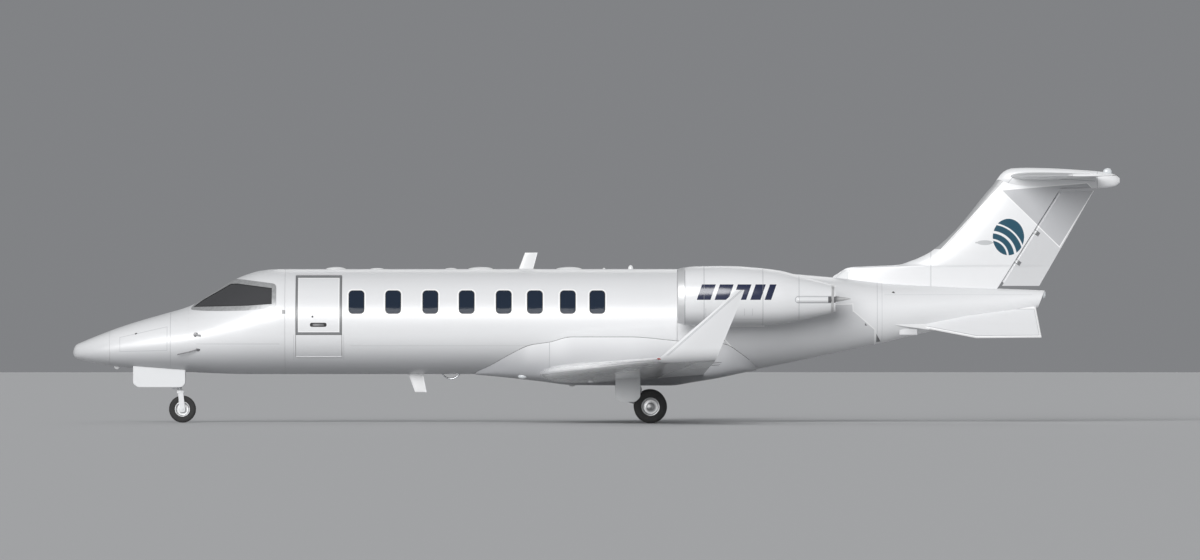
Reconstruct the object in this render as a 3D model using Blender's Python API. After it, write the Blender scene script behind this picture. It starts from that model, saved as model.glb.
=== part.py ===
"""Twin-engine business jet, standing on its landing gear.

The nose points to -X, starboard is +Y and up is +Z, in metres. The origin is
on the ground, under the middle of the aeroplane. Every place along the
aeroplane is worked out as a station, its distance aft of the nose tip.
"""
import math

import bmesh
import bpy
import numpy as np
from mathutils import Matrix, Vector

# Overall size
LENGTH = 17.68
SEAT = 0.0003
CLEARANCE = 0.006
HULL_SIDES = 28
BEYOND_SIDE = 1.2

# Fuselage: joints between its panels, and its wall
RADOME_END = 0.625
NOSE_END = 1.96
COCKPIT_END = 3.588
CABIN_END = 10.20
WALL = 0.09
TAIL_WALL = 0.05
TAIL_END = 16.35
TAIL_END_RAKE = 0.39

# Fuselage lines, each as station and size
CROWN_LINE = (
    (0.0, 1.190), (0.02, 1.262), (0.051, 1.311), (0.152, 1.361), (0.355, 1.446),
    (0.66, 1.564), (1.06, 1.699), (1.47, 1.818), (1.976, 1.970), (2.28, 2.139),
    (2.686, 2.392), (2.89, 2.485), (3.19, 2.570), (3.50, 2.595), (10.20, 2.595),
    (11.5, 2.56), (12.3, 2.50), (13.11, 2.426), (13.82, 2.350), (14.49, 2.316), (16.41, 2.230),
)
KEEL_LINE = (
    (0.0, 1.190), (0.02, 1.118), (0.051, 1.091), (0.152, 1.057), (0.456, 0.990),
    (0.963, 0.922), (1.47, 0.889), (1.976, 0.855), (2.28, 0.838), (3.0, 0.820), (10.20, 0.820),
    (11.3, 0.868), (11.9, 0.973), (12.62, 1.125), (13.43, 1.294), (14.14, 1.463),
    (14.44, 1.530), (15.4, 1.745), (16.41, 1.950),
)
WIDTH_LINE = (
    (0.0, 0.0), (0.02, 0.070), (0.051, 0.115), (0.152, 0.190), (0.456, 0.325),
    (0.963, 0.455), (1.47, 0.560), (1.976, 0.650), (2.5, 0.740), (3.0, 0.820), (3.5, 0.875),
    (10.20, 0.875), (11.3, 0.845), (12.3, 0.740), (13.1, 0.610), (13.8, 0.490),
    (14.5, 0.385), (15.4, 0.245), (16.41, 0.100),
)
BELT_LINE = (
    (0.0, 1.190), (0.456, 1.205), (0.963, 1.260), (1.976, 1.385), (2.7, 1.530),
    (3.5, 1.7075), (10.20, 1.7075), (11.3, 1.730), (12.3, 1.800), (13.1, 1.845),
    (13.8, 1.880), (14.5, 1.925), (16.41, 2.085),
)
CROWN_SHARPNESS_LINE = (
    (0.0, 2.0), (1.3, 2.0), (1.976, 1.55), (2.3, 1.35), (2.7, 1.45), (3.2, 1.9), (3.5, 2.0),
    (16.41, 2.0),
)

# Cockpit glass, as station and height
GLASS_THICKNESS = 0.022
GLASS_INSET = 0.004
CENTRE_POST_HALF = 0.045
WINDSHIELD = (
    (2.04, 1.955), (2.20, 2.075), (2.67, 2.345), (2.78, 2.350), (3.37, 2.272),
    (3.37, 2.005), (2.95, 1.975), (2.55, 1.965),
)

# Cabin windows
WINDOW_STATIONS = (4.798, 5.416, 6.043, 6.655, 7.280, 7.805, 8.360, 8.857)
WINDOW_HEIGHT_ABOVE_GROUND = 2.037
WINDOW_WIDTH = 0.268
WINDOW_HEIGHT = 0.395
WINDOW_CORNER = 0.07
PANE_INSET = 0.003
LINER_THICKNESS = 0.010
LINER_HALF_HEIGHT = 0.27
LINER_INNER = 0.3
WINDOW_ROW = (WINDOW_STATIONS[0] - 0.20, WINDOW_STATIONS[-1] + 0.20)

# Entry door, in two halves
DOOR_FRONT = 3.770
DOOR_REAR = 4.554
DOOR_TOP = 2.488
DOOR_SPLIT = 1.486
DOOR_BOTTOM = 1.108
DOOR_HINGE_RADIUS = 0.012
DOOR_STATION = 4.0
DOOR_WALL_SPAN = (3.6, 4.7)
DOOR_INNER = 0.15
STEP_HEIGHTS = (1.23, 1.35)
STEP_DEPTH = 0.12
STEP_THICKNESS = 0.025
STEP_OVERLAP = 0.03

# Cabin
FLOOR_TOP = 1.06
FLOOR_THICKNESS = 0.04
FLOOR_FRONT = 2.25
FLOOR_REAR = 10.05
CAVITY_HALF = 0.9
CABIN_SEAT_STATIONS = (5.35, 6.45, 7.35, 8.45)
CABIN_SEAT_FACING = (1, -1, 1, -1)
SEAT_WIDTH = 0.44
SEAT_CENTRE = 0.43
SEAT_BASE = 1.36
SEAT_BACK_SETBACK = 0.20
SEAT_FRAME_SETBACK = 0.22
SEAT_FRAME_HALF = (0.14, 0.085)
SEAT_RAIL_CENTRE = 0.33
SEAT_RAIL_HALF = 0.05
SEAT_RAIL_OVERRUN = 0.25
SEAT_REACH = 0.50
PILOT_SEAT_BOX = (3.12, 3.40, 0.10)
PILOT_SEAT_BACK = 3.48
PILOT_SEAT_BASE = 1.42
PILOT_SEAT_REACH = 0.46
PILOT_SEAT_CENTRE = 0.27
PILOT_SEAT_HALF = 0.20
PANEL_FRONT = 2.36
PEDESTAL_HALF = 0.10

# Belly fairing at the wing, as station and height
FAIRING_TOP_LINE = (
    (6.80, 0.850), (7.04, 0.960), (7.40, 1.160), (7.736, 1.311), (8.057, 1.360),
    (8.412, 1.446), (9.41, 1.446), (10.236, 1.378), (10.99, 1.330), (11.30, 1.15), (11.55, 0.95),
)
FAIRING_BOTTOM_LINE = (
    (6.80, 0.812), (7.247, 0.770), (7.855, 0.703), (8.463, 0.635), (10.08, 0.627),
    (10.49, 0.686), (10.895, 0.753), (11.30, 0.838), (11.55, 0.885),
)
FAIRING_STATIONS = (6.80, 7.04, 7.40, 7.736, 8.057, 8.412, 8.9, 9.41, 10.08, 10.49, 10.99, 11.30, 11.55)
FAIRING_QUARTER_POINTS = 11
FAIRING_SQUARENESS = 5.0
FAIRING_EDGE = 0.008
FAIRING_BULGE = 0.12

# Wing
WING_INNER = 0.45
WING_ROOT = 0.85
WING_TIP = 7.20
WING_LEADING_EDGE = (7.89, 9.85)
WING_TRAILING_EDGE = (10.64, 10.81)
WING_HEIGHT = (0.815, 1.081)
WING_THICKNESS_RATIO = (0.125, 0.105)
WING_CAMBER = 0.015
EDGE_THICKNESS = 0.006
HINGE_PIN_RADIUS = 0.008
NOSE_SHARE = 0.96
SURFACE_REACH = 1.2
WING_CUT_SPAN = (0.3, 1.6)
FLAP_SPAN = (0.97, 4.30)
FLAP_HINGE = 0.745
AILERON_SPAN = (4.42, 6.75)
AILERON_HINGE = 0.76
SPOILER_SPAN = (2.20, 4.05)
SPOILER_CHORD = (0.575, 0.700)
SPOILER_THICKNESS = 0.016
SPOILER_PIN_RADIUS = 0.0065
SPOILER_PIN_INSET = 0.008

# Jack pad under each wing: station, half span, radius and the height of its face
JACK_PAD = (8.75, 1.42, 0.05, 0.685)

# Winglet: half span, height, leading edge and trailing edge at each rib
WINGLET_BEND = 0.30
WINGLET_CANT = 74.0
WINGLET_TOP = 2.245
WINGLET_LEADING_EDGE = ((1.081, 9.85), (1.30, 10.087), (2.144, 11.047), (2.245, 11.14))
WINGLET_TRAILING_EDGE = ((1.081, 10.81), (1.30, 10.905), (2.144, 11.25), (2.245, 11.285))

# Fin and rudder, as height and station
FIN_TOP = 4.00
FIN_LEADING_EDGE = (
    (2.12, 12.57), (2.60, 13.045), (2.625, 13.16), (2.667, 13.95), (2.72, 14.12), (2.785, 14.29),
    (2.902, 14.51), (4.00, 15.53),
)
FIN_TRAILING_EDGE = ((2.12, 16.211), (4.00, 17.293))
FIN_NOSE = ((2.12, 0.055), (2.625, 0.045), (2.667, 0.010), (4.00, 0.006))
FIN_THICKNESS = ((2.12, 0.22), (2.60, 0.20), (2.902, 0.20), (4.00, 0.15))
RUDDER_HINGE = ((15.676, 2.284), (16.715, 3.929))
RUDDER_BOTTOM = 2.31
RUDDER_TOP = 3.915
RUDDER_ARMS = (2.713, 3.211)
RUDDER_REACH = 1.2
RUDDER_BAY_OVERRUN = 0.30
RUDDER_ARM_HALF = 0.03
RUDDER_PIN_RADIUS = 0.012
RUDDER_PIN_HOLE_RADIUS = 0.0128
FIN_CUT_HALF = 0.4

# Tailplane, with its bullet as station, top, bottom and half width
TAIL_SPAN_HALF = 2.55
TAIL_HEIGHT = 4.165
TAIL_LEADING_EDGE = (15.80, 16.75)
TAIL_TRAILING_EDGE = (17.26, 17.50)
TAIL_THICKNESS_RATIO = 0.09
ELEVATOR_SPAN = (0.24, 2.44)
ELEVATOR_HINGE = 0.68
ELEVATOR_REACH = 0.9
TAIL_TIP_BAND = 0.08
TAIL_CUT_SPAN = (3.9, 4.4)
BULLET_SIDES = 16
BULLET = (
    (15.60, 4.100, 4.055, 0.015), (15.70, 4.225, 3.985, 0.055), (15.85, 4.295, 3.955, 0.085),
    (16.10, 4.304, 3.950, 0.100), (16.50, 4.295, 3.950, 0.105), (17.00, 4.268, 3.955, 0.100),
    (17.40, 4.235, 3.965, 0.085), (17.60, 4.190, 3.992, 0.060), (LENGTH, 4.130, 4.050, 0.020),
)

# Ventral fins: the plate's corners as station, half span and height
VENTRAL_CORNERS = (
    (13.88, 0.20, 1.70), (15.25, 0.58, 1.440), (16.346, 0.56, 1.449), (16.26, 0.06, 1.95),
    (15.0, 0.06, 1.95),
)
VENTRAL_THICKNESS = 0.040

# Engines
ENGINE_OFFSET = 1.45
ENGINE_HEIGHT = 2.138
ENGINE_AXIS_DROP = ((10.0, 2.138), (11.2, 2.138), (12.86, 2.092))
NACELLE_SIDES = 24
NACELLE_OUTSIDE = (
    (10.20, 0.430), (10.222, 0.458), (10.30, 0.480), (10.55, 0.503), (11.00, 0.507),
    (11.50, 0.490), (11.90, 0.452), (12.30, 0.362), (12.86, 0.224),
)
NACELLE_INSIDE = (
    (12.86, 0.205), (12.20, 0.315), (11.70, 0.400), (10.95, 0.400), (10.94, 0.412),
    (10.70, 0.412), (10.45, 0.388), (10.28, 0.388), (10.218, 0.405),
)
CORE_PROFILE = ((10.952, 0.400), (11.70, 0.400), (12.00, 0.25), (12.40, 0.10))
FAN_STATION = 10.80
FAN_RADIUS = 0.398
FAN_HUB_RADIUS = 0.130
FAN_HUB_PROFILE = (
    (10.60, 0.010), (10.63, 0.050), (10.69, 0.095), (10.76, FAN_HUB_RADIUS),
    (10.86, FAN_HUB_RADIUS), (CORE_PROFILE[0][0] - SEAT, 0.06),
)
FAN_BLADES = 16
FAN_CHORD = 0.105
FAN_BLADE_THICKNESS = 0.008
PYLON_FRONT = 10.85
PYLON_REAR = 12.70
PYLON_HEIGHT = 2.10
PYLON_THICKNESS = 0.16
PYLON_SPAN = (0.50, 1.32)

# Nose gear
NOSE_LEG_STATION = 1.80
NOSE_WHEEL_STATION = 1.85
NOSE_TYRE_RADIUS = 0.2285
NOSE_TYRE_WIDTH = 0.112
NOSE_RIM_RADIUS = 0.125
NOSE_WELL = ((1.00, 1.92), 0.19, 1.26)
NOSE_STRUT_RADIUS = 0.052
NOSE_STEER_HEIGHT = 0.640
NOSE_FORK_CROWN = 0.500
NOSE_DOOR_OFFSET = 0.20
NOSE_DOOR_THICKNESS = 0.018
NOSE_DOOR_OUTLINE = ((1.02, 0.66), (1.10, 0.60), (1.84, 0.60), (1.90, 0.66), (1.90, 1.10), (1.02, 1.10))
NOSE_WELL_BOTTOM = 0.5
NOSE_BRACE = ((1.25, 1.235), 0.78, 0.022)
NOSE_TRUNNION_HEIGHT = 1.12
NOSE_TRUNNION_RADIUS = 0.03
NOSE_FORK_RADIUS = 0.040
NOSE_FORK_GAP = NOSE_TYRE_WIDTH / 2 + 0.018
NOSE_FORK_LOW = NOSE_FORK_CROWN - 0.005
NOSE_ARM_OUTLINE = (
    (1.775, NOSE_FORK_LOW + 0.02), (1.80, 0.20), (1.82, 0.175), (1.88, 0.175), (1.90, 0.20),
    (1.865, NOSE_FORK_LOW + 0.02),
)
NOSE_ARM_THICKNESS = 0.020
TORQUE_LINK_OUTLINE = ((1.80, 0.60), (1.68, 0.575), (1.68, 0.555), (1.80, 0.53))

# Main gear
MAIN_LEG_STATION = 9.42
MAIN_WHEEL_STATION = 9.75
MAIN_TRACK_HALF = 1.42
MAIN_WHEEL_SPACING = 0.145
MAIN_TYRE_RADIUS = 0.2795
MAIN_TYRE_WIDTH = 0.146
MAIN_RIM_RADIUS = 0.150
MAIN_AXLE_RADIUS = 0.040
MAIN_ARM_HALF_WIDTH = 0.040
MAIN_ARM_OUTLINE = (
    (MAIN_LEG_STATION - 0.02, 0.35), (MAIN_WHEEL_STATION, 0.215), (MAIN_WHEEL_STATION + 0.060, 0.245),
    (MAIN_WHEEL_STATION + 0.062, 0.315), (MAIN_WHEEL_STATION, 0.350), (MAIN_LEG_STATION + 0.02, 0.44),
)
MAIN_DOOR_OUTLINE = ((9.16, 0.80), (9.16, 0.44), (9.24, 0.36), (9.50, 0.36), (9.58, 0.44), (9.58, 0.80))
MAIN_DOOR_SPAN = (0.238, 0.256)
MAIN_HUB_RADIUS = 0.058
MAIN_HUB_GAP = 0.010
TYRE_SIDES = 20

# Blade antennas: base front, base rear, tip front, tip rear, base height and tip height
TOP_BLADE = (7.525, 7.768, 7.635, 7.848, 2.58, 2.872)
BOTTOM_BLADE = (5.660, 5.909, 5.777, 5.973, 0.835, 0.516)
BLADE_THICKNESS = 0.030
BLADE_POINTS = 6

# Colours and finishes: base colour, roughness and metallic
FINISHES = {
    "white_paint": ((0.84, 0.85, 0.86), 0.25, 0.0),
    "dark_glass": ((0.03, 0.04, 0.06), 0.05, 0.0),
    "tyre_rubber": ((0.03, 0.03, 0.03), 0.80, 0.0),
    "wheel_metal": ((0.66, 0.67, 0.68), 0.35, 1.0),
    "gear_paint": ((0.78, 0.79, 0.80), 0.35, 0.0),
    "engine_metal": ((0.36, 0.35, 0.34), 0.40, 1.0),
    "fan_metal": ((0.40, 0.41, 0.43), 0.30, 1.0),
    "seat_leather": ((0.62, 0.55, 0.45), 0.55, 0.0),
    "cabin_floor": ((0.30, 0.27, 0.24), 0.90, 0.0),
    "panel_plastic": ((0.06, 0.06, 0.065), 0.55, 0.0),
}

# A fresh scene, and the two collections
for old_object in list(bpy.data.objects):
    bpy.data.objects.remove(old_object, do_unlink=True)
PARTS = bpy.data.collections.new("business_jet")
CUTTERS = bpy.data.collections.new("cutters")
bpy.context.scene.collection.children.link(PARTS)
bpy.context.scene.collection.children.link(CUTTERS)


def along(station):
    """The X of a station, which is its distance aft of the nose tip."""
    return station - LENGTH / 2


def line(points):
    """A smooth function through points given as place and value, with no overshoot.

    It is a cubic through each pair of points, whose slopes are the harmonic
    means of their neighbours and zero where the line turns.
    """
    places = np.array([point[0] for point in points])
    values = np.array([point[1] for point in points])
    steps = np.diff(places)
    rises = np.diff(values) / steps
    slopes = np.zeros(len(places))
    slopes[0], slopes[-1] = rises[0], rises[-1]
    for i in range(1, len(places) - 1):
        if rises[i - 1] * rises[i] > 0:
            before = 2 * steps[i] + steps[i - 1]
            after = steps[i] + 2 * steps[i - 1]
            slopes[i] = (before + after) / (before / rises[i - 1] + after / rises[i])

    def value(place):
        place = min(max(place, places[0]), places[-1])
        i = min(int(np.searchsorted(places, place, side="right")) - 1, len(steps) - 1)
        t = (place - places[i]) / steps[i]
        return float(
            (1 + 2 * t) * (1 - t) ** 2 * values[i]
            + t * (1 - t) ** 2 * steps[i] * slopes[i]
            + t * t * (3 - 2 * t) * values[i + 1]
            - t * t * (1 - t) * steps[i] * slopes[i + 1]
        )

    return value


def straight(points):
    """A function through points given as place and value, with straight runs."""
    places = [point[0] for point in points]
    values = [point[1] for point in points]
    return lambda place: float(np.interp(place, places, values))


def finish(name):
    """The Principled material of one finish, made once."""
    material = bpy.data.materials.get(name)
    if material is None:
        colour, roughness, metallic = FINISHES[name]
        material = bpy.data.materials.new(name)
        material.use_nodes = True
        shader = material.node_tree.nodes["Principled BSDF"]
        shader.inputs["Base Color"].default_value = (*colour, 1.0)
        shader.inputs["Roughness"].default_value = roughness
        shader.inputs["Metallic"].default_value = metallic
        material.diffuse_color = (*colour, 1.0)
    return material


def add(name, bm, material=None):
    """An object from a bmesh: a part if it has a finish, or else a cutter."""
    bmesh.ops.recalc_face_normals(bm, faces=bm.faces)
    mesh = bpy.data.meshes.new(name)
    bm.to_mesh(mesh)
    bm.free()
    mesh.shade_smooth()
    mesh.set_sharp_from_angle(angle=math.radians(32))
    thing = bpy.data.objects.new(name, mesh)
    if material:
        mesh.materials.append(finish(material))
        PARTS.objects.link(thing)
    else:
        CUTTERS.objects.link(thing)
        thing.hide_render = True
        thing.display_type = "WIRE"
    return thing


def combine(thing, other, operation):
    """Cut, join or intersect one object with another by a Boolean modifier."""
    boolean = thing.modifiers.new(f"{operation.lower()} {other.name}", "BOOLEAN")
    boolean.operation = operation
    boolean.object = other
    boolean.solver = "EXACT"


def cut(thing, *others):
    """Take the other solids out of a thing."""
    for other in others:
        combine(thing, other, "DIFFERENCE")


def join(thing, *others):
    """Fuse the other solids to a thing."""
    for other in others:
        combine(thing, other, "UNION")


def skin_rings(bm, rings, ring_closed=False):
    """Faces between rings of equally many points, with a cap on each open end.

    Each face between two rings is split on the same diagonal whichever way the
    rings run, so that two solids made from the same rings touch all over.
    """
    verts = [[bm.verts.new(point) for point in ring] for ring in rings]
    count = len(verts[0])
    pairs = list(zip(verts, verts[1:]))
    if ring_closed:
        pairs.append((verts[-1], verts[0]))
    for first, second in pairs:
        if tuple(first[0].co) > tuple(second[0].co):
            first, second = second, first
        for i in range(count):
            j = (i + 1) % count
            bm.faces.new((first[i], first[j], second[j]))
            bm.faces.new((first[i], second[j], second[i]))
    if not ring_closed:
        bm.faces.new(verts[0])
        bm.faces.new(verts[-1])


def loft(name, rings, material=None, ring_closed=False):
    """A closed solid lofted through rings."""
    bm = bmesh.new()
    skin_rings(bm, rings, ring_closed)
    return add(name, bm, material)


def add_prism(bm, outline, low, high, place):
    """Extrude a flat outline from low to high, where place gives each point."""
    bottom = [bm.verts.new(place(a, b, low)) for a, b in outline]
    face = bm.faces.new(bottom)
    top = bmesh.ops.extrude_face_region(bm, geom=[face])
    moved = [item for item in top["geom"] if isinstance(item, bmesh.types.BMVert)]
    shift = Vector(place(0, 0, high)) - Vector(place(0, 0, low))
    bmesh.ops.translate(bm, verts=moved, vec=shift)


def side_view(station, height, across):
    """The place of a point of the side view."""
    return (along(station), across, height)


def plan_view(station, across, height):
    """The place of a point of the plan view."""
    return (along(station), across, height)


def prism(name, outline, low, high, place=side_view, material=None):
    """A flat outline with a thickness."""
    bm = bmesh.new()
    add_prism(bm, outline, low, high, place)
    return add(name, bm, material)


def add_box(bm, low, high):
    """A box between two corners given as station, across and height."""
    size = Vector(high) - Vector(low)
    middle = (Vector(high) + Vector(low)) / 2
    middle.x = along(middle.x)
    bmesh.ops.create_cube(bm, size=1.0, matrix=Matrix.Translation(middle) @ Matrix.Diagonal((*size, 1)))


def box(name, low, high, material=None):
    """A box as an object."""
    bm = bmesh.new()
    add_box(bm, low, high)
    return add(name, bm, material)


def add_rod(bm, start, end, radius_start, radius_end=None, sides=16):
    """A round rod between two places, which may taper."""
    start, end = Vector(start), Vector(end)
    direction = end - start
    turn = direction.to_track_quat("Z", "Y").to_matrix().to_4x4()
    bmesh.ops.create_cone(
        bm,
        cap_ends=True,
        segments=sides,
        radius1=radius_start,
        radius2=radius_end or radius_start,
        depth=direction.length,
        matrix=Matrix.Translation((start + end) / 2) @ turn,
    )


def rod(name, start, end, radius_start, radius_end=None, sides=16, material=None):
    """A round rod as an object."""
    bm = bmesh.new()
    add_rod(bm, start, end, radius_start, radius_end, sides)
    return add(name, bm, material)


def inset_outline(outline, distance):
    """A closed outline with each edge moved inwards by a distance."""
    points = [Vector(point) for point in outline]
    area = sum(a.x * b.y - b.x * a.y for a, b in zip(points, points[1:] + points[:1]))
    side = 1 if area > 0 else -1
    result = []
    for before, here, after in zip(points[-1:] + points[:-1], points, points[1:] + points[:1]):
        first = (here - before).normalized()
        second = (after - here).normalized()
        normal_one = Vector((-first.y, first.x)) * side
        normal_two = Vector((-second.y, second.x)) * side
        bisector = normal_one + normal_two
        result.append(tuple(here + bisector * (2 * distance / bisector.length_squared)))
    return result


def rounded_rectangle(centre, size, radius, corner_points=2):
    """The outline of a rectangle with round corners."""
    outline = []
    for corner, (side_a, side_b) in enumerate(((1, 1), (-1, 1), (-1, -1), (1, -1))):
        for i in range(corner_points + 1):
            angle = math.pi / 2 * (corner + i / corner_points)
            outline.append((
                centre[0] + side_a * (size[0] / 2 - radius) + radius * math.cos(angle),
                centre[1] + side_b * (size[1] / 2 - radius) + radius * math.sin(angle),
            ))
    return outline


# Fuselage
crown = line(CROWN_LINE)
keel = line(KEEL_LINE)
half_width = line(WIDTH_LINE)
belt = line(BELT_LINE)
crown_sharpness = line(CROWN_SHARPNESS_LINE)


def hull_ring(station, inset=0.0, rake=0.0):
    """One ring of the fuselage: an ellipse below the belt, and a sharper curve above it."""
    width = max(half_width(station) - inset, 0.001)
    middle = belt(station)
    above = max(crown(station) - inset - middle, 0.001)
    below = max(middle - keel(station) - inset, 0.001)
    power = 2 / crown_sharpness(station)
    ring = []
    for i in range(HULL_SIDES):
        angle = 2 * math.pi * i / HULL_SIDES
        across, up = math.cos(angle), math.sin(angle)
        if up > 1e-9:
            across = math.copysign(abs(across) ** power, across)
        height = up * (above if up > 0 else below)
        ring.append((along(station + rake * height), width * across, middle + height))
    return ring


def hull_half_width(station, height):
    """Half the width of the fuselage at a height below its crown."""
    middle = belt(station)
    reach = (crown(station) - middle) if height > middle else (middle - keel(station))
    return half_width(station) * math.sqrt(max(1 - ((height - middle) / reach) ** 2, 0.0))


def hull_rings(stations, inset=0.0):
    """The rings of the fuselage at some stations."""
    return [hull_ring(station, inset) for station in stations]


RADOME_STATIONS = (0.0, 0.02, 0.051, 0.11, 0.22, 0.40, RADOME_END)
NOSE_STATIONS = (RADOME_END + SEAT, 0.963, 1.30, 1.65, NOSE_END)
COCKPIT_STATIONS = (NOSE_END + SEAT, 2.12, 2.28, 2.48, 2.686, 2.89, 3.19, COCKPIT_END)
TAIL_STATIONS = (CABIN_END + SEAT, 10.75, 11.3, 11.9, 12.6, 13.4, 14.2, 15.2)

radome = loft("radome", hull_rings(RADOME_STATIONS), "white_paint")
nose_section = loft("nose_section", hull_rings(NOSE_STATIONS), "white_paint")
cockpit_shell = loft(
    "cockpit_shell",
    hull_rings(COCKPIT_STATIONS) + hull_rings(reversed(COCKPIT_STATIONS), WALL),
    "white_paint",
    ring_closed=True,
)
cabin_shell = loft(
    "cabin_shell",
    hull_rings((CABIN_END, COCKPIT_END + SEAT))
    + hull_rings((COCKPIT_END + SEAT, CABIN_END - WALL), WALL),
    "white_paint",
)
aft_fuselage = loft(
    "aft_fuselage",
    [hull_ring(TAIL_END, 0.0, TAIL_END_RAKE)]
    + hull_rings(reversed(TAIL_STATIONS))
    + hull_rings(TAIL_STATIONS[:-1], TAIL_WALL),
    "white_paint",
)
hull_cutter = loft(
    "hull_cutter",
    hull_rings((0.5, 0.963, 1.30, 1.65), -SEAT)
    + hull_rings((NOSE_END,) + COCKPIT_STATIONS[1:], -SEAT)
    + hull_rings((CABIN_END,) + TAIL_STATIONS[1:], -SEAT)
    + [hull_ring(TAIL_END, -SEAT, TAIL_END_RAKE)],
)
cavity = loft(
    "cavity",
    hull_rings(COCKPIT_STATIONS, WALL + SEAT) + hull_rings((CABIN_END - WALL - 0.002,), WALL + SEAT),
)

# Cockpit glass: a layer of the hull inside each opening
glass_layer = loft(
    "glass_layer",
    hull_rings(COCKPIT_STATIONS, GLASS_INSET)
    + hull_rings(reversed(COCKPIT_STATIONS), GLASS_INSET + GLASS_THICKNESS),
    ring_closed=True,
)
for side, label in ((-1, "left"), (1, "right")):
    opening = prism(
        f"windshield_opening_{label}", WINDSHIELD, side * CENTRE_POST_HALF, side * BEYOND_SIDE,
    )
    cut(cockpit_shell, opening)
    pane_outline = inset_outline(WINDSHIELD, SEAT)
    pane = prism(
        f"windshield_{label}", pane_outline, side * (CENTRE_POST_HALF + SEAT), side * BEYOND_SIDE,
        material="dark_glass",
    )
    combine(pane, glass_layer, "INTERSECT")


# Cabin windows: an opening for each, and one liner that carries all the panes of a side
def window_prisms(name, shrink, low, high):
    """The prisms of one side's windows, as one object."""
    bm = bmesh.new()
    for station in WINDOW_STATIONS:
        outline = rounded_rectangle(
            (station, WINDOW_HEIGHT_ABOVE_GROUND),
            (WINDOW_WIDTH - 2 * shrink, WINDOW_HEIGHT - 2 * shrink),
            WINDOW_CORNER - shrink,
        )
        add_prism(bm, outline, low, high, side_view)
    return add(name, bm)


def cabin_layer(name, front, rear, outer, inner):
    """A tube between two depths below the cabin's outer skin."""
    return loft(
        name,
        hull_rings((front, rear), outer) + hull_rings((rear, front), inner),
        ring_closed=True,
    )


pane_layer = cabin_layer("pane_layer", *WINDOW_ROW, PANE_INSET, WALL + SEAT + LINER_THICKNESS / 2)
for side, label in ((-1, "left"), (1, "right")):
    cut(cabin_shell, window_prisms(f"window_openings_{label}", 0.0, side * LINER_INNER, side * BEYOND_SIDE))
    liner = prism(
        f"cabin_windows_{label}",
        rounded_rectangle(
            (sum(WINDOW_ROW) / 2, WINDOW_HEIGHT_ABOVE_GROUND),
            (WINDOW_ROW[1] - WINDOW_ROW[0] - 0.02, 2 * LINER_HALF_HEIGHT),
            0.05,
        ),
        side * LINER_INNER,
        side * BEYOND_SIDE,
        material="dark_glass",
    )
    liner_layer = cabin_layer(
        f"liner_layer_{label}", *WINDOW_ROW, WALL + SEAT, WALL + SEAT + LINER_THICKNESS
    )
    panes = window_prisms(f"panes_{label}", SEAT, side * LINER_INNER, side * BEYOND_SIDE)
    combine(panes, pane_layer, "INTERSECT")
    combine(liner, liner_layer, "INTERSECT")
    join(liner, panes)

# Entry door: the opening, then an upper and a lower half cut from the same wall
DOOR_OUTLINE = (
    (DOOR_FRONT, DOOR_BOTTOM), (DOOR_REAR, DOOR_BOTTOM), (DOOR_REAR, DOOR_TOP), (DOOR_FRONT, DOOR_TOP),
)
door_hinges = {
    "upper": (DOOR_TOP - CLEARANCE, -hull_half_width(DOOR_STATION, DOOR_TOP - CLEARANCE)),
    "lower": (DOOR_BOTTOM + CLEARANCE, -hull_half_width(DOOR_STATION, DOOR_BOTTOM + CLEARANCE)),
}
cut(cabin_shell, prism("door_opening", DOOR_OUTLINE, -BEYOND_SIDE, -DOOR_INNER))
for half, (hinge_height, hinge_across) in door_hinges.items():
    cut(cabin_shell, rod(
        f"{half}_hinge_groove",
        (along(DOOR_FRONT), hinge_across, hinge_height),
        (along(DOOR_REAR), hinge_across, hinge_height),
        DOOR_HINGE_RADIUS + CLEARANCE,
    ))
    low = DOOR_SPLIT + CLEARANCE / 2 if half == "upper" else hinge_height
    high = hinge_height if half == "upper" else DOOR_SPLIT - CLEARANCE / 2
    door = prism(
        f"{half}_door",
        (
            (DOOR_FRONT + CLEARANCE, low), (DOOR_REAR - CLEARANCE, low),
            (DOOR_REAR - CLEARANCE, high), (DOOR_FRONT + CLEARANCE, high),
        ),
        -BEYOND_SIDE,
        -DOOR_INNER,
        material="white_paint",
    )
    combine(door, cabin_layer(f"{half}_door_wall", *DOOR_WALL_SPAN, 0.0, WALL), "INTERSECT")
    join(door, rod(
        f"{half}_hinge_barrel",
        (along(DOOR_FRONT + SEAT), hinge_across, hinge_height),
        (along(DOOR_REAR - SEAT), hinge_across, hinge_height),
        DOOR_HINGE_RADIUS,
    ))
    if half == "lower":
        steps = bmesh.new()
        for height in STEP_HEIGHTS:
            inner = hull_half_width(DOOR_STATION, height) - WALL
            add_box(
                steps,
                (DOOR_FRONT + 0.05, -inner - STEP_OVERLAP, height),
                (DOOR_REAR - 0.05, -inner + STEP_DEPTH, height + STEP_THICKNESS),
            )
        join(door, add("door_steps", steps))

# Cabin floor, instrument panel and seats
cabin_floor = box(
    "cabin_floor",
    (FLOOR_FRONT, -CAVITY_HALF, FLOOR_TOP - FLOOR_THICKNESS),
    (FLOOR_REAR, CAVITY_HALF, FLOOR_TOP),
    "cabin_floor",
)
combine(cabin_floor, cavity, "INTERSECT")
PANEL_OUTLINE = (
    (PANEL_FRONT, 1.35), (PANEL_FRONT + 0.10, 1.35), (PANEL_FRONT + 0.16, 1.88),
    (PANEL_FRONT + 0.26, 1.90), (PANEL_FRONT + 0.26, 1.93), (PANEL_FRONT - 0.12, 1.93),
    (PANEL_FRONT - 0.04, 1.80),
)
PEDESTAL_OUTLINE = (
    (PANEL_FRONT, FLOOR_TOP + SEAT), (PANEL_FRONT + 0.62, FLOOR_TOP + SEAT),
    (PANEL_FRONT + 0.62, 1.45), (PANEL_FRONT + 0.12, 1.62), (PANEL_FRONT, 1.62),
)
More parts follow.
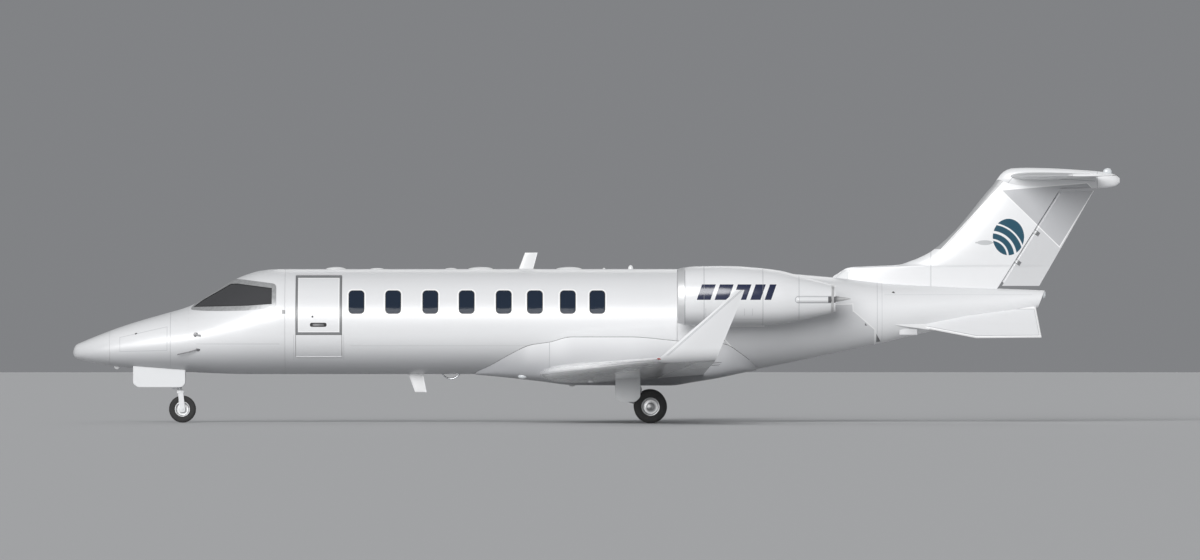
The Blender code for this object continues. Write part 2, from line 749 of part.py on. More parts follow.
instrument_panel = prism(
    "instrument_panel", PANEL_OUTLINE, -CAVITY_HALF, CAVITY_HALF, material="panel_plastic",
)
combine(instrument_panel, cavity, "INTERSECT")
join(instrument_panel, prism("pedestal", PEDESTAL_OUTLINE, -PEDESTAL_HALF, PEDESTAL_HALF))


def seat_outline(station, facing, base, reach):
    """The side view of a seat, its cushion and its raked back in one outline."""
    shape = (
        (-0.02, 0.0), (reach, 0.02), (reach + 0.01, 0.13), (0.10, 0.12), (0.0, 0.40),
        (-0.07, 0.72), (-0.16, 0.72), (-0.19, 0.66), (-0.10, 0.10),
    )
    return [(station + facing * forward, base + up) for forward, up in shape]


for side, label in ((-1, "left"), (1, "right")):
    rail_centre = side * SEAT_RAIL_CENTRE
    rail = box(
        f"cabin_seats_{label}",
        (CABIN_SEAT_STATIONS[0] - SEAT_RAIL_OVERRUN, rail_centre - SEAT_RAIL_HALF, FLOOR_TOP + SEAT),
        (CABIN_SEAT_STATIONS[-1] + SEAT_RAIL_OVERRUN, rail_centre + SEAT_RAIL_HALF, FLOOR_TOP + 0.03),
        "seat_leather",
    )
    frames = bmesh.new()
    cushions = bmesh.new()
    for station, facing in zip(CABIN_SEAT_STATIONS, CABIN_SEAT_FACING):
        back = station - facing * SEAT_BACK_SETBACK
        middle = back + facing * SEAT_FRAME_SETBACK
        half_long, half_wide = SEAT_FRAME_HALF
        add_box(
            frames,
            (middle - half_long, rail_centre - half_wide, FLOOR_TOP + 0.015),
            (middle + half_long, rail_centre + half_wide, SEAT_BASE + 0.01),
        )
        low = side * SEAT_CENTRE - SEAT_WIDTH / 2
        outline = seat_outline(back, facing, SEAT_BASE, SEAT_REACH)
        add_prism(cushions, outline, low, low + SEAT_WIDTH, side_view)
    join(rail, add(f"seat_frames_{label}", frames), add(f"seat_cushions_{label}", cushions))

    centre = side * PILOT_SEAT_CENTRE
    box_front, box_rear, box_half = PILOT_SEAT_BOX
    pilot = box(
        f"pilot_seat_{label}",
        (box_front, centre - box_half, FLOOR_TOP + SEAT),
        (box_rear, centre + box_half, PILOT_SEAT_BASE + 0.01),
        "seat_leather",
    )
    pilot_shell = prism(
        f"pilot_shell_{label}",
        seat_outline(PILOT_SEAT_BACK, -1, PILOT_SEAT_BASE, PILOT_SEAT_REACH),
        centre - PILOT_SEAT_HALF,
        centre + PILOT_SEAT_HALF,
    )
    join(pilot, pilot_shell)

# Belly fairing round the wing's centre section
fairing_top = line(FAIRING_TOP_LINE)
fairing_bottom = line(FAIRING_BOTTOM_LINE)


def fairing_ring(station, grow=0.0):
    """One ring of the fairing: upright at its top edge and nearly flat below."""
    top, bottom = fairing_top(station), fairing_bottom(station) - grow
    edge = hull_half_width(station, top) + FAIRING_EDGE + grow
    bulge = FAIRING_BULGE * min((top - bottom) / 0.8, 1.0) ** 2
    power = 2 / FAIRING_SQUARENESS
    quarter = []
    last = FAIRING_QUARTER_POINTS - 1
    for i in range(last + 1):
        angle = math.pi / 2 * i / last
        across = (edge + bulge * math.sin(angle) ** 2) * math.cos(angle) ** power if i < last else 0.0
        quarter.append((across, top - (top - bottom) * math.sin(angle) ** power))
    ring = quarter + [(-across, height) for across, height in reversed(quarter[:-1])]
    return [(along(station), across, height) for across, height in ring]


wing_fairing = loft("wing_fairing", [fairing_ring(s) for s in FAIRING_STATIONS], "white_paint")
cut(wing_fairing, hull_cutter)
fairing_cutter = loft("fairing_cutter", [fairing_ring(s, SEAT) for s in FAIRING_STATIONS])


# Wing
def section_height(fraction, chord, thickness, camber):
    """Half thickness and camber height of a wing section at a fraction of its chord.

    Half thickness is 5 t (0.2969 sqrt(x) - 0.126 x - 0.3516 x^2 + 0.2843 x^3 - 0.1015 x^4),
    and the camber line is a parabola.
    """
    x = fraction
    bulk = 0.2969 * math.sqrt(x) - 0.126 * x - 0.3516 * x * x + 0.2843 * x**3 - 0.1015 * x**4
    return 5 * thickness * bulk, 4 * camber * x * (1 - x) * chord


def blade_section(chord, thickness, camber=0.0, count=9):
    """A wing section as distance along the chord and height, from a blunt tail round the nose."""
    upper = []
    lower = []
    for i in range(count):
        x = 0.5 * (1 + math.cos(math.pi * i / (count - 1)))
        half, rise = section_height(x, chord, thickness, camber)
        half = max(half, EDGE_THICKNESS / 2 * x)
        upper.append((x * chord, rise + half))
        lower.append((x * chord, rise - half))
    return upper + lower[-2::-1]


wing_front = straight(((WING_ROOT, WING_LEADING_EDGE[0]), (WING_TIP, WING_LEADING_EDGE[1])))
wing_rear = straight(((WING_ROOT, WING_TRAILING_EDGE[0]), (WING_TIP, WING_TRAILING_EDGE[1])))
wing_height = straight(((WING_ROOT, WING_HEIGHT[0]), (WING_TIP, WING_HEIGHT[1])))
wing_ratio = straight(((WING_ROOT, WING_THICKNESS_RATIO[0]), (WING_TIP, WING_THICKNESS_RATIO[1])))


def wing_chord(across):
    """The chord of the wing at a distance from the centreline."""
    return wing_rear(across) - wing_front(across)


def wing_ring(side, across, grow=0.0, lift=0.0):
    """One rib of a wing."""
    at = max(across, WING_ROOT)
    chord = wing_chord(at)
    section = blade_section(chord, wing_ratio(at) * chord + 2 * grow, WING_CAMBER)
    return [
        (along(wing_front(at) + forward), side * across, wing_height(at) + up + lift)
        for forward, up in section
    ]


def wing_solid(name, side, material=None, grow=0.0, lift=0.0):
    """A whole wing, before its flap, aileron and spoiler are cut out."""
    inner_lift = lift + 0.012
    rings = [
        wing_ring(side, WING_INNER, grow, inner_lift),
        wing_ring(side, WING_ROOT, grow, lift),
        wing_ring(side, WING_TIP, grow, lift),
    ]
    return loft(name, rings, material)


def hinge_lathe(name, start, end, radius_start, radius_end):
    """A round nose along a hinge line, with a pin on each end that reaches its seat."""
    start, end = Vector(start), Vector(end)
    direction = (end - start).normalized()
    reach = CLEARANCE - 2 * SEAT
    bm = bmesh.new()
    stops = (
        (start - direction * reach, HINGE_PIN_RADIUS), (start, HINGE_PIN_RADIUS), (start, radius_start),
        (end, radius_end), (end, HINGE_PIN_RADIUS), (end + direction * reach, HINGE_PIN_RADIUS),
    )
    turn = direction.to_track_quat("Z", "Y").to_matrix()
    rings = []
    for centre, radius in stops:
        ring = []
        for i in range(14):
            angle = 2 * math.pi * i / 14
            ring.append(centre + turn @ Vector((radius * math.cos(angle), radius * math.sin(angle), 0)))
        rings.append(ring)
    skin_rings(bm, rings)
    return add(name, bm)


def surface_outline(start, end, reach, ahead, beyond, flat):
    """Four corners of a moving surface's outline, square to its hinge line.

    flat picks the two coordinates of the view. The outline starts a distance
    ahead of the hinge, runs past each end by beyond, and reaches aft.
    """
    first = Vector(flat(start))
    second = Vector(flat(end))
    run = (second - first).normalized()
    aft = Vector((run.y, -run.x))
    if aft.x < 0:
        aft = -aft
    return [
        tuple(first - run * beyond - aft * ahead), tuple(second + run * beyond - aft * ahead),
        tuple(second + run * beyond + aft * reach), tuple(first - run * beyond + aft * reach),
    ]


def plan(point):
    """Station and across of a place."""
    return (point[0] + LENGTH / 2, point[1])


def elevation(point):
    """Station and height of a place."""
    return (point[0] + LENGTH / 2, point[2])


def moving_surface(name, fixed, whole, start, end, radii, reach, flat, place, span):
    """Cut a moving surface out of a fixed one, round its nose and pin its ends.

    whole is the uncut solid, made into the surface by keeping what is aft of
    the hinge line. span is the low and high end of the cutters.
    """
    largest = max(radii)
    bay_outline = surface_outline(start, end, reach, largest + CLEARANCE, CLEARANCE, flat)
    cut(fixed, prism(f"{name}_bay", bay_outline, *span, place))
    outline = surface_outline(start, end, reach, 0.0, 0.0, flat)
    combine(whole, prism(f"{name}_region", outline, *span, place), "INTERSECT")
    join(whole, hinge_lathe(f"{name}_nose", start, end, *radii))
    whole.name = name
    whole.data.name = name


def wing_hinge(side, across, fraction):
    """A place on the middle of the wing at a fraction of its chord, and its half thickness."""
    chord = wing_chord(across)
    half, rise = section_height(fraction, chord, wing_ratio(across) * chord, WING_CAMBER)
    place = (along(wing_front(across) + fraction * chord), side * across, wing_height(across) + rise)
    return place, half


for side, label in ((-1, "left"), (1, "right")):
    wing = wing_solid(f"wing_{label}", side, "white_paint")
    cut(wing, fairing_cutter)
    for kind, span, fraction in (
        ("flap", FLAP_SPAN, FLAP_HINGE),
        ("aileron", AILERON_SPAN, AILERON_HINGE),
    ):
        start, half_start = wing_hinge(side, span[0], fraction)
        end, half_end = wing_hinge(side, span[1], fraction)
        whole = wing_solid(f"{kind}_{label}", side, "white_paint")
        moving_surface(
            f"{kind}_{label}", wing, whole, start, end, (half_start * NOSE_SHARE, half_end * NOSE_SHARE),
            SURFACE_REACH, plan, plan_view, WING_CUT_SPAN,
        )

    # Spoiler: a thin plate let into the top of the wing
    front_a, front_b = SPOILER_CHORD
    corners = []
    inboard, outboard = SPOILER_SPAN
    for across, fraction in (
        (inboard, front_a), (outboard, front_a), (outboard, front_b), (inboard, front_b),
    ):
        corners.append((wing_front(across) + fraction * wing_chord(across), side * across))
    recess_corners = inset_outline(corners, -2 * CLEARANCE)
    recess = prism(f"spoiler_recess_{label}", recess_corners, *WING_CUT_SPAN, plan_view)
    cut(recess, wing_solid(f"recess_floor_{label}", side, lift=-SPOILER_THICKNESS - CLEARANCE))
    cut(wing, recess)
    spoiler = wing_solid(f"spoiler_{label}", side, "white_paint")
    combine(spoiler, prism(f"spoiler_region_{label}", corners, *WING_CUT_SPAN, plan_view), "INTERSECT")
    cut(spoiler, wing_solid(f"spoiler_underside_{label}", side, lift=-SPOILER_THICKNESS))
    pins = []
    for across in SPOILER_SPAN:
        chord = wing_chord(across)
        half, rise = section_height(front_a, chord, wing_ratio(across) * chord, WING_CAMBER)
        height = wing_height(across) + half + rise - SPOILER_THICKNESS / 2
        forward = wing_front(across) + front_a * chord + SPOILER_PIN_INSET
        pins.append(Vector((along(forward), side * across, height)))
    direction = (pins[1] - pins[0]).normalized()
    reach = 2 * CLEARANCE - 4 * SEAT
    join(spoiler, rod(
        f"spoiler_pin_{label}", pins[0] - direction * reach, pins[1] + direction * reach,
        SPOILER_PIN_RADIUS, sides=8,
    ))

    # Jack pad: a round boss with a flat face under the front spar
    pad_station, pad_across, pad_radius, pad_face = JACK_PAD
    pad_place = (along(pad_station), side * pad_across)
    join(wing, rod(f"jack_pad_{label}", (*pad_place, pad_face), (*pad_place, WING_HEIGHT[0]), pad_radius))

    # Winglet: ribs that follow a bend from the wing's slope to the winglet's
    slope = math.atan2(WING_HEIGHT[1] - WING_HEIGHT[0], WING_TIP - WING_ROOT)
    cant = math.radians(WINGLET_CANT)
    winglet_front = line(WINGLET_LEADING_EDGE)
    winglet_rear = line(WINGLET_TRAILING_EDGE)
    spine = []
    for i in range(5):
        angle = slope + (cant - slope) * i / 4
        spine.append((
            WING_TIP + SEAT + WINGLET_BEND * (math.sin(angle) - math.sin(slope)),
            WING_HEIGHT[1] + WINGLET_BEND * (math.cos(slope) - math.cos(angle)),
            angle,
        ))
    bend_end = spine[-1]
    for height in (1.75, 2.144, WINGLET_TOP):
        rise = height - bend_end[1]
        spine.append((bend_end[0] + rise / math.tan(cant), height, cant))
    rings = []
    for i, (across, height, angle) in enumerate(spine):
        front, rear = winglet_front(height), winglet_rear(height)
        chord = rear - front
        thickness = chord * (0.105 if i < 5 else 0.095)
        if i == len(spine) - 1:
            thickness *= 0.4
        section = blade_section(chord, thickness, WING_CAMBER * (1 - i / (len(spine) - 1)))
        lean = angle if i else 0.0
        rings.append([
            (
                along(front + forward),
                side * (across - up * math.sin(lean)),
                height + up * math.cos(lean),
            )
            for forward, up in section
        ])
    loft(f"winglet_{label}", rings, "white_paint")


# Fin and rudder
fin_front = line(FIN_LEADING_EDGE)
fin_rear = straight(FIN_TRAILING_EDGE)
fin_thickness = line(FIN_THICKNESS)
fin_nose = straight(FIN_NOSE)
FIN_LEVELS = (2.12, 2.60, 2.625, 2.645, 2.667, 2.72, 2.785, 2.902, 3.4, FIN_TOP)


def fin_rings():
    """The fin's level sections, each with its leading edge and thickness."""
    rings = []
    for height in FIN_LEVELS:
        front, rear = fin_front(height), fin_rear(height)
        section = blade_section(rear - front, fin_thickness(height))
        nose = fin_nose(height)
        middle = len(section) // 2
        blunt = section[:middle] + [(0.0, nose), (0.0, -nose)] + section[middle + 1:]
        rings.append([(along(front + forward), side, height) for forward, side in blunt])
    return rings


def fin_half_thickness(station, height):
    """Half the fin's thickness at a place."""
    front, rear = fin_front(height), fin_rear(height)
    return section_height((station - front) / (rear - front), rear - front, fin_thickness(height), 0)[0]


def bullet_rings(grow=0.0):
    """The rings of the tailplane's bullet."""
    rings = []
    for station, top, bottom, half in BULLET:
        middle = (top + bottom) / 2
        tall = (top - bottom) / 2 + grow
        ring = []
        for i in range(BULLET_SIDES):
            angle = 2 * math.pi * i / BULLET_SIDES
            ring.append((along(station), (half + grow) * math.cos(angle), middle + tall * math.sin(angle)))
        rings.append(ring)
    rings[0] = [(x - grow, y, z) for x, y, z in rings[0]]
    rings[-1] = [(x + (grow if grow else 0.0), y, z) for x, y, z in rings[-1]]
    return rings


fin = loft("fin", fin_rings(), "white_paint")
rudder = loft("rudder", fin_rings(), "white_paint")
bullet_cutter = loft("bullet_cutter", bullet_rings(SEAT))
cut(fin, hull_cutter, bullet_cutter)


def rudder_hinge(height):
    """The place on the rudder's hinge line at a height."""
    (low_station, low), (high_station, high) = RUDDER_HINGE
    station = low_station + (high_station - low_station) * (height - low) / (high - low)
    return (along(station), 0.0, height), fin_half_thickness(station, height)


start, half_start = rudder_hinge(RUDDER_BOTTOM)
end, half_end = rudder_hinge(RUDDER_TOP)
run = (Vector(elevation(end)) - Vector(elevation(start))).normalized()
aft = Vector((run.y, -run.x))
ahead = half_start * NOSE_SHARE + CLEARANCE
first, second = Vector(elevation(start)), Vector(elevation(end))
rudder_outline = [
    tuple(first), tuple(second), (second.x + RUDDER_REACH, second.y), (first.x + RUDDER_REACH, first.y),
]
low_ahead = first - aft * ahead - run * RUDDER_BAY_OVERRUN
high_ahead = second - aft * ahead + run * RUDDER_BAY_OVERRUN
bay_outline = [
    tuple(low_ahead), tuple(high_ahead), (high_ahead.x + RUDDER_REACH, high_ahead.y),
    (low_ahead.x + RUDDER_REACH, low_ahead.y),
]
cut(fin, prism("rudder_bay", bay_outline, -FIN_CUT_HALF, FIN_CUT_HALF))
combine(rudder, prism("rudder_region", rudder_outline, -FIN_CUT_HALF, FIN_CUT_HALF), "INTERSECT")
axis = Vector((run.x, 0, run.y))
back = Vector((aft.x, 0, aft.y))
rudder_nose = rod(
    "rudder_nose",
    Vector(start) + axis * 0.06,
    Vector(end) - axis * 0.06,
    half_start * 0.95,
    half_end * 0.95,
    14,
)
join(rudder, rudder_nose)

# Rudder hinge arms, fixed to the fin, with the rudder notched round them
for number, height in enumerate(RUDDER_ARMS):
    place, half = rudder_hinge(height)
    centre = Vector(place)
    pin_a = centre - axis * RUDDER_ARM_HALF
    pin_b = centre + axis * RUDDER_ARM_HALF
    notch_a = centre - axis * (RUDDER_ARM_HALF + CLEARANCE)
    notch_b = centre + axis * (RUDDER_ARM_HALF + CLEARANCE)
    notch = rod(f"rudder_notch_{number}", notch_a, notch_b, half + 0.03, sides=14)
    cut(rudder, notch)
    join(rudder, rod(
        f"rudder_pin_{number}", notch_a - axis * 0.02, notch_b + axis * 0.02, RUDDER_PIN_RADIUS, sides=10,
    ))
    arm = bmesh.new()
    add_rod(arm, pin_a, pin_b, half * 0.75, sides=14)
    arm_object = add(f"rudder_arm_{number}", arm)
    web_outline = [
        elevation(centre - back * (half + 0.06) - axis * 0.024),
        elevation(centre - axis * 0.024),
        elevation(centre + axis * 0.024),
        elevation(centre - back * (half + 0.06) + axis * 0.024),
    ]
    web = prism(f"rudder_web_{number}", web_outline, -half * 0.6, half * 0.6)
    join(fin, arm_object, web)
    cut(fin, rod(
        f"rudder_pin_hole_{number}", pin_a - axis * 0.01, pin_b + axis * 0.01,
        RUDDER_PIN_HOLE_RADIUS, sides=10,
    ))

# Tailplane and elevators
tail_front = straight(((0.0, TAIL_LEADING_EDGE[0]), (TAIL_SPAN_HALF, TAIL_LEADING_EDGE[1])))
tail_rear = straight(((0.0, TAIL_TRAILING_EDGE[0]), (TAIL_SPAN_HALF, TAIL_TRAILING_EDGE[1])))


def tail_rings(grow=0.0):
    """The ribs of the tailplane, from port to starboard."""
    rings = []
    full = TAIL_SPAN_HALF - TAIL_TIP_BAND
    for across in (-TAIL_SPAN_HALF, -full, 0.0, full, TAIL_SPAN_HALF):
        reach = abs(across)
        chord = tail_rear(reach) - tail_front(reach)
        thickness = TAIL_THICKNESS_RATIO * chord
        if reach == TAIL_SPAN_HALF:
            thickness *= 0.45
        section = blade_section(chord, thickness + 2 * grow)
        rings.append([
            (along(tail_front(reach) + forward), across, TAIL_HEIGHT + up) for forward, up in section
        ])
    return rings


stabilizer = loft("stabilizer", tail_rings(), "white_paint")
cut(fin, loft("stabilizer_cutter", tail_rings(SEAT)))
for side, label in ((-1, "left"), (1, "right")):
    places = []
    halves = []
    for across in ELEVATOR_SPAN:
        chord = tail_rear(across) - tail_front(across)
        half, _ = section_height(ELEVATOR_HINGE, chord, TAIL_THICKNESS_RATIO * chord, 0)
        places.append((along(tail_front(across) + ELEVATOR_HINGE * chord), side * across, TAIL_HEIGHT))
        halves.append(half * NOSE_SHARE)
    whole = loft(f"elevator_{label}", tail_rings(), "white_paint")
    moving_surface(
        f"elevator_{label}", stabilizer, whole, *places, halves, ELEVATOR_REACH, plan, plan_view,
        TAIL_CUT_SPAN,
    )
join(stabilizer, loft("bullet", bullet_rings()))

# Ventral fins: flat plates that spread below the tail
for side, label in ((-1, "left"), (1, "right")):
    bm = bmesh.new()
    corners = [Vector((along(station), side * across, height)) for station, across, height in VENTRAL_CORNERS]
    normal = (corners[1] - corners[0]).cross(corners[2] - corners[0]).normalized()
    rings = [
        [corner - normal * VENTRAL_THICKNESS / 2 for corner in corners],
        [corner + normal * VENTRAL_THICKNESS / 2 for corner in corners],
    ]
    skin_rings(bm, rings)
    ventral = add(f"ventral_fin_{label}", bm, "white_paint")
    cut(ventral, hull_cutter)

# Engines
engine_axis = straight(ENGINE_AXIS_DROP)


def round_rings(side, profile, grow=0.0):
    """Rings round an engine's axis, from a profile of station and radius."""
    rings = []
    for station, radius in profile:
        ring = []
        for i in range(NACELLE_SIDES):
            angle = 2 * math.pi * i / NACELLE_SIDES
            ring.append((
                along(station),
                side * ENGINE_OFFSET + (radius + grow) * math.cos(angle),
                engine_axis(station) + (radius + grow) * math.sin(angle),
            ))
        rings.append(ring)
    return rings


for side, label in ((-1, "left"), (1, "right")):
    loft(
        f"nacelle_{label}",
        round_rings(side, NACELLE_OUTSIDE) + round_rings(side, NACELLE_INSIDE),
        "white_paint",
        ring_closed=True,
    )
    loft(f"engine_core_{label}", round_rings(side, CORE_PROFILE, -SEAT), "engine_metal")
    pylon_rings = []
    section = blade_section(PYLON_REAR - PYLON_FRONT, PYLON_THICKNESS)
    for across in PYLON_SPAN:
        pylon_rings.append([
            (along(PYLON_FRONT + forward), side * across, PYLON_HEIGHT + up) for forward, up in section
        ])
    pylon = loft(f"pylon_{label}", pylon_rings, "white_paint")
    cut(pylon, hull_cutter, loft(f"nacelle_cutter_{label}", round_rings(side, NACELLE_OUTSIDE, SEAT)))

    # Fan: a pointed hub with twisted blades, which runs against the core's front face
    fan = loft(f"fan_{label}", round_rings(side, FAN_HUB_PROFILE), "fan_metal")
    blades = bmesh.new()
    axis_place = Vector((along(FAN_STATION), side * ENGINE_OFFSET, ENGINE_HEIGHT))
    root = FAN_HUB_RADIUS - 0.012
    for i in range(FAN_BLADES):
        spin = Matrix.Rotation(2 * math.pi * i / FAN_BLADES, 4, "X")
        ribs = []
        for radius, stagger in ((root, 30.0), (FAN_RADIUS, 55.0)):
            turn = Matrix.Rotation(math.radians(stagger), 4, "Z")
            rib = []
            for forward, thick in ((-0.5, 0.0), (0.0, 0.5), (0.5, 0.0), (0.0, -0.5)):
                local = turn @ Vector((forward * FAN_CHORD, thick * FAN_BLADE_THICKNESS, 0))
                rib.append(axis_place + spin @ (local + Vector((0, 0, radius))))
            ribs.append(rib)
        skin_rings(blades, ribs)
    join(fan, add(f"fan_blades_{label}", blades))

# Nose gear
well_stations, well_half, well_top = NOSE_WELL
cut(nose_section, box(
    "nose_well", (well_stations[0], -well_half, NOSE_WELL_BOTTOM), (well_stations[1], well_half, well_top),
))
for side, label in ((-1, "left"), (1, "right")):
    inner = side * NOSE_DOOR_OFFSET
    door = prism(
        f"nose_gear_door_{label}", NOSE_DOOR_OUTLINE, inner, inner + side * NOSE_DOOR_THICKNESS,
        material="white_paint",
    )
    cut(door, hull_cutter)

leg_place = along(NOSE_LEG_STATION)
nose_leg = rod(
    "nose_leg", (leg_place, 0, NOSE_STEER_HEIGHT + SEAT), (leg_place, 0, well_top - SEAT),
    NOSE_STRUT_RADIUS, material="gear_paint",
)
(brace_station, brace_top), brace_foot, brace_radius = NOSE_BRACE
trunnion_half = well_half - SEAT
join(
    nose_leg,
    rod(
        "nose_brace", (along(brace_station), 0, brace_top), (leg_place, 0, brace_foot), brace_radius,
        sides=10,
    ),
    rod(
        "nose_trunnion", (leg_place, -trunnion_half, NOSE_TRUNNION_HEIGHT),
        (leg_place, trunnion_half, NOSE_TRUNNION_HEIGHT), NOSE_TRUNNION_RADIUS, sides=12,
    ),
)

nose_fork = rod(
    "nose_fork", (leg_place, 0, NOSE_FORK_CROWN), (leg_place, 0, NOSE_STEER_HEIGHT), NOSE_FORK_RADIUS,
    material="gear_paint",
)
crown_half = NOSE_FORK_GAP + 0.022
join(nose_fork, box(
    "fork_crown", (1.755, -crown_half, NOSE_FORK_LOW), (1.875, crown_half, NOSE_FORK_LOW + 0.045),
))
for side in (-1, 1):
    join(nose_fork, prism(
        f"fork_arm_{side}",
        NOSE_ARM_OUTLINE,
        side * NOSE_FORK_GAP,
        side * (NOSE_FORK_GAP + NOSE_ARM_THICKNESS),
    ))
join(nose_fork, prism("torque_link", TORQUE_LINK_OUTLINE, -0.02, 0.02))


def wheel_profile_rings(centre_station, centre_across, centre_height, profile, sides):
    """Rings about an axle that lies across the aeroplane, from a profile of across and radius."""
    rings = []
    for across, radius in profile:
        ring = []
        for i in range(sides):
            angle = 2 * math.pi * (i + 0.5) / sides
            ring.append((
                along(centre_station) + radius * math.cos(angle),
                centre_across + across,
                centre_height + radius * math.sin(angle),
            ))
        rings.append(ring)
    return rings


def tyre(name, station, across, radius, width, rim_radius):
    """A tyre: a tread, round shoulders and a bead that sits on the rim."""
    half = width / 2
    flat = radius / math.cos(math.pi / TYRE_SIDES)
    wall = flat - rim_radius
    profile = [
        (-half * 0.82, flat - wall * 0.13), (-half, flat - wall * 0.45), (-half * 0.74, rim_radius + SEAT),
        (half * 0.74, rim_radius + SEAT), (half, flat - wall * 0.45), (half * 0.82, flat - wall * 0.13),
        (half * 0.45, flat), (-half * 0.45, flat),
    ]
    rings = wheel_profile_rings(station, across, radius, profile, TYRE_SIDES)
    return loft(name, rings, "tyre_rubber", ring_closed=True)


def rim_profile(half, rim_radius, hub_half, hub_radius):
    """A wheel's outline from one side to the other: hub, dished web and rim."""
    side = [
        (-hub_half, hub_radius), (-half * 0.40, rim_radius * 0.70), (-half * 0.74, rim_radius * 0.88),
        (-half * 0.74, rim_radius),
    ]
    return side + [(-across, radius) for across, radius in reversed(side)]


tyre("nose_tyre", NOSE_WHEEL_STATION, 0.0, NOSE_TYRE_RADIUS, NOSE_TYRE_WIDTH, NOSE_RIM_RADIUS)
nose_rim = loft(
    "nose_rim",
    wheel_profile_rings(
        NOSE_WHEEL_STATION, 0.0, NOSE_TYRE_RADIUS,
        rim_profile(NOSE_TYRE_WIDTH / 2, NOSE_RIM_RADIUS, NOSE_FORK_GAP - SEAT, 0.030), TYRE_SIDES,
    ),
    "wheel_metal",
)

# Main gear
for side, label in ((-1, "left"), (1, "right")):
    track = side * MAIN_TRACK_HALF
    leg_x = along(MAIN_LEG_STATION)
    wheel_x = along(MAIN_WHEEL_STATION)
    arm_half = MAIN_ARM_HALF_WIDTH
    main_leg = rod(
        f"main_leg_{label}", (leg_x, track, 0.40), (leg_x - 0.03, track, 0.80), 0.060, 0.075,
        material="gear_paint",
    )
    knuckle = rod(
        f"main_knuckle_{label}", (leg_x, track - 0.075, 0.395), (leg_x, track + 0.075, 0.395), 0.055,
    )
    arm = prism(f"main_arm_{label}", MAIN_ARM_OUTLINE, track - arm_half, track + arm_half)
    shock = rod(
        f"main_shock_{label}", (wheel_x - 0.10, track, 0.32), (leg_x + 0.10, track, 0.72), 0.035, sides=12,
    )
    brace = rod(
        f"main_brace_{label}", (leg_x, track - side * 0.03, 0.50),
        (leg_x - 0.02, track - side * 0.34, 0.72), 0.024, sides=10,
    )
    door_inner, door_outer = MAIN_DOOR_SPAN
    leg_door = prism(
        f"main_leg_door_{label}", MAIN_DOOR_OUTLINE, track + side * door_inner, track + side * door_outer,
    )
    bracket = box(
        f"main_door_bracket_{label}",
        (MAIN_LEG_STATION - 0.045, min(track, track + side * 0.245), 0.600),
        (MAIN_LEG_STATION + 0.015, max(track, track + side * 0.245), 0.630),
    )
    join(main_leg, knuckle, arm, shock, brace, leg_door, bracket)
    cut(main_leg, wing_solid(f"wing_cutter_{label}", side, grow=SEAT))
    cut(main_leg, box(f"above_wing_{label}", (8.9, track - 0.6, 0.83), (10.1, track + 0.6, 1.3)))
    hole_radius = MAIN_AXLE_RADIUS + 0.0012
    cut(main_leg, rod(
        f"axle_hole_{label}",
        (wheel_x, track - 0.2, MAIN_TYRE_RADIUS), (wheel_x, track + 0.2, MAIN_TYRE_RADIUS), hole_radius,
        sides=TYRE_SIDES,
    ))
    for place, spot in ((-1, "inner"), (1, "outer")):
        across = track + side * place * MAIN_WHEEL_SPACING
        tyre(
            f"main_tyre_{label}_{spot}", MAIN_WHEEL_STATION, across,
            MAIN_TYRE_RADIUS, MAIN_TYRE_WIDTH, MAIN_RIM_RADIUS,
        )
    half = MAIN_TYRE_WIDTH / 2
    hub = arm_half + MAIN_HUB_GAP
    rim = rim_profile(half, MAIN_RIM_RADIUS, half * 0.80, MAIN_HUB_RADIUS)
    axle = [
        (-hub, MAIN_HUB_RADIUS), (-hub, MAIN_AXLE_RADIUS), (hub, MAIN_AXLE_RADIUS), (hub, MAIN_HUB_RADIUS),
    ]
    profile = (
        [(a - MAIN_WHEEL_SPACING, radius) for a, radius in rim]
        + axle
        + [(a + MAIN_WHEEL_SPACING, radius) for a, radius in rim]
    )
    loft(
        f"main_rims_{label}",
        wheel_profile_rings(MAIN_WHEEL_STATION, track, MAIN_TYRE_RADIUS, profile, TYRE_SIDES),
        "wheel_metal",
    )

# Blade antennas
for name, blade in (("top_antenna", TOP_BLADE), ("bottom_antenna", BOTTOM_BLADE)):
    base_front, base_rear, tip_front, tip_rear, base, tip = blade
    rings = []
    for front, rear, height, thickness in (
        (base_front, base_rear, base, BLADE_THICKNESS), (tip_front, tip_rear, tip, BLADE_THICKNESS * 0.5),
    ):
        section = blade_section(rear - front, thickness, count=BLADE_POINTS)
        rings.append([(along(front + forward), across, height) for forward, across in section])
    antenna = loft(name, rings, "white_paint")
    cut(antenna, hull_cutter)
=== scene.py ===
"""The looks of a twin-engine business jet that stands on its landing gear.

The nose points to -X, starboard is +Y and up is +Z, in metres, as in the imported
frame. Places along the aeroplane are stations, measured aft from the nose tip.
"""
import functools
import math

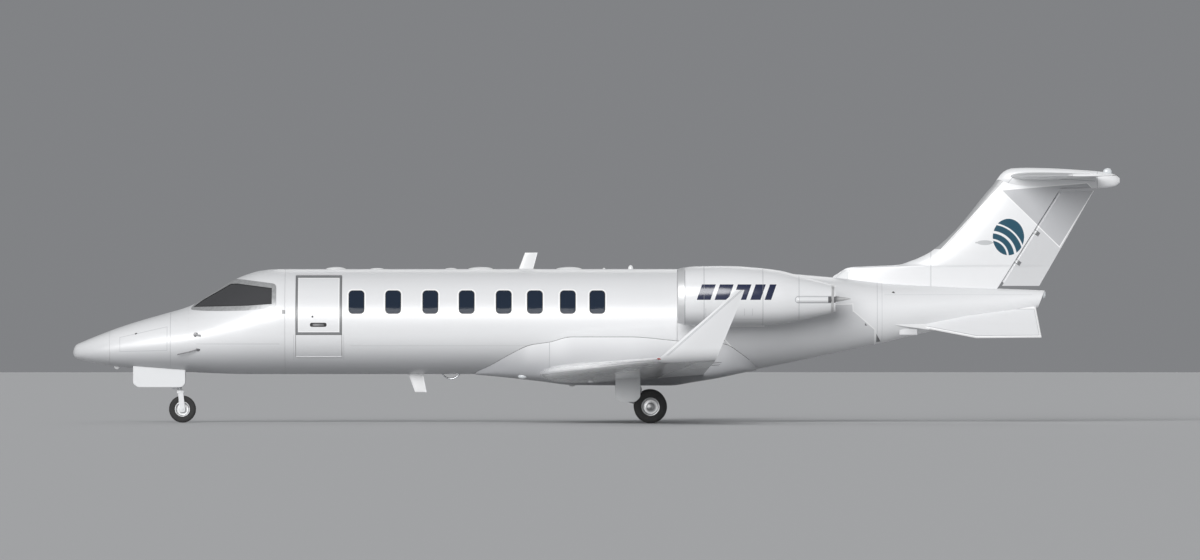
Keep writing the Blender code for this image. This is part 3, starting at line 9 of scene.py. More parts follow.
import bmesh
import bpy
import numpy as np
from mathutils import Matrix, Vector


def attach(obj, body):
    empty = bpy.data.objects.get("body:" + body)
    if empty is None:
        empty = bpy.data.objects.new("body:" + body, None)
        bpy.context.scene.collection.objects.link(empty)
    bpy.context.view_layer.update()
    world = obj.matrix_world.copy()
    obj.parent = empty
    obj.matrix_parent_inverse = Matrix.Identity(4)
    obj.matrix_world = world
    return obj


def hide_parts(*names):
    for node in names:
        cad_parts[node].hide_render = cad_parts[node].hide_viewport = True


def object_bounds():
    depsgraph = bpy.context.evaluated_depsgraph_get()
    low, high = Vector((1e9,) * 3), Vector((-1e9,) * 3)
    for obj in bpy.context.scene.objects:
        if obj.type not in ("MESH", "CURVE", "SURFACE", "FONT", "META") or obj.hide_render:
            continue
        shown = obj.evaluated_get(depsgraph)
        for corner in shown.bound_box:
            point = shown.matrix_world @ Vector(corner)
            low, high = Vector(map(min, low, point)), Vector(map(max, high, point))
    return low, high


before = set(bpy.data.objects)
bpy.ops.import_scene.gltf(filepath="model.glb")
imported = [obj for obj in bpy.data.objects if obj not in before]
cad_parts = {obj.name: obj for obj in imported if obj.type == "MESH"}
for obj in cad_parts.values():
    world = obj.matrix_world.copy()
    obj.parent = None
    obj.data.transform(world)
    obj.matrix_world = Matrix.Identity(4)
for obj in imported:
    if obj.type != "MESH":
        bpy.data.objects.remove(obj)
cad_low, cad_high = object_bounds()
LENGTH = cad_high.x - cad_low.x

# Camera: square on to the port side and far off through a long lens, so that the
# picture is close to a side elevation. The frame shows 20.27 m at the middle.
IMAGE_WIDTH = 1200
IMAGE_HEIGHT = 560
PIXELS_A_METRE = 59.2
NOSE_PIXEL = 73.0
GROUND_PIXEL = 422.6
LENS = 600.0
SENSOR = 36.0

view_station = (IMAGE_WIDTH / 2 - NOSE_PIXEL) / PIXELS_A_METRE
view_height = (GROUND_PIXEL - IMAGE_HEIGHT / 2) / PIXELS_A_METRE
view_distance = IMAGE_WIDTH / PIXELS_A_METRE * LENS / SENSOR
camera = bpy.data.objects.new("camera", bpy.data.cameras.new("camera"))
camera.data.lens = LENS
camera.data.sensor_width = SENSOR
camera.data.clip_start = view_distance * 0.5
camera.data.clip_end = view_distance * 4
camera.location = (view_station - LENGTH / 2, -view_distance, view_height)
camera.rotation_euler = (math.pi / 2, 0, 0)
bpy.context.scene.collection.objects.link(camera)
bpy.context.scene.camera = camera
bpy.context.scene.view_settings.view_transform = "Standard"

# Floor and light: a plain pale floor in an even pale room, a broad soft lamp from port and
# a little above, and a weaker one from starboard. Both are as wide as a cloudy sky's bright part.
FLOOR_RADIUS = 185.0
FLOOR_COLOUR = (0.60, 0.605, 0.61)
ROOM_COLOUR = (0.22, 0.225, 0.235)
LAMPS = (
    ("port_lamp", (-0.25, -1.0, 0.34), 34.0, 2.55),
    ("starboard_lamp", (0.35, 1.0, 0.60), 40.0, 0.50),
)

bpy.ops.mesh.primitive_circle_add(vertices=96, radius=FLOOR_RADIUS, fill_type="NGON")
floor = bpy.context.object
floor.name = "floor"
floor_paint = bpy.data.materials.new("floor_paint")
floor_paint.use_nodes = True
floor_paint.node_tree.nodes["Principled BSDF"].inputs["Base Color"].default_value = (*FLOOR_COLOUR, 1)
floor_paint.node_tree.nodes["Principled BSDF"].inputs["Roughness"].default_value = 0.9
floor.data.materials.append(floor_paint)

room = bpy.data.worlds.new("room")
room.use_nodes = True
room.node_tree.nodes["Background"].inputs["Color"].default_value = (*ROOM_COLOUR, 1)
bpy.context.scene.world = room
for lamp_name, towards_lamp, width, power in LAMPS:
    lamp = bpy.data.objects.new(lamp_name, bpy.data.lights.new(lamp_name, "SUN"))
    lamp.data.angle = math.radians(width)
    lamp.data.energy = power
    lamp.rotation_euler = Vector(towards_lamp).to_track_quat("Z", "Y").to_euler()
    bpy.context.scene.collection.objects.link(lamp)

# Paint: gloss white over aluminium skin and over composite, in a two-layer finish with a
# clear coat. Joints between panels are thin grey lines, with flat greys and badges over it.
# Painted shade darkens the paint towards the belly and on the fuselage below the engines.
WHITE = (0.80, 0.805, 0.815)
DUST = (0.62, 0.60, 0.57)
SEAM_GREY = (0.30, 0.31, 0.33)
SEAM_DEPTH = 0.004
# The first layer is painted shade that darkens the paint towards the belly.
PAINT_LAYERS = (
    # The third layer is flat grey paint on the tail, and painted shade on the fuselage below the engines.
    ("belly", (0.36, 0.365, 0.38)), ("pale", (0.62, 0.625, 0.635)), ("patch", (0.495, 0.50, 0.515)),
    ("border", (0.90, 0.90, 0.90)), ("strip", (0.215, 0.22, 0.225)), ("strip_light", (0.50, 0.51, 0.52)),
    ("metal", (0.78, 0.785, 0.79)), ("teal", (0.012, 0.075, 0.120)), ("navy", (0.016, 0.022, 0.060)),
    ("dark", (0.13, 0.13, 0.135)),
)
MATT_PATCH = 0.25
GLOSSY_BADGE = 0.27
ORANGE_PEEL = 0.00005
# Heights over which the painted shade towards the belly fades in.
BELLY_SHADE_FADE = (0.80, 1.50)


class Shade:
    """A socket of a material's nodes, so that sums are written as Python expressions."""

    def __init__(self, tree, socket=None):
        self.tree = tree
        self.socket = socket

    def node(self, kind, settings=(), inputs=(), output=0):
        """Add a node, give it its settings, and then the values or links of its sockets."""
        made = self.tree.nodes.new(kind)
        for name, value in dict(settings).items():
            setattr(made, name, value)
        for name, value in dict(inputs).items():
            if isinstance(value, Shade):
                self.tree.links.new(value.socket, made.inputs[name])
            else:
                made.inputs[name].default_value = value
        return Shade(self.tree, made.outputs[output])

    def maths(self, operation, *values):
        """A Math node's result from some values."""
        return self.node("ShaderNodeMath", {"operation": operation}, enumerate(values))

    def __add__(self, other):
        return self.maths("ADD", self, other)

    __radd__ = __add__

    def __mul__(self, other):
        return self.maths("MULTIPLY", self, other)

    __rmul__ = __mul__

    def __sub__(self, other):
        return self.maths("SUBTRACT", self, other)

    def __rsub__(self, other):
        return self.maths("SUBTRACT", other, self)

    def __truediv__(self, other):
        return self.maths("DIVIDE", self, other)

    def __pow__(self, other):
        return self.maths("POWER", self, other)

    def __gt__(self, other):
        return self.maths("GREATER_THAN", self, other)

    def __lt__(self, other):
        return self.maths("LESS_THAN", self, other)

    def __abs__(self):
        return self.maths("ABSOLUTE", self)

    def least(self, other):
        """The lesser of two values."""
        return self.maths("MINIMUM", self, other)

    def most(self, other):
        """The greater of two values."""
        return self.maths("MAXIMUM", self, other)

    def bump(self, strength):
        """The normal of a surface that this height raises, in metres."""
        return self.node("ShaderNodeBump", inputs={"Strength": strength, "Distance": 1.0, "Height": self})

    def step(self, low, high):
        """0 below low, 1 above high, and smooth between."""
        settings = {"interpolation_type": "SMOOTHSTEP"}
        return self.node("ShaderNodeMapRange", settings, {"Value": self, "From Min": low, "From Max": high})

    def over(self, below, above):
        """Two colours mixed by this mask."""
        pair = {0: self}
        for place, colour in ((6, below), (7, above)):
            pair[place] = colour if isinstance(colour, Shade) else (*colour, 1)
        return self.node("ShaderNodeMix", {"data_type": "RGBA"}, pair, 2)


def begin(name, colour, roughness, metallic=0.0, coat=0.0, alpha=1.0):
    """A Principled material, and the x, y, z and whole vector of Object coordinates in it."""
    material = bpy.data.materials.new(name)
    material.use_nodes = True
    shader = material.node_tree.nodes["Principled BSDF"]
    shader.inputs["Base Color"].default_value = (*colour, 1)
    shader.inputs["Roughness"].default_value = roughness
    shader.inputs["Metallic"].default_value = metallic
    shader.inputs["Coat Weight"].default_value = coat
    shader.inputs["Coat Roughness"].default_value = 0.22
    shader.inputs["Alpha"].default_value = alpha
    start = Shade(material.node_tree)
    place = start.node("ShaderNodeTexCoord", output=3)
    axes = [start.node("ShaderNodeSeparateXYZ", inputs={0: place}, output=i) for i in range(3)]
    return material, shader, axes, place


def feed(shader, material, **links):
    """Link finished values to the shader's varying sockets."""
    for name, value in links.items():
        material.node_tree.links.new(value.socket, shader.inputs[name.replace("_", " ")])


def noise(place, scale, detail=3.0, stretch=(1, 1, 1)):
    """Cloudy noise from 0 to 1, which may be stretched along an axis."""
    moved = place.node("ShaderNodeMapping", inputs={"Vector": place, "Scale": stretch})
    return place.node("ShaderNodeTexNoise", inputs={"Vector": moved, "Scale": scale, "Detail": detail})


def groove(value, at, half):
    """1 within half a width of a place, and 0 away from it."""
    return 1 - abs(value - at).step(half * 0.6, half)


def between(value, low, high):
    """1 between two places."""
    return (value > low) * (value < high)


def highest(masks):
    """The greatest of several masks."""
    return functools.reduce(Shade.most, masks)


def depth_in(points, across, up):
    """How far a point lies inside a convex outline: the least distance to its edges."""
    area = sum(a[0] * b[1] - b[0] * a[1] for a, b in zip(points, points[1:] + points[:1]))
    side = 1 if area > 0 else -1
    result = None
    for (x0, y0), (x1, y1) in zip(points, points[1:] + points[:1]):
        run = math.hypot(x1 - x0, y1 - y0)
        normal = (-(y1 - y0) / run * side, (x1 - x0) / run * side)
        offset = x0 * normal[0] + y0 * normal[1]
        distance = across * normal[0] + up * normal[1] - offset
        result = distance if result is None else result.least(distance)
    return result


def paint(name, marks=None, colour=WHITE, gloss=0.34, coat=0.5):
    """Gloss paint with soft dust, orange peel and what marks adds.

    marks takes the station, across and height, and returns masks: seam, and any of
    the names in PAINT_LAYERS, which lie over one another in that order.
    """
    material, shader, (x, y, z), place = begin(name, colour, gloss, coat=coat)
    masks = marks(x + LENGTH / 2, y, z) if marks else {}
    cloud = noise(place, 1.1, 4.0, (0.4, 1, 1.6))
    streak = noise(place, 5.0, 3.0, (0.12, 1, 2.2))
    grime = (cloud * streak).step(0.20, 0.42) * 0.05
    shown = grime.over(colour, DUST)
    rough = gloss + streak * 0.10
    if "patch" in masks:
        rough = rough + masks["patch"] * MATT_PATCH
    for mask in ("teal", "navy"):
        if mask in masks:
            rough = rough - masks[mask] * GLOSSY_BADGE
    for mask, sheet in PAINT_LAYERS:
        if mask in masks:
            shown = masks[mask].over(shown, sheet)
    if "metal" in masks:
        feed(shader, material, Metallic=masks["metal"] * 0.45)
    height = noise(place, 90.0, 2.0) * ORANGE_PEEL
    if "seam" in masks:
        shown = (masks["seam"] * 0.75).over(shown, SEAM_GREY)
        height = height - masks["seam"] * SEAM_DEPTH
    feed(shader, material, Base_Color=shown, Roughness=rough, Normal=height.bump(0.6))
    return material


def belly(height, fade=BELLY_SHADE_FADE):
    """Painted shade: the paint darkens softly towards the belly, where less light falls."""
    return 1 - height.step(*fade)


# Fuselage: five skins on frames, from the composite radome to the tail cone. Each is a ring
# of aluminium sheet, made as one smooth surface whose sections are half ellipses.
RADOME_END = 0.625
NOSE_END = 1.96
COCKPIT_END = 3.588
CABIN_END = 10.20
TAIL_END = 16.35
TAIL_END_RAKE = 0.39
WALL = 0.09
LINING = 0.012
TAIL_WALL = 0.05
SEAT = 0.0003
CLEARANCE = 0.006
HULL_SIDES = 112
CROWN_LINE = (
    (0.0, 1.190), (0.02, 1.262), (0.051, 1.311), (0.152, 1.361), (0.355, 1.446),
    (0.66, 1.564), (1.06, 1.699), (1.47, 1.818), (1.976, 1.970), (2.28, 2.139),
    (2.686, 2.392), (2.89, 2.485), (3.19, 2.570), (3.50, 2.595), (10.20, 2.595),
    (11.5, 2.56), (12.3, 2.50), (13.11, 2.426), (13.82, 2.350), (14.49, 2.316), (16.41, 2.230),
)
KEEL_LINE = (
    (0.0, 1.190), (0.02, 1.118), (0.051, 1.091), (0.152, 1.057), (0.456, 0.990),
    (0.963, 0.922), (1.47, 0.889), (1.976, 0.855), (2.28, 0.838), (3.0, 0.820), (10.20, 0.820),
    (11.3, 0.868), (11.9, 0.973), (12.62, 1.125), (13.43, 1.294), (14.14, 1.463),
    (14.44, 1.530), (15.4, 1.745), (16.41, 1.950),
)
WIDTH_LINE = (
    (0.0, 0.0), (0.02, 0.070), (0.051, 0.115), (0.152, 0.190), (0.456, 0.325),
    (0.963, 0.455), (1.47, 0.560), (1.976, 0.650), (2.5, 0.740), (3.0, 0.820), (3.5, 0.875),
    (10.20, 0.875), (11.3, 0.845), (12.3, 0.740), (13.1, 0.610), (13.8, 0.490),
    (14.5, 0.385), (15.4, 0.245), (16.41, 0.100),
)
BELT_LINE = (
    (0.0, 1.190), (0.456, 1.205), (0.963, 1.260), (1.976, 1.385), (2.7, 1.530),
    (3.5, 1.7075), (10.20, 1.7075), (11.3, 1.730), (12.3, 1.800), (13.1, 1.845),
    (13.8, 1.880), (14.5, 1.925), (16.41, 2.085),
)
CROWN_SHARPNESS_LINE = (
    (0.0, 2.0), (1.3, 2.0), (1.976, 1.55), (2.3, 1.35), (2.7, 1.45), (3.2, 1.9), (3.5, 2.0),
    (16.41, 2.0),
)


def line(points):
    """A smooth function through points, with no overshoot.

    It is a cubic through each pair, whose slopes are the weighted harmonic means
    of the slopes beside them, and zero where the line turns.
    """
    places, values = np.array(points, float).T
    steps = np.diff(places)
    rises = np.diff(values) / steps
    before = 2 * steps[1:] + steps[:-1]
    after = steps[1:] + 2 * steps[:-1]
    same_way = rises[:-1] * rises[1:] > 0
    safe = [np.where(same_way, rise, 1.0) for rise in (rises[:-1], rises[1:])]
    inner = np.where(same_way, (before + after) / (before / safe[0] + after / safe[1]), 0.0)
    slopes = np.concatenate((rises[:1], inner, rises[-1:]))

    def value(place):
        place = np.clip(place, places[0], places[-1])
        i = np.clip(np.searchsorted(places, place, side="right") - 1, 0, len(steps) - 1)
        t = (place - places[i]) / steps[i]
        return (
            (1 + 2 * t) * (1 - t) ** 2 * values[i]
            + t * (1 - t) ** 2 * steps[i] * slopes[i]
            + t * t * (3 - 2 * t) * values[i + 1]
            - t * t * (1 - t) * steps[i] * slopes[i + 1]
        )

    return value


crown = line(CROWN_LINE)
keel = line(KEEL_LINE)
half_width = line(WIDTH_LINE)
belt = line(BELT_LINE)
crown_sharpness = line(CROWN_SHARPNESS_LINE)
hull_angles = np.arange(HULL_SIDES) * 2 * math.pi / HULL_SIDES


def hull(stations, inset=0.0, rake=0.0):
    """Rings of the fuselage, some depth below its skin.

    Across is the half width times cosine to the power 2 / sharpness above the belt,
    and times cosine below it. Up is sine times the reach to the crown or the keel.
    """
    station = np.asarray(stations, float)[:, None]
    middle = belt(station)
    cosine, sine = np.cos(hull_angles), np.sin(hull_angles)
    power = np.where(sine > 1e-9, 2 / crown_sharpness(station), 1.0)
    reach = np.where(sine > 0, crown(station) - inset - middle, middle - keel(station) - inset)
    across = np.maximum(half_width(station) - inset, 0.001) * np.sign(cosine) * np.abs(cosine) ** power
    up = sine * np.maximum(reach, 0.001)
    return np.stack((station + rake * up, across, middle + up), axis=-1)


def hull_half_width(station, height):
    """Half the width of the fuselage at a height."""
    middle = belt(station)
    reach = np.where(height > middle, crown(station) - middle, middle - keel(station))
    return half_width(station) * np.sqrt(np.maximum(1 - ((height - middle) / reach) ** 2, 0.0))


def skin(name, rings, ends="capped"):
    """A closed mesh over rings of points, with a face on each end or its ends joined.

    Each point is a station, across and height. The mesh's origin is at half the length.
    """
    rings = np.asarray(rings, float)
    index = np.arange(rings.shape[0] * rings.shape[1]).reshape(rings.shape[:2])
    beside = np.roll(index, -1, axis=1)
    if ends == "joined":
        corners = (index, beside, np.roll(beside, -1, axis=0), np.roll(index, -1, axis=0))
    else:
        corners = (index[:-1], beside[:-1], beside[1:], index[1:])
    faces = np.stack(corners, axis=-1).reshape(-1, 4).tolist()
    if ends == "capped":
        faces += [index[0][::-1].tolist(), index[-1].tolist()]
    mesh = bpy.data.meshes.new(name)
    mesh.from_pydata(rings.reshape(-1, 3) - (LENGTH / 2, 0, 0), [], faces)
    bm = bmesh.new()
    bm.from_mesh(mesh)
    bmesh.ops.recalc_face_normals(bm, faces=bm.faces)
    bm.to_mesh(mesh)
    bm.free()
    thing = bpy.data.objects.new(name, mesh)
    bpy.context.scene.collection.objects.link(thing)
    return thing


def side_view(outline, low, high):
    """An outline of station and height, as two rings that run across the aeroplane."""
    station, height = np.asarray(outline, float).T
    return [np.stack((station, np.full(len(station), across), height), axis=-1) for across in (low, high)]


def plan_view(outline, low, high):
    """An outline of station and across, as two level rings."""
    station, across = np.asarray(outline, float).T
    return [np.stack((station, across, np.full(len(station), height)), axis=-1) for height in (low, high)]


def rectangle(first, last, low, high):
    """The corners of a rectangle in one view."""
    return [(first, low), (last, low), (last, high), (first, high)]


def shape(thing, operation, *others):
    """Cut, join or intersect a mesh with others, which are used up."""
    for other in others:
        boolean = thing.modifiers.new(other.name, "BOOLEAN")
        boolean.operation = operation
        boolean.object = other
        boolean.solver = "EXACT"
    evaluated = thing.evaluated_get(bpy.context.evaluated_depsgraph_get())
    shaped = bpy.data.meshes.new_from_object(evaluated)
    thing.modifiers.clear()
    thing.data = shaped
    for other in others:
        bpy.data.objects.remove(other)
    return thing


def place_piece(thing, finish, replaced=(), body="airframe", sharp=28.0):
    """Give a finished mesh its material and smooth shading, and tie it to the frame."""
    thing.data.materials.clear()
    thing.data.materials.append(finish)
    thing.data.polygons.foreach_set("material_index", np.zeros(len(thing.data.polygons), np.int32))
    thing.data.shade_smooth()
    thing.data.set_sharp_from_angle(angle=math.radians(sharp))
    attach(thing, body)
    if replaced:
        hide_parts(*replaced)
    return thing


def spread(low, high, count):
    """Stations evenly spread between two places."""
    return np.linspace(low, high, count)


def tube_rings(stations, outer, inner):
    """Rings out along one depth of the hull and back along another, for a closed wall."""
    return np.concatenate((hull(stations, outer), hull(stations[::-1], inner)))


NOSE_HATCH = [(0.80, 1.20), (1.60, 1.22), (1.60, 1.62), (0.80, 1.44)]
NOSE_RING = 1.655
WELL_REACH = (1.00, 1.92)
WELL_HALF = 0.19
WELL_TOP = 1.26
WELL_DARK = 0.96
AFT_RINGS = (13.58, 13.66)
AFT_JOINT = 2.16
# Outlines of flat grey painted shade on the fuselage below each engine.
AFT_SHADE_PATCHES = (
    [(11.007, 1.404), (11.06, 1.632), (11.70, 1.632), (11.70, 0.65)],
    [(11.665, 1.715), (12.81, 1.867), (13.18, 1.885), (13.54, 1.573), (13.54, 0.90), (11.665, 0.70)],
    [(12.81, 1.70), (12.81, 1.992), (13.165, 2.007), (13.18, 1.70)],
)
AFT_VENTS = (
    [(10.955, 1.43), (11.0, 1.475), (11.0, 1.375)], [(13.37, 1.685), (13.37, 1.64), (13.41, 1.64)],
    [(13.565, 1.50), (13.565, 1.36), (13.64, 1.37)],
)


def belly_shade_marks(station, across, height):
    """Plain paint, with painted shade that darkens it towards the belly."""
    return {"belly": belly(height)}


def nose_marks(station, across, height):
    """Joints of the nose: an equipment hatch on each side and a ring at its middle, and painted shade towards
    the belly.
    """
    hatch = 1 - abs(depth_in(NOSE_HATCH, station, height)).step(0.003, 0.006)
    well = between(station, WELL_REACH[0] - 0.001, WELL_REACH[1] + 0.001) * (abs(across) < WELL_HALF + 0.001)
    well = well * between(height, WELL_DARK, WELL_TOP + 0.002)
    seams = (hatch * 0.5).most(groove(station, NOSE_RING, 0.006) * 0.6) * (1 - well)
    return {"seam": seams, "dark": well, "belly": belly(height)}


def aft_marks(station, across, height):
    """Joints and small vents of the rear fuselage, flat grey painted shade below the engines, and painted
    shade towards the belly.
    """
    rings = groove(station, AFT_RINGS[0], 0.006).most(groove(station, AFT_RINGS[1], 0.004)) * 0.55
    long_joint = groove(height, AFT_JOINT, 0.004) * between(station, 13.7, 16.2) * 0.4
    patch, vents = (
        highest(depth_in(outline, station, height) for outline in outlines)
        for outlines in (AFT_SHADE_PATCHES, AFT_VENTS)
    )
    return {
        "seam": rings.most(long_joint),
        # Flat grey painted shade below the engines, at half strength.
        "patch": (patch > 0.0) * 0.5,
        "border": 1 - abs(patch).step(0.006, 0.012),
        "dark": vents > 0.0,
        "belly": belly(height),
    }


radome_stations = RADOME_END * np.sin(spread(0, math.pi / 2, 24)) ** 2.2
radome_skin = skin("radome_skin", hull(radome_stations))
composite_white = paint("radome_paint", belly_shade_marks, gloss=0.26)
place_piece(radome_skin, composite_white, ["radome"])
nose_skin = skin("nose_skin", hull(spread(RADOME_END + 0.002, NOSE_END, 22)))
well_plan = rectangle(*WELL_REACH, -WELL_HALF, WELL_HALF)
shape(nose_skin, "DIFFERENCE", skin("nose_bay", plan_view(well_plan, 0.5, WELL_TOP)))

COCKPIT_STATIONS = spread(NOSE_END + 0.0005, COCKPIT_END, 26)
cockpit_skin = skin("cockpit_skin", tube_rings(COCKPIT_STATIONS, 0, WALL), "joined")
CABIN_STATIONS = spread(COCKPIT_END + 0.002, CABIN_END, 20)
cabin_rings = (
    hull(CABIN_STATIONS[::-1]), hull(CABIN_STATIONS, WALL - LINING)[:-1],
    hull([CABIN_END - WALL], WALL - LINING),
)
cabin_skin = skin("cabin_skin", np.concatenate(cabin_rings))
AFT_STATIONS = np.concatenate((spread(CABIN_END + 0.005, 13.4, 26), spread(13.55, 15.9, 16)))
aft_rings = (
    hull([TAIL_END], 0, TAIL_END_RAKE), hull(AFT_STATIONS[::-1]), hull(AFT_STATIONS[:-6], TAIL_WALL),
)
aft_skin = skin("aft_skin", np.concatenate(aft_rings))
place_piece(aft_skin, paint("aft_paint", aft_marks), ["aft_fuselage"])
place_piece(nose_skin, paint("nose_paint", nose_marks), ["nose_section"])

# Cockpit: a composite shell over frames. A dark laminated pane on each side lies in a raised
# frame of light-grey metal, bedded in black sealant. The inside is lined with grey vinyl.
SIDES = ((-1, "left"), (1, "right"))
BEYOND = 1.2
GLASS_THICKNESS = 0.022
GLASS_INSET = 0.004
CENTRE_POST_HALF = 0.045
FRAME_OUTLINE = (
    (1.968, 1.910), (2.16, 2.11), (2.64, 2.420), (2.80, 2.428), (3.445, 2.345), (3.445, 1.950),
    (2.95, 1.895), (2.55, 1.885), (2.20, 1.890),
)
SEALANT_WIDTH = 0.012
WINDSHIELD = (
    (2.04, 1.955), (2.20, 2.075), (2.67, 2.345), (2.78, 2.350), (3.37, 2.272),
    (3.37, 2.005), (2.95, 1.975), (2.55, 1.965),
)


def inset_outline(outline, distance):
    """A closed outline with each edge moved inwards by a distance."""
    points = np.asarray(outline, float)
    following = np.roll(points, -1, axis=0)
    area = np.sum(points[:, 0] * following[:, 1] - following[:, 0] * points[:, 1])
    steps = (following - points) / np.linalg.norm(following - points, axis=1, keepdims=True)
    normals = np.stack((-steps[:, 1], steps[:, 0]), axis=1) * np.sign(area)
    bisectors = normals + np.roll(normals, 1, axis=0)
    return points + bisectors * 2 * distance / np.sum(bisectors**2, axis=1, keepdims=True)


def rounded(outline, radius, points=6):
    """An outline with each corner rounded by a parabola that leaves its edges smoothly."""
    corners = np.asarray(outline, float)
    result = []
    for before, corner, after in zip(np.roll(corners, 1, axis=0), corners, np.roll(corners, -1, axis=0)):
        start, end = (
            corner + (other - corner) * min(radius / np.linalg.norm(other - corner), 0.45)
            for other in (before, after)
        )
        for t in spread(0, 1, points):
            result.append((1 - t) ** 2 * start + 2 * t * (1 - t) * corner + t * t * end)
    return np.array(result)


def slab(name, outline, low, high, view=side_view):
    """A flat outline with a thickness."""
    return skin(name, view(outline, low, high))


def ring_slab(name, outer, inner, low, high, view=side_view):
    """A slab with a hole of another outline."""
    hole = slab(f"{name}_hole", inner, low - np.sign(high) * 0.1, high + np.sign(high) * 0.1, view)
    return shape(slab(name, outer, low, high, view), "DIFFERENCE", hole)


def layer(name, stations, outer, inner):
    """A tube between two depths below the skin."""
    return skin(name, tube_rings(stations, outer, inner), "joined")


def inlay(name, stations, outer, inner, region):
    """The part of such a tube that lies within a region."""
    return shape(layer(name, stations, outer, inner), "INTERSECT", region)


def merged(name, things):
    """Several meshes as one, each still closed by itself."""
    bm = bmesh.new()
    for thing in things:
        bm.from_mesh(thing.data)
        bpy.data.objects.remove(thing)
    mesh = bpy.data.meshes.new(name)
    bm.to_mesh(mesh)
    bm.free()
    made = bpy.data.objects.new(name, mesh)
    bpy.context.scene.collection.objects.link(made)
    return made


def stuff(name, dark, light, roughness, metallic=0.0, scale=12.0, stretch=(1, 1, 1), bump=0.0006, coat=0.0):
    """A material that varies softly between two colours, with a fine grain."""
    material, shader, _, place = begin(name, light, roughness, metallic, coat)
    cloud = noise(place, scale, 4.0, stretch)
    grain = noise(place, scale * 12, 2.0, stretch)
    feed(
        shader, material, Base_Color=cloud.step(0.25, 0.75).over(dark, light),
        Roughness=roughness + cloud * 0.12 - 0.06, Normal=(grain * bump).bump(0.5),
    )
    return material


def glass(name, colour, alpha):
    """Tinted glass that lets a little of the inside through, with faint smears."""
    material, shader, _, place = begin(name, colour, 0.06, alpha=alpha)
    shader.inputs["Specular IOR Level"].default_value = 0.12
    smear = noise(place, 2.5, 3.0, (1, 1, 0.4))
    feed(shader, material, Roughness=0.04 + smear * 0.05)
    return material


frame_metal = stuff("window_frame_metal", (0.40, 0.405, 0.41), (0.50, 0.505, 0.51), 0.36, 0.35, 20.0)
handle_metal = stuff("handle_metal", (0.13, 0.13, 0.135), (0.19, 0.19, 0.195), 0.42, 0.3, 20.0)
sealant = stuff("sealant", (0.014, 0.014, 0.015), (0.022, 0.022, 0.023), 0.62)
cockpit_glass = glass("cockpit_glass", (0.075, 0.076, 0.080), 0.88)
for side, label in SIDES:
    cut_low, cut_high = side * CENTRE_POST_HALF, side * BEYOND
    shape(cockpit_skin, "DIFFERENCE", slab("opening", WINDSHIELD, cut_low, cut_high))
    pane_slab = slab("pane_slab", inset_outline(WINDSHIELD, SEAT), cut_low + side * SEAT, cut_high)
    pane = inlay(
        f"windshield_glass_{label}", COCKPIT_STATIONS, GLASS_INSET, GLASS_INSET + GLASS_THICKNESS, pane_slab,
    )
    place_piece(pane, cockpit_glass, [f"windshield_{label}"])
    seal_inside = inset_outline(WINDSHIELD, SEALANT_WIDTH)
    seal_slab = ring_slab("seal_slab", WINDSHIELD, seal_inside, cut_low, cut_high)
    seal = inlay(f"windshield_seal_{label}", COCKPIT_STATIONS, 0.0015, GLASS_INSET + 0.002, seal_slab)
    place_piece(seal, sealant)
    frame_low = side * (CENTRE_POST_HALF - 0.030)
    frame_slab = ring_slab("frame_slab", rounded(FRAME_OUTLINE, 0.07), WINDSHIELD, frame_low, cut_high)
    window_frame = inlay(f"windshield_frame_{label}", COCKPIT_STATIONS, -0.003, 0.012, frame_slab)
    place_piece(window_frame, frame_metal)


def joint_port(station, height):
    """A small dark port that lies across the joint behind the cockpit."""
    return between(station, 3.546, 3.600) * between(height, 1.838, 1.906)


def cockpit_marks(station, across, height):
    """Joints of the cockpit shell: a ring at its rear and one along each side, and painted shade towards the
    belly.
    """
    seam = groove(height, 1.33, 0.004) * between(station, 2.1, 3.5) * 0.6
    return {"seam": seam, "strip": joint_port(station, height), "belly": belly(height)}


cockpit_paint = paint("cockpit_paint", cockpit_marks)
place_piece(cockpit_skin, cockpit_paint, ["cockpit_shell"])

# Cabin windows: an opening for each, a flush dark pane in a black rubber seal, a bright raised
# ring outside and a cream trim ring inside.
WINDOW_STATIONS = (4.798, 5.416, 6.043, 6.655, 7.280, 7.805, 8.360, 8.857)
WINDOW_HEIGHT_ABOVE_GROUND = 2.037
WINDOW_WIDTH = 0.268
WINDOW_HEIGHT = 0.395
WINDOW_CORNER = 0.07
PANE_INSET = 0.003
SURROUND_WIDTH = 0.026
ROW_STATIONS = (WINDOW_STATIONS[0] - 0.22, WINDOW_STATIONS[-1] + 0.22)
TRIM_INSIDE = WALL + 0.008
WINDOW_LAYERS = (
    ("panes", PANE_INSET, PANE_INSET + 0.012, -0.010, None),
    ("seals", 0.0015, 0.018, -SEAT, -0.011),
    ("surrounds", -0.0025, 0.010, SURROUND_WIDTH, 0.0),
    ("trims", 0.024, TRIM_INSIDE, -SEAT, -0.012),
    ("trim_rings", WALL + 0.0005, TRIM_INSIDE, 0.034, -0.006),
)


def rounded_rectangle(centre, size, radius, points=8):
    """The outline of a rectangle with round corners."""
    outline = []
    for corner, (side_a, side_b) in enumerate(((1, 1), (-1, 1), (-1, -1), (1, -1))):
        for angle in math.pi / 2 * (corner + spread(0, 1, points)):
            outline.append((
                centre[0] + side_a * (size[0] / 2 - radius) + radius * math.cos(angle),
                centre[1] + side_b * (size[1] / 2 - radius) + radius * math.sin(angle),
            ))
    return outline


def window_row(name, grow, side, inner=None):
    """Slabs of one side's windows, grown all round, each with a hole if inner is given."""
    slabs = []
    for station in WINDOW_STATIONS:
        outlines = [
            rounded_rectangle(
                (station, WINDOW_HEIGHT_ABOVE_GROUND),
                (WINDOW_WIDTH + 2 * more, WINDOW_HEIGHT + 2 * more), WINDOW_CORNER + more,
            )
            for more in (grow, inner) if more is not None
        ]
        make = slab if inner is None else ring_slab
        slabs.append(make(name, *outlines, side * 0.3, side * BEYOND))
    return merged(name, slabs)


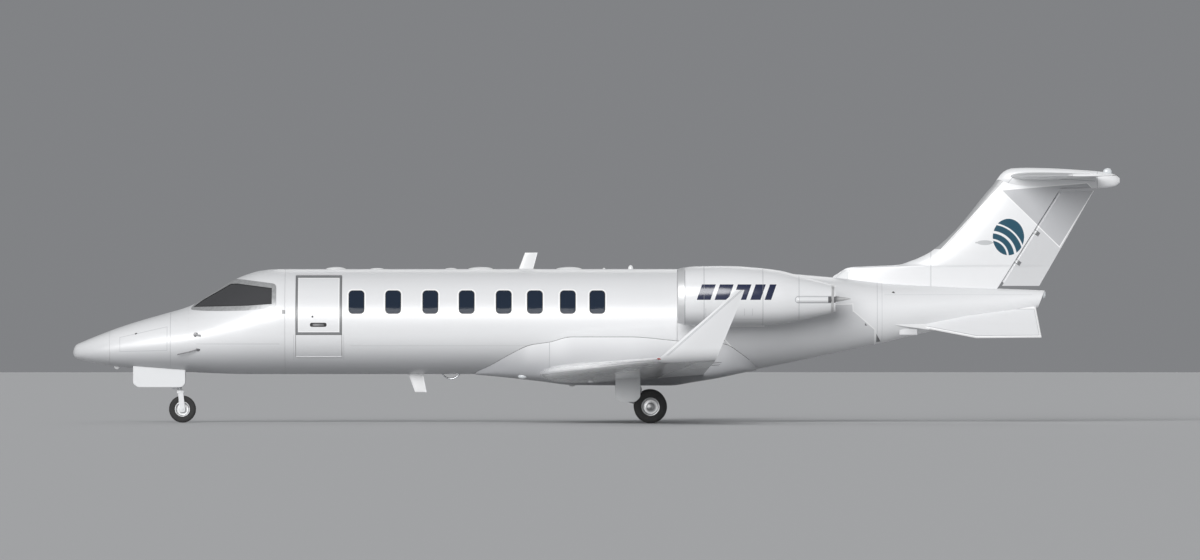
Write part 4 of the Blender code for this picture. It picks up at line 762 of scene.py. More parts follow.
bright_white = paint("surround_paint", colour=(0.93, 0.93, 0.93), gloss=0.30)
cabin_glass = glass("cabin_glass", (0.020, 0.030, 0.050), 0.95)
trim_plastic = stuff("trim_plastic", (0.55, 0.50, 0.42), (0.62, 0.57, 0.49), 0.48, bump=0.001)
for side, label in SIDES:
    shape(cabin_skin, "DIFFERENCE", window_row("openings", 0.0, side))
    panes, seals, surrounds, trims, trim_rings = (
        inlay(f"window_{row}_{label}", ROW_STATIONS, outer, inner, window_row("row_slabs", grow, side, hole))
        for row, outer, inner, grow, hole in WINDOW_LAYERS
    )
    place_piece(panes, cabin_glass, [f"cabin_windows_{label}"])
    place_piece(seals, sealant)
    place_piece(surrounds, bright_white)
    trim = merged(f"window_trim_{label}", [trims, trim_rings])
    place_piece(trim, trim_plastic)

# Entry door: two halves of the same wall, hinged at the sill and the head. The upper half has
# a grey edge band, a flush handle in a recess and a lock. The lower half carries the steps.
DOOR_FRONT = 3.770
DOOR_REAR = 4.554
DOOR_TOP = 2.488
DOOR_SPLIT = 1.486
DOOR_BOTTOM = 1.108
DOOR_HINGE_RADIUS = 0.012
DOOR_BAND = 0.042
DOOR_INSIDE = -0.15
HANDLE_RECESS = rectangle(4.015, 4.296, 1.618, 1.689)
LOCK_CENTRE = (4.057, -0.8735, 1.790)
LOCK_PROFILE = (
    (0.0006, 0.002), (0.0012, 0.004), (-0.0012, 0.006), (-0.0016, 0.013), (0.0, 0.0165), (0.012, 0.0165),
)
STEP_HEIGHTS = (1.23, 1.35)
STEP_DEPTH = 0.12
STEP_THICKNESS = 0.025
STEP_MARGIN = 0.05
KNUCKLES = 11
KNUCKLE_NECK = 0.0095
DOOR_MIDDLE = 4.0
DOOR_WALL = (3.6, 4.7)
LINING_GAP = 0.0003
door_hinges = {
    "upper": (DOOR_TOP - CLEARANCE, -float(hull_half_width(DOOR_MIDDLE, DOOR_TOP - CLEARANCE))),
    "lower": (DOOR_BOTTOM + CLEARANCE, -float(hull_half_width(DOOR_MIDDLE, DOOR_BOTTOM + CLEARANCE))),
}


def lathe(name, start, end, profile, sides=40, ends="capped"):
    """Rings about the line from start to end, from a profile of distance along it and radius."""
    start, end = np.array(start, float), np.array(end, float)
    ahead = (end - start) / np.linalg.norm(end - start)
    beside = np.cross(ahead, (0, 0, 1) if abs(ahead[2]) < 0.9 else (0, 1, 0))
    beside /= np.linalg.norm(beside)
    above = np.cross(beside, ahead)
    angles = np.arange(sides) * 2 * math.pi / sides
    spokes = np.outer(np.cos(angles), beside) + np.outer(np.sin(angles), above)
    return skin(name, [start + ahead * along + spokes * radius for along, radius in profile], ends)


def turned(name, centre, side, profile, sides=40, ends="capped"):
    """Rings about a line that runs across the aeroplane, from a centre to one side."""
    return lathe(name, centre, (centre[0], centre[1] + side, centre[2]), profile, sides, ends)


def rod(name, start, end, radius, end_radius=None, sides=32, edge=0.0015):
    """A round rod with softened ends, which may taper."""
    length = float(np.linalg.norm(np.subtract(end, start)))
    last = end_radius or radius
    profile = ((0, radius - edge), (edge, radius), (length - edge, last), (length, last - edge))
    return lathe(name, start, end, profile, sides)


def cross_rod(name, centre, half, radius, **more):
    """A rod that runs across the aeroplane, over half a length to each side of a place."""
    station, across, height = centre
    return rod(name, (station, across - half, height), (station, across + half, height), radius, **more)


def block(name, low, high, edge=0.004):
    """A box with softened edges, between two corners of station, across and height."""
    low, high = np.minimum(low, high), np.maximum(low, high)
    size = high - low
    edge = min(edge, 0.25 * float(np.min(size)))
    outline = rounded_rectangle((low + high) / 2, size, edge * 1.5, 3)
    bottom, top = plan_view(inset_outline(outline, edge * 0.7), low[2], high[2])
    return skin(name, [bottom, *plan_view(outline, low[2] + edge, high[2] - edge), top])


def door_marks(station, across, height):
    """The grey band round the upper half, and a fine line where the inner skin's edge shows."""
    depth = depth_in(rectangle(DOOR_FRONT, DOOR_REAR, DOOR_SPLIT, DOOR_TOP), station, height)
    return {"strip": depth < DOOR_BAND, "border": groove(depth, DOOR_BAND + 0.011, 0.010)}


def hinge_barrel(name, half):
    """A hinge of many knuckles along the edge of a door half."""
    height, across = door_hinges[half]
    length = DOOR_REAR - DOOR_FRONT - 2 * SEAT
    profile = []
    for i in range(KNUCKLES):
        low, high = (i + 0.04) / KNUCKLES * length, (i + 0.96) / KNUCKLES * length
        profile += [(low, KNUCKLE_NECK), (low + 0.001, DOOR_HINGE_RADIUS)]
        profile += [(high - 0.001, DOOR_HINGE_RADIUS), (high, KNUCKLE_NECK)]
    front = (DOOR_FRONT + SEAT, across, height)
    return lathe(name, front, (front[0] + 1, across, height), profile, 20)


chrome = stuff("polished_metal", (0.52, 0.53, 0.55), (0.66, 0.67, 0.69), 0.16, 1.0, 30.0, bump=0.0001)
grip = stuff("step_grip", (0.016, 0.016, 0.017), (0.03, 0.03, 0.031), 0.85, scale=60.0, bump=0.004)
lock_metal = stuff("lock_metal", (0.05, 0.05, 0.052), (0.10, 0.10, 0.105), 0.4, 0.8)
door_outline = rectangle(DOOR_FRONT, DOOR_REAR, DOOR_BOTTOM, DOOR_TOP)
shape(cabin_skin, "DIFFERENCE", slab("door_opening", door_outline, -BEYOND, DOOR_INSIDE))


def door_handle(door):
    """The recess in the upper half with a black sheet on its floor as painted shade, the handle that lies in
    it, and the lock.
    """
    recess = rounded(HANDLE_RECESS, 0.034)
    shape(door, "DIFFERENCE", slab("handle_recess", recess, -BEYOND, -0.858))
    handle_parts = [
        block("bar", (4.06, -0.8735, 1.634), (4.25, -0.864, 1.673), 0.004),
        block("bar_root", (4.14, -0.866, 1.643), (4.17, -0.857, 1.664), 0.002),
    ]
    # A black sheet on the recess floor: painted shade in the recess.
    recess_floor = slab("recess_floor", inset_outline(recess, 0.001), -0.859, -0.857)
    place_piece(recess_floor, sealant, body="upper_door")
    place_piece(merged("door_handle", handle_parts), handle_metal, body="upper_door")
    lock = turned("door_lock", LOCK_CENTRE, 1, LOCK_PROFILE)
    place_piece(lock, lock_metal, body="upper_door")


def door_steps():
    """The lower half's two treads, each with seven black ridges to grip on."""
    treads = []
    ridges = []
    front, rear = DOOR_FRONT + STEP_MARGIN, DOOR_REAR - STEP_MARGIN
    for height in STEP_HEIGHTS:
        wall = WALL - float(hull_half_width(DOOR_MIDDLE, height))
        top = height + STEP_THICKNESS
        low, high = (front, wall - 0.03, height), (rear, wall + STEP_DEPTH, top - 0.003)
        treads.append(block("tread", low, high, 0.006))
        for across in spread(wall + 0.012, wall + STEP_DEPTH - 0.016, 7):
            low, high = (front + 0.02, across - 0.004, top - 0.004), (rear - 0.02, across + 0.004, top)
            ridges.append(block("ridge", low, high, 0.001))
    place_piece(merged("step_treads", treads), frame_metal, body="lower_door")
    place_piece(merged("step_grips", ridges), grip, body="lower_door")


for half, (hinge_height, hinge_across) in door_hinges.items():
    ends = [(station, hinge_across, hinge_height) for station in (DOOR_FRONT, DOOR_REAR)]
    groove_rod = rod("hinge_groove", *ends, DOOR_HINGE_RADIUS + CLEARANCE, edge=0.0001)
    shape(cabin_skin, "DIFFERENCE", groove_rod)
    low = DOOR_SPLIT + CLEARANCE / 2 if half == "upper" else hinge_height
    high = hinge_height if half == "upper" else DOOR_SPLIT - CLEARANCE / 2
    half_outline = rectangle(DOOR_FRONT + CLEARANCE, DOOR_REAR - CLEARANCE, low, high)
    half_slab = slab("half_slab", half_outline, -BEYOND, DOOR_INSIDE)
    door = inlay(f"{half}_door_wall", DOOR_WALL, 0.0, WALL - LINING, half_slab)
    lining_outline = rounded(inset_outline(half_outline, 0.022), 0.03)
    lining_slab = slab("lining_slab", lining_outline, -BEYOND, DOOR_INSIDE)
    door_lining = inlay(f"{half}_door_lining", DOOR_WALL, WALL - LINING + LINING_GAP, WALL, lining_slab)
    place_piece(door_lining, trim_plastic, body=f"{half}_door")
    if half == "upper":
        door_handle(door)
    else:
        door_steps()
    finish = paint(f"{half}_door_paint", door_marks if half == "upper" else belly_shade_marks)
    whole = merged(f"{half}_door_shell", [door, hinge_barrel("barrel", half)])
    place_piece(whole, finish, [f"{half}_door"], body=f"{half}_door")


def cabin_marks(station, across, height):
    """Joints of the cabin shell, one ring beside the cockpit and a faint one at the wing, with painted shade
    towards the belly.
    """
    ring = groove(station, COCKPIT_END + 0.004, 0.005) * 0.4
    below = groove(height, 1.30, 0.003) * between(station, 4.7, 9.9) * 0.5
    port = (across < 0) * (height < DOOR_SPLIT) * (height > DOOR_BOTTOM - 0.05)
    edges = groove(station, DOOR_FRONT - 0.03, 0.004) + groove(station, DOOR_REAR + 0.03, 0.004)
    seams = ring.most(below).most(edges * port * 0.6)
    return {"seam": seams, "strip": joint_port(station, height), "belly": belly(height)}


place_piece(cabin_skin, paint("cabin_paint", cabin_marks), ["cabin_shell"])

# Lining: cream vinyl panels over insulation inside the cabin, and dark grey ones in the cockpit.
# They are clipped to the frames, with a joint every so far along and one above the side ledge.
LINING_JOINT = 0.61
LEDGE_JOINT = 1.72


def lining_marks(name, dark, light, joint_step):
    """Vinyl panels with a joint every so far along."""
    material, shader, (x, _, z), place = begin(name, light, 0.55)
    station = x + LENGTH / 2
    joint = groove(station.maths("PINGPONG", station, joint_step / 2), 0.0, 0.004)
    seams = joint.most(groove(z, LEDGE_JOINT, 0.006))
    cloud = noise(place, 6.0, 4.0)
    height = noise(place, 300.0, 2.0) * 0.0006 - seams * 0.003
    shown = (seams * 0.6).over(cloud.over(dark, light), (0.10, 0.09, 0.08))
    feed(shader, material, Base_Color=shown, Roughness=0.5 + cloud * 0.12, Normal=height.bump(0.6))
    return material


cabin_lining = layer("cabin_lining", (COCKPIT_END + 0.01, CABIN_END - WALL), WALL - LINING + LINING_GAP, WALL)
for side, _ in SIDES:
    shape(cabin_lining, "DIFFERENCE", window_row("lining_openings", 0.0005, side))
lining_door = slab("lining_door", inset_outline(door_outline, -0.002), -BEYOND, DOOR_INSIDE)
shape(cabin_lining, "DIFFERENCE", lining_door)
cabin_vinyl = lining_marks("cabin_vinyl", (0.56, 0.52, 0.45), (0.63, 0.59, 0.52), LINING_JOINT)
place_piece(cabin_lining, cabin_vinyl)

# Belly fairing: composite panels round the wing's centre section, with a rubber edge seal and a
# landing light behind glass at its front.
FAIRING_TOP_LINE = (
    (6.80, 0.850), (7.04, 0.960), (7.40, 1.160), (7.736, 1.311), (8.057, 1.360),
    (8.412, 1.446), (9.41, 1.446), (10.236, 1.378), (10.99, 1.330), (11.30, 1.15), (11.55, 0.95),
)
FAIRING_BOTTOM_LINE = (
    (6.80, 0.812), (7.247, 0.770), (7.855, 0.703), (8.463, 0.635), (10.08, 0.627),
    (10.49, 0.686), (10.895, 0.753), (11.30, 0.838), (11.55, 0.885),
)
FAIRING_SQUARENESS = 5.0
FAIRING_EDGE = 0.008
FAIRING_BULGE = 0.12
FAIRING_HEIGHT = 0.8
fairing_top = line(FAIRING_TOP_LINE)
fairing_bottom = line(FAIRING_BOTTOM_LINE)


def fairing(stations, grow=0.0, points=28):
    """Rings of the fairing: upright at its top edge and nearly flat below.

    With an angle a from 0 to 90 degrees, across is (edge + bulge sin(a)^2) cos(a)^(2/5) and
    the drop from the top is sin(a)^(2/5) of the depth.
    """
    station = np.asarray(stations, float)[:, None]
    top, bottom = fairing_top(station), fairing_bottom(station) - grow
    edge = hull_half_width(station, top) + FAIRING_EDGE + grow
    bulge = FAIRING_BULGE * np.minimum((top - bottom) / FAIRING_HEIGHT, 1.0) ** 2
    angle = spread(0, math.pi / 2, points)
    power = 2 / FAIRING_SQUARENESS
    across = (edge + bulge * np.sin(angle) ** 2) * np.maximum(np.cos(angle), 0.0) ** power
    across[:, -1] = 0.0
    height = top - (top - bottom) * np.sin(angle) ** power
    across = np.concatenate((across, -across[:, -2::-1]), axis=1)
    height = np.concatenate((height, height[:, -2::-1]), axis=1)
    return np.stack((np.broadcast_to(station, across.shape), across, height), axis=-1)


HULL_STATIONS = np.concatenate((spread(0.5, 3.588, 30), spread(3.7, 10.2, 12), AFT_STATIONS[1:]))
FAIRING_STATIONS = spread(FAIRING_TOP_LINE[0][0], FAIRING_TOP_LINE[-1][0], 60)


def hull_cutter():
    """The fuselage as a plain solid a hair larger than it is, to cut what is set against it."""
    rings = np.concatenate((hull(HULL_STATIONS, -SEAT), hull([TAIL_END], -SEAT, TAIL_END_RAKE)))
    return skin("hull_cutter", rings)


def fairing_marks(station, across, height):
    """Panel joints of the fairing, the slanting line of its lower front, and painted shade that darkens it
    towards its bottom.
    """
    rings = groove(station, 8.05, 0.005).most(groove(station, 10.24, 0.005))
    lower = groove(height - station * (-0.104), 1.540, 0.005) * between(station, 7.2, 7.83)
    return {"seam": rings.most(lower), "belly": belly(height, (0.85, 1.60))}


wing_fairing = shape(skin("belly_fairing", fairing(FAIRING_STATIONS)), "DIFFERENCE", hull_cutter())
fairing_paint = paint("fairing_paint", fairing_marks, gloss=0.36)
place_piece(wing_fairing, fairing_paint, ["wing_fairing"])


def edge_seal(side):
    """A rubber bead along the fairing's top edge, half sunk in the fuselage."""
    stations = spread(6.95, 11.42, 90)
    height = fairing_top(stations)
    across = side * (hull_half_width(stations, height) + 0.002)
    return np.stack((stations, across, height + 0.002), axis=-1)


def tube(name, path, radius, sides=10):
    """A round tube along a path of points, with closed ends."""
    path = np.asarray(path, float)
    heading = np.gradient(path, axis=0)
    heading /= np.linalg.norm(heading, axis=1, keepdims=True)
    beside = np.empty_like(heading)
    last = np.cross(heading[0], (0, 0, 1) if abs(heading[0][2]) < 0.9 else (0, 1, 0))
    for i, ahead in enumerate(heading):
        last = last - ahead * np.dot(last, ahead)
        last = last / np.linalg.norm(last)
        beside[i] = last
    above = np.cross(heading, beside)
    angle = np.arange(sides) * 2 * math.pi / sides
    rings = path[:, None] + radius * (
        beside[:, None] * np.cos(angle)[:, None] + above[:, None] * np.sin(angle)[:, None]
    )
    return skin(name, rings)


for side, label in SIDES:
    place_piece(tube(f"fairing_seal_{label}", edge_seal(side), 0.0045), sealant)

# Wings: aluminium skins over spars, with a metal leading edge strip. Each carries a flap, an
# aileron and a spoiler on hinge lines, and a jack pad below.
WING_INNER = 0.45
WING_ROOT = 0.85
WING_TIP = 7.20
WING_LEADING_EDGE = (7.89, 9.85)
WING_TRAILING_EDGE = (10.64, 10.81)
WING_HEIGHT = (0.815, 1.081)
WING_THICKNESS_RATIO = (0.125, 0.105)
WING_CAMBER = 0.015
WING_INNER_LIFT = 0.012
EDGE_THICKNESS = 0.006
HINGE_PIN_RADIUS = 0.008
FLAP_SPAN = (0.97, 4.30)
FLAP_HINGE = 0.745
AILERON_SPAN = (4.42, 6.75)
AILERON_HINGE = 0.76
SPOILER_SPAN = (2.20, 4.05)
SPOILER_CHORD = (0.575, 0.700)
SPOILER_THICKNESS = 0.016
JACK_PAD = (8.75, 1.42, 0.05, 0.685)
SECTION_POINTS = 31
STRIP_CHORD = 0.055
WING_RIBS = 14
WING_SPARS = (0.17, 0.56)
FILLER_CAP = (10.02, 5.2, 0.055)
WING_LEVELS = (0.3, 1.6)
SNUG = 0.96


def half_thickness(x, thickness):
    """Half a wing section's thickness at a fraction of its chord.

    It is 5 t (0.2969 sqrt(x) - 0.126 x - 0.3516 x^2 + 0.2843 x^3 - 0.1015 x^4).
    """
    bulk = 0.2969 * np.sqrt(x) - 0.126 * x - 0.3516 * x**2 + 0.2843 * x**3 - 0.1015 * x**4
    return 5 * thickness * bulk


def blade_section(chord, thickness, camber=0.0, count=SECTION_POINTS):
    """A wing section as forward and up, from the tail over the top, round the nose and back.

    The tail is a little blunt, and the camber line is a parabola.
    """
    places = 0.5 * (1 + np.cos(spread(0, math.pi, count)))
    half = np.maximum(half_thickness(places, thickness), EDGE_THICKNESS / 2 * places)
    rise = 4 * camber * places * (1 - places) * chord
    upper = np.stack((places * chord, rise + half), axis=1)
    lower = np.stack((places * chord, rise - half), axis=1)[-2::-1]
    return np.concatenate((upper, lower))


def level_ring(front, section, height):
    """A section at a height, from the station of its front."""
    return np.stack((front + section[:, 0], section[:, 1], np.full(len(section), height)), axis=1)


def upright_ring(front, section, across, middle):
    """A section at a place across, from the station of its front and about a middle height."""
    level = np.broadcast_to(across, len(section))
    return np.stack((front + section[:, 0], level, middle + section[:, 1]), axis=1)


def between_ribs(pair, across):
    """A value that changes evenly from the wing's root to its tip."""
    return float(np.interp(across, (WING_ROOT, WING_TIP), pair))


def wing_chord(across):
    """The wing's length from its leading edge to its trailing edge."""
    return between_ribs(WING_TRAILING_EDGE, across) - between_ribs(WING_LEADING_EDGE, across)


def wing_solid(name, side, lift=0.0):
    """A whole wing, before its flap, aileron and spoiler are cut out."""
    rings = []
    for across in (WING_INNER, *spread(WING_ROOT, WING_TIP, WING_RIBS)):
        at = max(across, WING_ROOT)
        chord = wing_chord(at)
        section = blade_section(chord, between_ribs(WING_THICKNESS_RATIO, at) * chord, WING_CAMBER)
        height = between_ribs(WING_HEIGHT, at) + lift + (WING_INNER_LIFT if across < WING_ROOT else 0)
        rings.append(upright_ring(between_ribs(WING_LEADING_EDGE, at), section, side * across, height))
    return skin(name, rings)


def surface_outline(start, end, reach, ahead, beyond):
    """Four corners of a moving surface's outline from above, square to its hinge line."""
    first, second = (np.array(place[:2]) for place in (start, end))
    run = (second - first) / np.linalg.norm(second - first)
    aft = np.array([run[1], -run[0]]) * (1 if run[1] > 0 else -1)
    return [
        first - run * beyond - aft * ahead, second + run * beyond - aft * ahead,
        second + run * beyond + aft * reach, first - run * beyond + aft * reach,
    ]


def moving_surface(name, fixed, whole, start, end, radii, reach, levels):
    """Cut a moving surface out of a fixed one, and give it a round nose with a pin at each end."""
    bay = surface_outline(start, end, reach, max(radii) + CLEARANCE, CLEARANCE)
    shape(fixed, "DIFFERENCE", slab("bay", bay, *levels, plan_view))
    region = surface_outline(start, end, reach, 0.0, 0.0)
    shape(whole, "INTERSECT", slab("region", region, *levels, plan_view))
    length = float(np.linalg.norm(np.subtract(end, start)))
    pin = CLEARANCE - 2 * SEAT
    profile = (
        (-pin, HINGE_PIN_RADIUS), (0, HINGE_PIN_RADIUS), (0, radii[0]),
        (length, radii[1]), (length, HINGE_PIN_RADIUS), (length + pin, HINGE_PIN_RADIUS),
    )
    return merged(name, [whole, lathe("nose", start, end, profile)])


def wing_hinge(side, across, fraction):
    """A place on the middle of the wing at a fraction of its chord, and its half thickness."""
    chord = wing_chord(across)
    half = float(half_thickness(fraction, between_ribs(WING_THICKNESS_RATIO, across) * chord))
    rise = 4 * WING_CAMBER * fraction * (1 - fraction) * chord
    station = between_ribs(WING_LEADING_EDGE, across) + fraction * chord
    return np.array([station, side * across, between_ribs(WING_HEIGHT, across) + rise]), half


def wing_marks(station, across, height):
    """The leading edge strip, spar and rib joints, and fuel filler on each wing's top."""
    out = abs(across)
    front, rear = (
        (out - WING_ROOT) * ((edge[1] - edge[0]) / (WING_TIP - WING_ROOT))
        for edge in (WING_LEADING_EDGE, WING_TRAILING_EDGE)
    )
    behind = station - WING_LEADING_EDGE[0] - front
    chord = rear - front + (WING_TRAILING_EDGE[0] - WING_LEADING_EDGE[0])
    fraction = behind / chord
    edge = groove(fraction, STRIP_CHORD, 0.003)
    spars = highest(groove(fraction, spar, 0.0022) for spar in WING_SPARS)
    ribs = groove(out.maths("PINGPONG", out - 1.20, 0.60), 0.0, 0.004)
    ribs = ribs * between(fraction, STRIP_CHORD, WING_SPARS[1])
    filler = ((station - FILLER_CAP[0]) ** 2 + (out - FILLER_CAP[1]) ** 2) ** 0.5
    cap = groove(filler, FILLER_CAP[2], 0.004)
    strip = (fraction < STRIP_CHORD) * (out > WING_ROOT + 0.1)
    return {"seam": spars.most(ribs * 0.5).most(edge).most(cap), "metal": strip}


def wing_spoiler(side, label, wing):
    """A plate off the wing's own top, with a pin along its front, and the recess that it lies in."""
    corners = [
        (between_ribs(WING_LEADING_EDGE, across) + fraction * wing_chord(across), side * across)
        for across, fraction in zip(np.repeat(SPOILER_SPAN, 2), SPOILER_CHORD + SPOILER_CHORD[::-1])
    ]
    recess = slab("recess", inset_outline(corners, -2 * CLEARANCE), *WING_LEVELS, plan_view)
    shape(recess, "DIFFERENCE", wing_solid("recess_floor", side, -SPOILER_THICKNESS - CLEARANCE))
    shape(wing, "DIFFERENCE", recess)
    spoiler = shape(wing_solid("plate", side), "INTERSECT", slab("region", corners, *WING_LEVELS, plan_view))
    shape(spoiler, "DIFFERENCE", wing_solid("underside", side, -SPOILER_THICKNESS))
    pins = []
    for across in SPOILER_SPAN:
        middle, half = wing_hinge(side, across, SPOILER_CHORD[0])
        pins.append(middle + (0.008, 0, half - SPOILER_THICKNESS / 2))
    run = (pins[1] - pins[0]) / np.linalg.norm(pins[1] - pins[0])
    reach = run * (2 * CLEARANCE - 4 * SEAT)
    pin_rod = rod("pin", pins[0] - reach, pins[1] + reach, 0.0065, sides=16, edge=0.0005)
    return merged(f"spoiler_skin_{label}", [spoiler, pin_rod])


wing_paint = paint("wing_paint", wing_marks, gloss=0.20, coat=1.0)
surface_paint = paint("surface_paint", gloss=0.34)
for side, label in SIDES:
    wing = wing_solid("wing", side)
    shape(wing, "DIFFERENCE", skin("fairing_cutter", fairing(FAIRING_STATIONS, SEAT)))
    for kind, span, fraction in (("flap", FLAP_SPAN, FLAP_HINGE), ("aileron", AILERON_SPAN, AILERON_HINGE)):
        (start, half_start), (end, half_end) = (wing_hinge(side, across, fraction) for across in span)
        radii = (half_start * SNUG, half_end * SNUG)
        name = f"{kind}_skin_{label}"
        surface = moving_surface(name, wing, wing_solid("whole", side), start, end, radii, 1.2, WING_LEVELS)
        place_piece(surface, surface_paint, [f"{kind}_{label}"], body=f"{kind}_{label}")
    spoiler = wing_spoiler(side, label, wing)
    place_piece(spoiler, surface_paint, [f"spoiler_{label}"], body=f"spoiler_{label}")
    pad_station, pad_across, pad_radius, pad_face = JACK_PAD
    pad = (pad_station, side * pad_across)
    pad_rod = rod("jack_pad", (*pad, pad_face), (*pad, WING_HEIGHT[0]), pad_radius, sides=48)
    wing = merged(f"wing_skin_{label}", [wing, pad_rod])
    place_piece(wing, wing_paint, [f"wing_{label}"])

# Winglets: composite, blended upwards from each wing tip, with a metal strip along the front
# whose two edges show as grey lines. Each is a run of wing sections along a bent spine.
WINGLET_BEND = 0.30
WINGLET_CANT = 74.0
WINGLET_TOP = 2.245
WINGLET_LEADING_EDGE = ((1.081, 9.85), (1.30, 10.087), (2.144, 11.047), (2.245, 11.14))
WINGLET_TRAILING_EDGE = ((1.081, 10.81), (1.30, 10.905), (2.144, 11.25), (2.245, 11.285))
winglet_front = line(WINGLET_LEADING_EDGE)
winglet_rear = line(WINGLET_TRAILING_EDGE)
WINGLET_START = math.atan2(WING_HEIGHT[1] - WING_HEIGHT[0], WING_TIP - WING_ROOT)
WINGLET_LEVELS = (1.5, 1.75, 2.0, 2.144, 2.19, 2.225, WINGLET_TOP - 0.006, WINGLET_TOP)
WINGLET_THICKNESS_RATIO = (0.105, 0.095)
STRIP_EDGES = ((0.075, 0.006), (0.100, 0.005))


def winglet_spine():
    """Across, height and slope along a winglet: an even bend, then straight to the tip."""
    cant = math.radians(WINGLET_CANT)
    spine = [
        (
            WING_TIP + SEAT + WINGLET_BEND * (math.sin(angle) - math.sin(WINGLET_START)),
            WING_HEIGHT[1] + WINGLET_BEND * (math.cos(WINGLET_START) - math.cos(angle)),
            angle,
        )
        for angle in spread(WINGLET_START, cant, 14)
    ]
    across, height = spine[-1][:2]
    return spine + [(across + (level - height) / math.tan(cant), level, cant) for level in WINGLET_LEVELS]


def winglet_marks(station, across, height):
    """The front strip with its two grey edges, and the joint at the wing's tip."""
    (low, low_front), (high, high_front) = WINGLET_LEADING_EDGE[1:3]
    behind = station - (height - low) * ((high_front - low_front) / (high - low)) - low_front
    strip = highest(groove(behind, edge, half) for edge, half in STRIP_EDGES) * (height > 1.16)
    return {"seam": strip.most(groove(abs(across), WING_TIP + 0.05, 0.004))}


winglet_paint = paint("winglet_paint", winglet_marks)
spine = winglet_spine()
for side, label in SIDES:
    rings = []
    for i, (across, height, angle) in enumerate(spine):
        front, rear = float(winglet_front(height)), float(winglet_rear(height))
        close = {len(spine) - 1: 0.25, len(spine) - 2: 0.6}.get(i, 1.0)
        share = np.clip((height - WING_HEIGHT[1]) / (WINGLET_TOP - WING_HEIGHT[1]), 0, 1)
        ratio = WINGLET_THICKNESS_RATIO[0] * (1 - share) + WINGLET_THICKNESS_RATIO[1] * share
        section = blade_section(rear - front, (rear - front) * ratio * close, WING_CAMBER * (1 - share))
        lean = angle if i else 0.0
        out = side * (across - section[:, 1] * math.sin(lean))
        rings.append(np.stack((front + section[:, 0], out, height + section[:, 1] * math.cos(lean)), axis=1))
    winglet = skin(f"winglet_skin_{label}", rings)
    place_piece(winglet, winglet_paint, [f"winglet_{label}"])

# Fin and rudder: aluminium, with a duct inlet low on the fin's front and a metal de-ice strip
# above it. The rudder hangs on two arms and its hinge pins.
FIN_TOP = 4.00
FIN_LEADING_EDGE = (
    (2.12, 12.57), (2.60, 13.045), (2.625, 13.16), (2.667, 13.95), (2.72, 14.12), (2.785, 14.29),
    (2.902, 14.51), (4.00, 15.53),
)
FIN_TRAILING_EDGE = ((2.12, 16.211), (4.00, 17.293))
FIN_NOSE = ((2.12, 0.055), (2.625, 0.045), (2.667, 0.010), (4.00, 0.006))
FIN_THICKNESS = ((2.12, 0.22), (2.60, 0.20), (2.902, 0.20), (4.00, 0.15))
RUDDER_HINGE = ((15.676, 2.284), (16.715, 3.929))
RUDDER_BOTTOM = 2.31
RUDDER_TOP = 3.915
RUDDER_ARMS = (2.713, 3.211)
ARM_HALF = 0.03
FIN_CAP = ((3.985, 15.517), (4.03, 15.552), (4.08, 15.583), (4.13, 15.635), (4.17, 15.69), (4.20, 15.75))
FIN_CAP_REAR = 16.9
FIN_LEVELS = np.concatenate((
    spread(2.12, 2.60, 5), spread(2.606, 2.667, 12), spread(2.675, 2.902, 10), spread(3.0, FIN_TOP, 9),
))
BULLET = (
    (15.60, 4.100, 4.055, 0.015), (15.70, 4.225, 3.985, 0.055), (15.85, 4.295, 3.955, 0.085),
    (16.10, 4.304, 3.950, 0.100), (16.50, 4.295, 3.950, 0.105), (17.00, 4.268, 3.955, 0.100),
    (17.40, 4.235, 3.965, 0.085), (17.60, 4.190, 3.992, 0.060), (LENGTH, 4.130, 4.050, 0.020),
)
BULLET_SIDES = 56
DE_ICE_FOOT = 2.93
GREY_FIELD = [(15.676, 3.929), (17.128, 4.047), (17.247, 3.929), (16.664, 2.966)]
FIN_PANEL = [(12.79, 2.385), (13.10, 2.385), (13.12, 2.572), (12.98, 2.572)]
SERVICE_OVAL = (15.40, 3.04)
DISC_CENTRE = (15.80, 3.135)
ARC_CENTRE = (15.50, 2.80)
DISC_ARCS = ((0.29, 0.020), (0.42, 0.026), (0.56, 0.018))
fin_front = line(FIN_LEADING_EDGE)
fin_thickness = line(FIN_THICKNESS)


def straight(points, place):
    """The value at a place of straight runs through points."""
    return float(np.interp(place, *zip(*points)))


def fin_solid(name):
    """The whole fin, whose front is blunt at the duct inlet and fine above it."""
    rings = []
    for height in FIN_LEVELS:
        front, rear = float(fin_front(height)), straight(FIN_TRAILING_EDGE, height)
        section = blade_section(rear - front, float(fin_thickness(height)))
        nose = straight(FIN_NOSE, height)
        middle = len(section) // 2
        section = np.concatenate((section[:middle], [(0.0, nose), (0.0, -nose)], section[middle + 1:]))
        blunt = np.where(np.arange(len(section)) <= middle, 1, -1) * np.maximum(np.abs(section[:, 1]), nose)
        section[:, 1] = np.where(section[:, 0] < (rear - front) / 3, blunt, section[:, 1])
        rings.append(level_ring(front, section, height))
    return skin(name, rings)


def fin_cap():
    """The top of the fin inside the bullet, whose front runs on from the fin's."""
    return skin("fin_cap", [
        level_ring(front, blade_section(FIN_CAP_REAR - front, 0.145), height) for height, front in FIN_CAP
    ])


def rudder_hinge(height):
    """A place on the rudder's hinge line, and half the fin's thickness there."""
    (low_station, low), (high_station, high) = RUDDER_HINGE
    station = low_station + (high_station - low_station) * (height - low) / (high - low)
    front, rear = float(fin_front(height)), straight(FIN_TRAILING_EDGE, height)
    half = float(half_thickness((station - front) / (rear - front), float(fin_thickness(height))))
    return np.array([station, 0.0, height]), half


def side_outline(*places):
    """The stations and heights of some places."""
    return [(place[0], place[2]) for place in places]


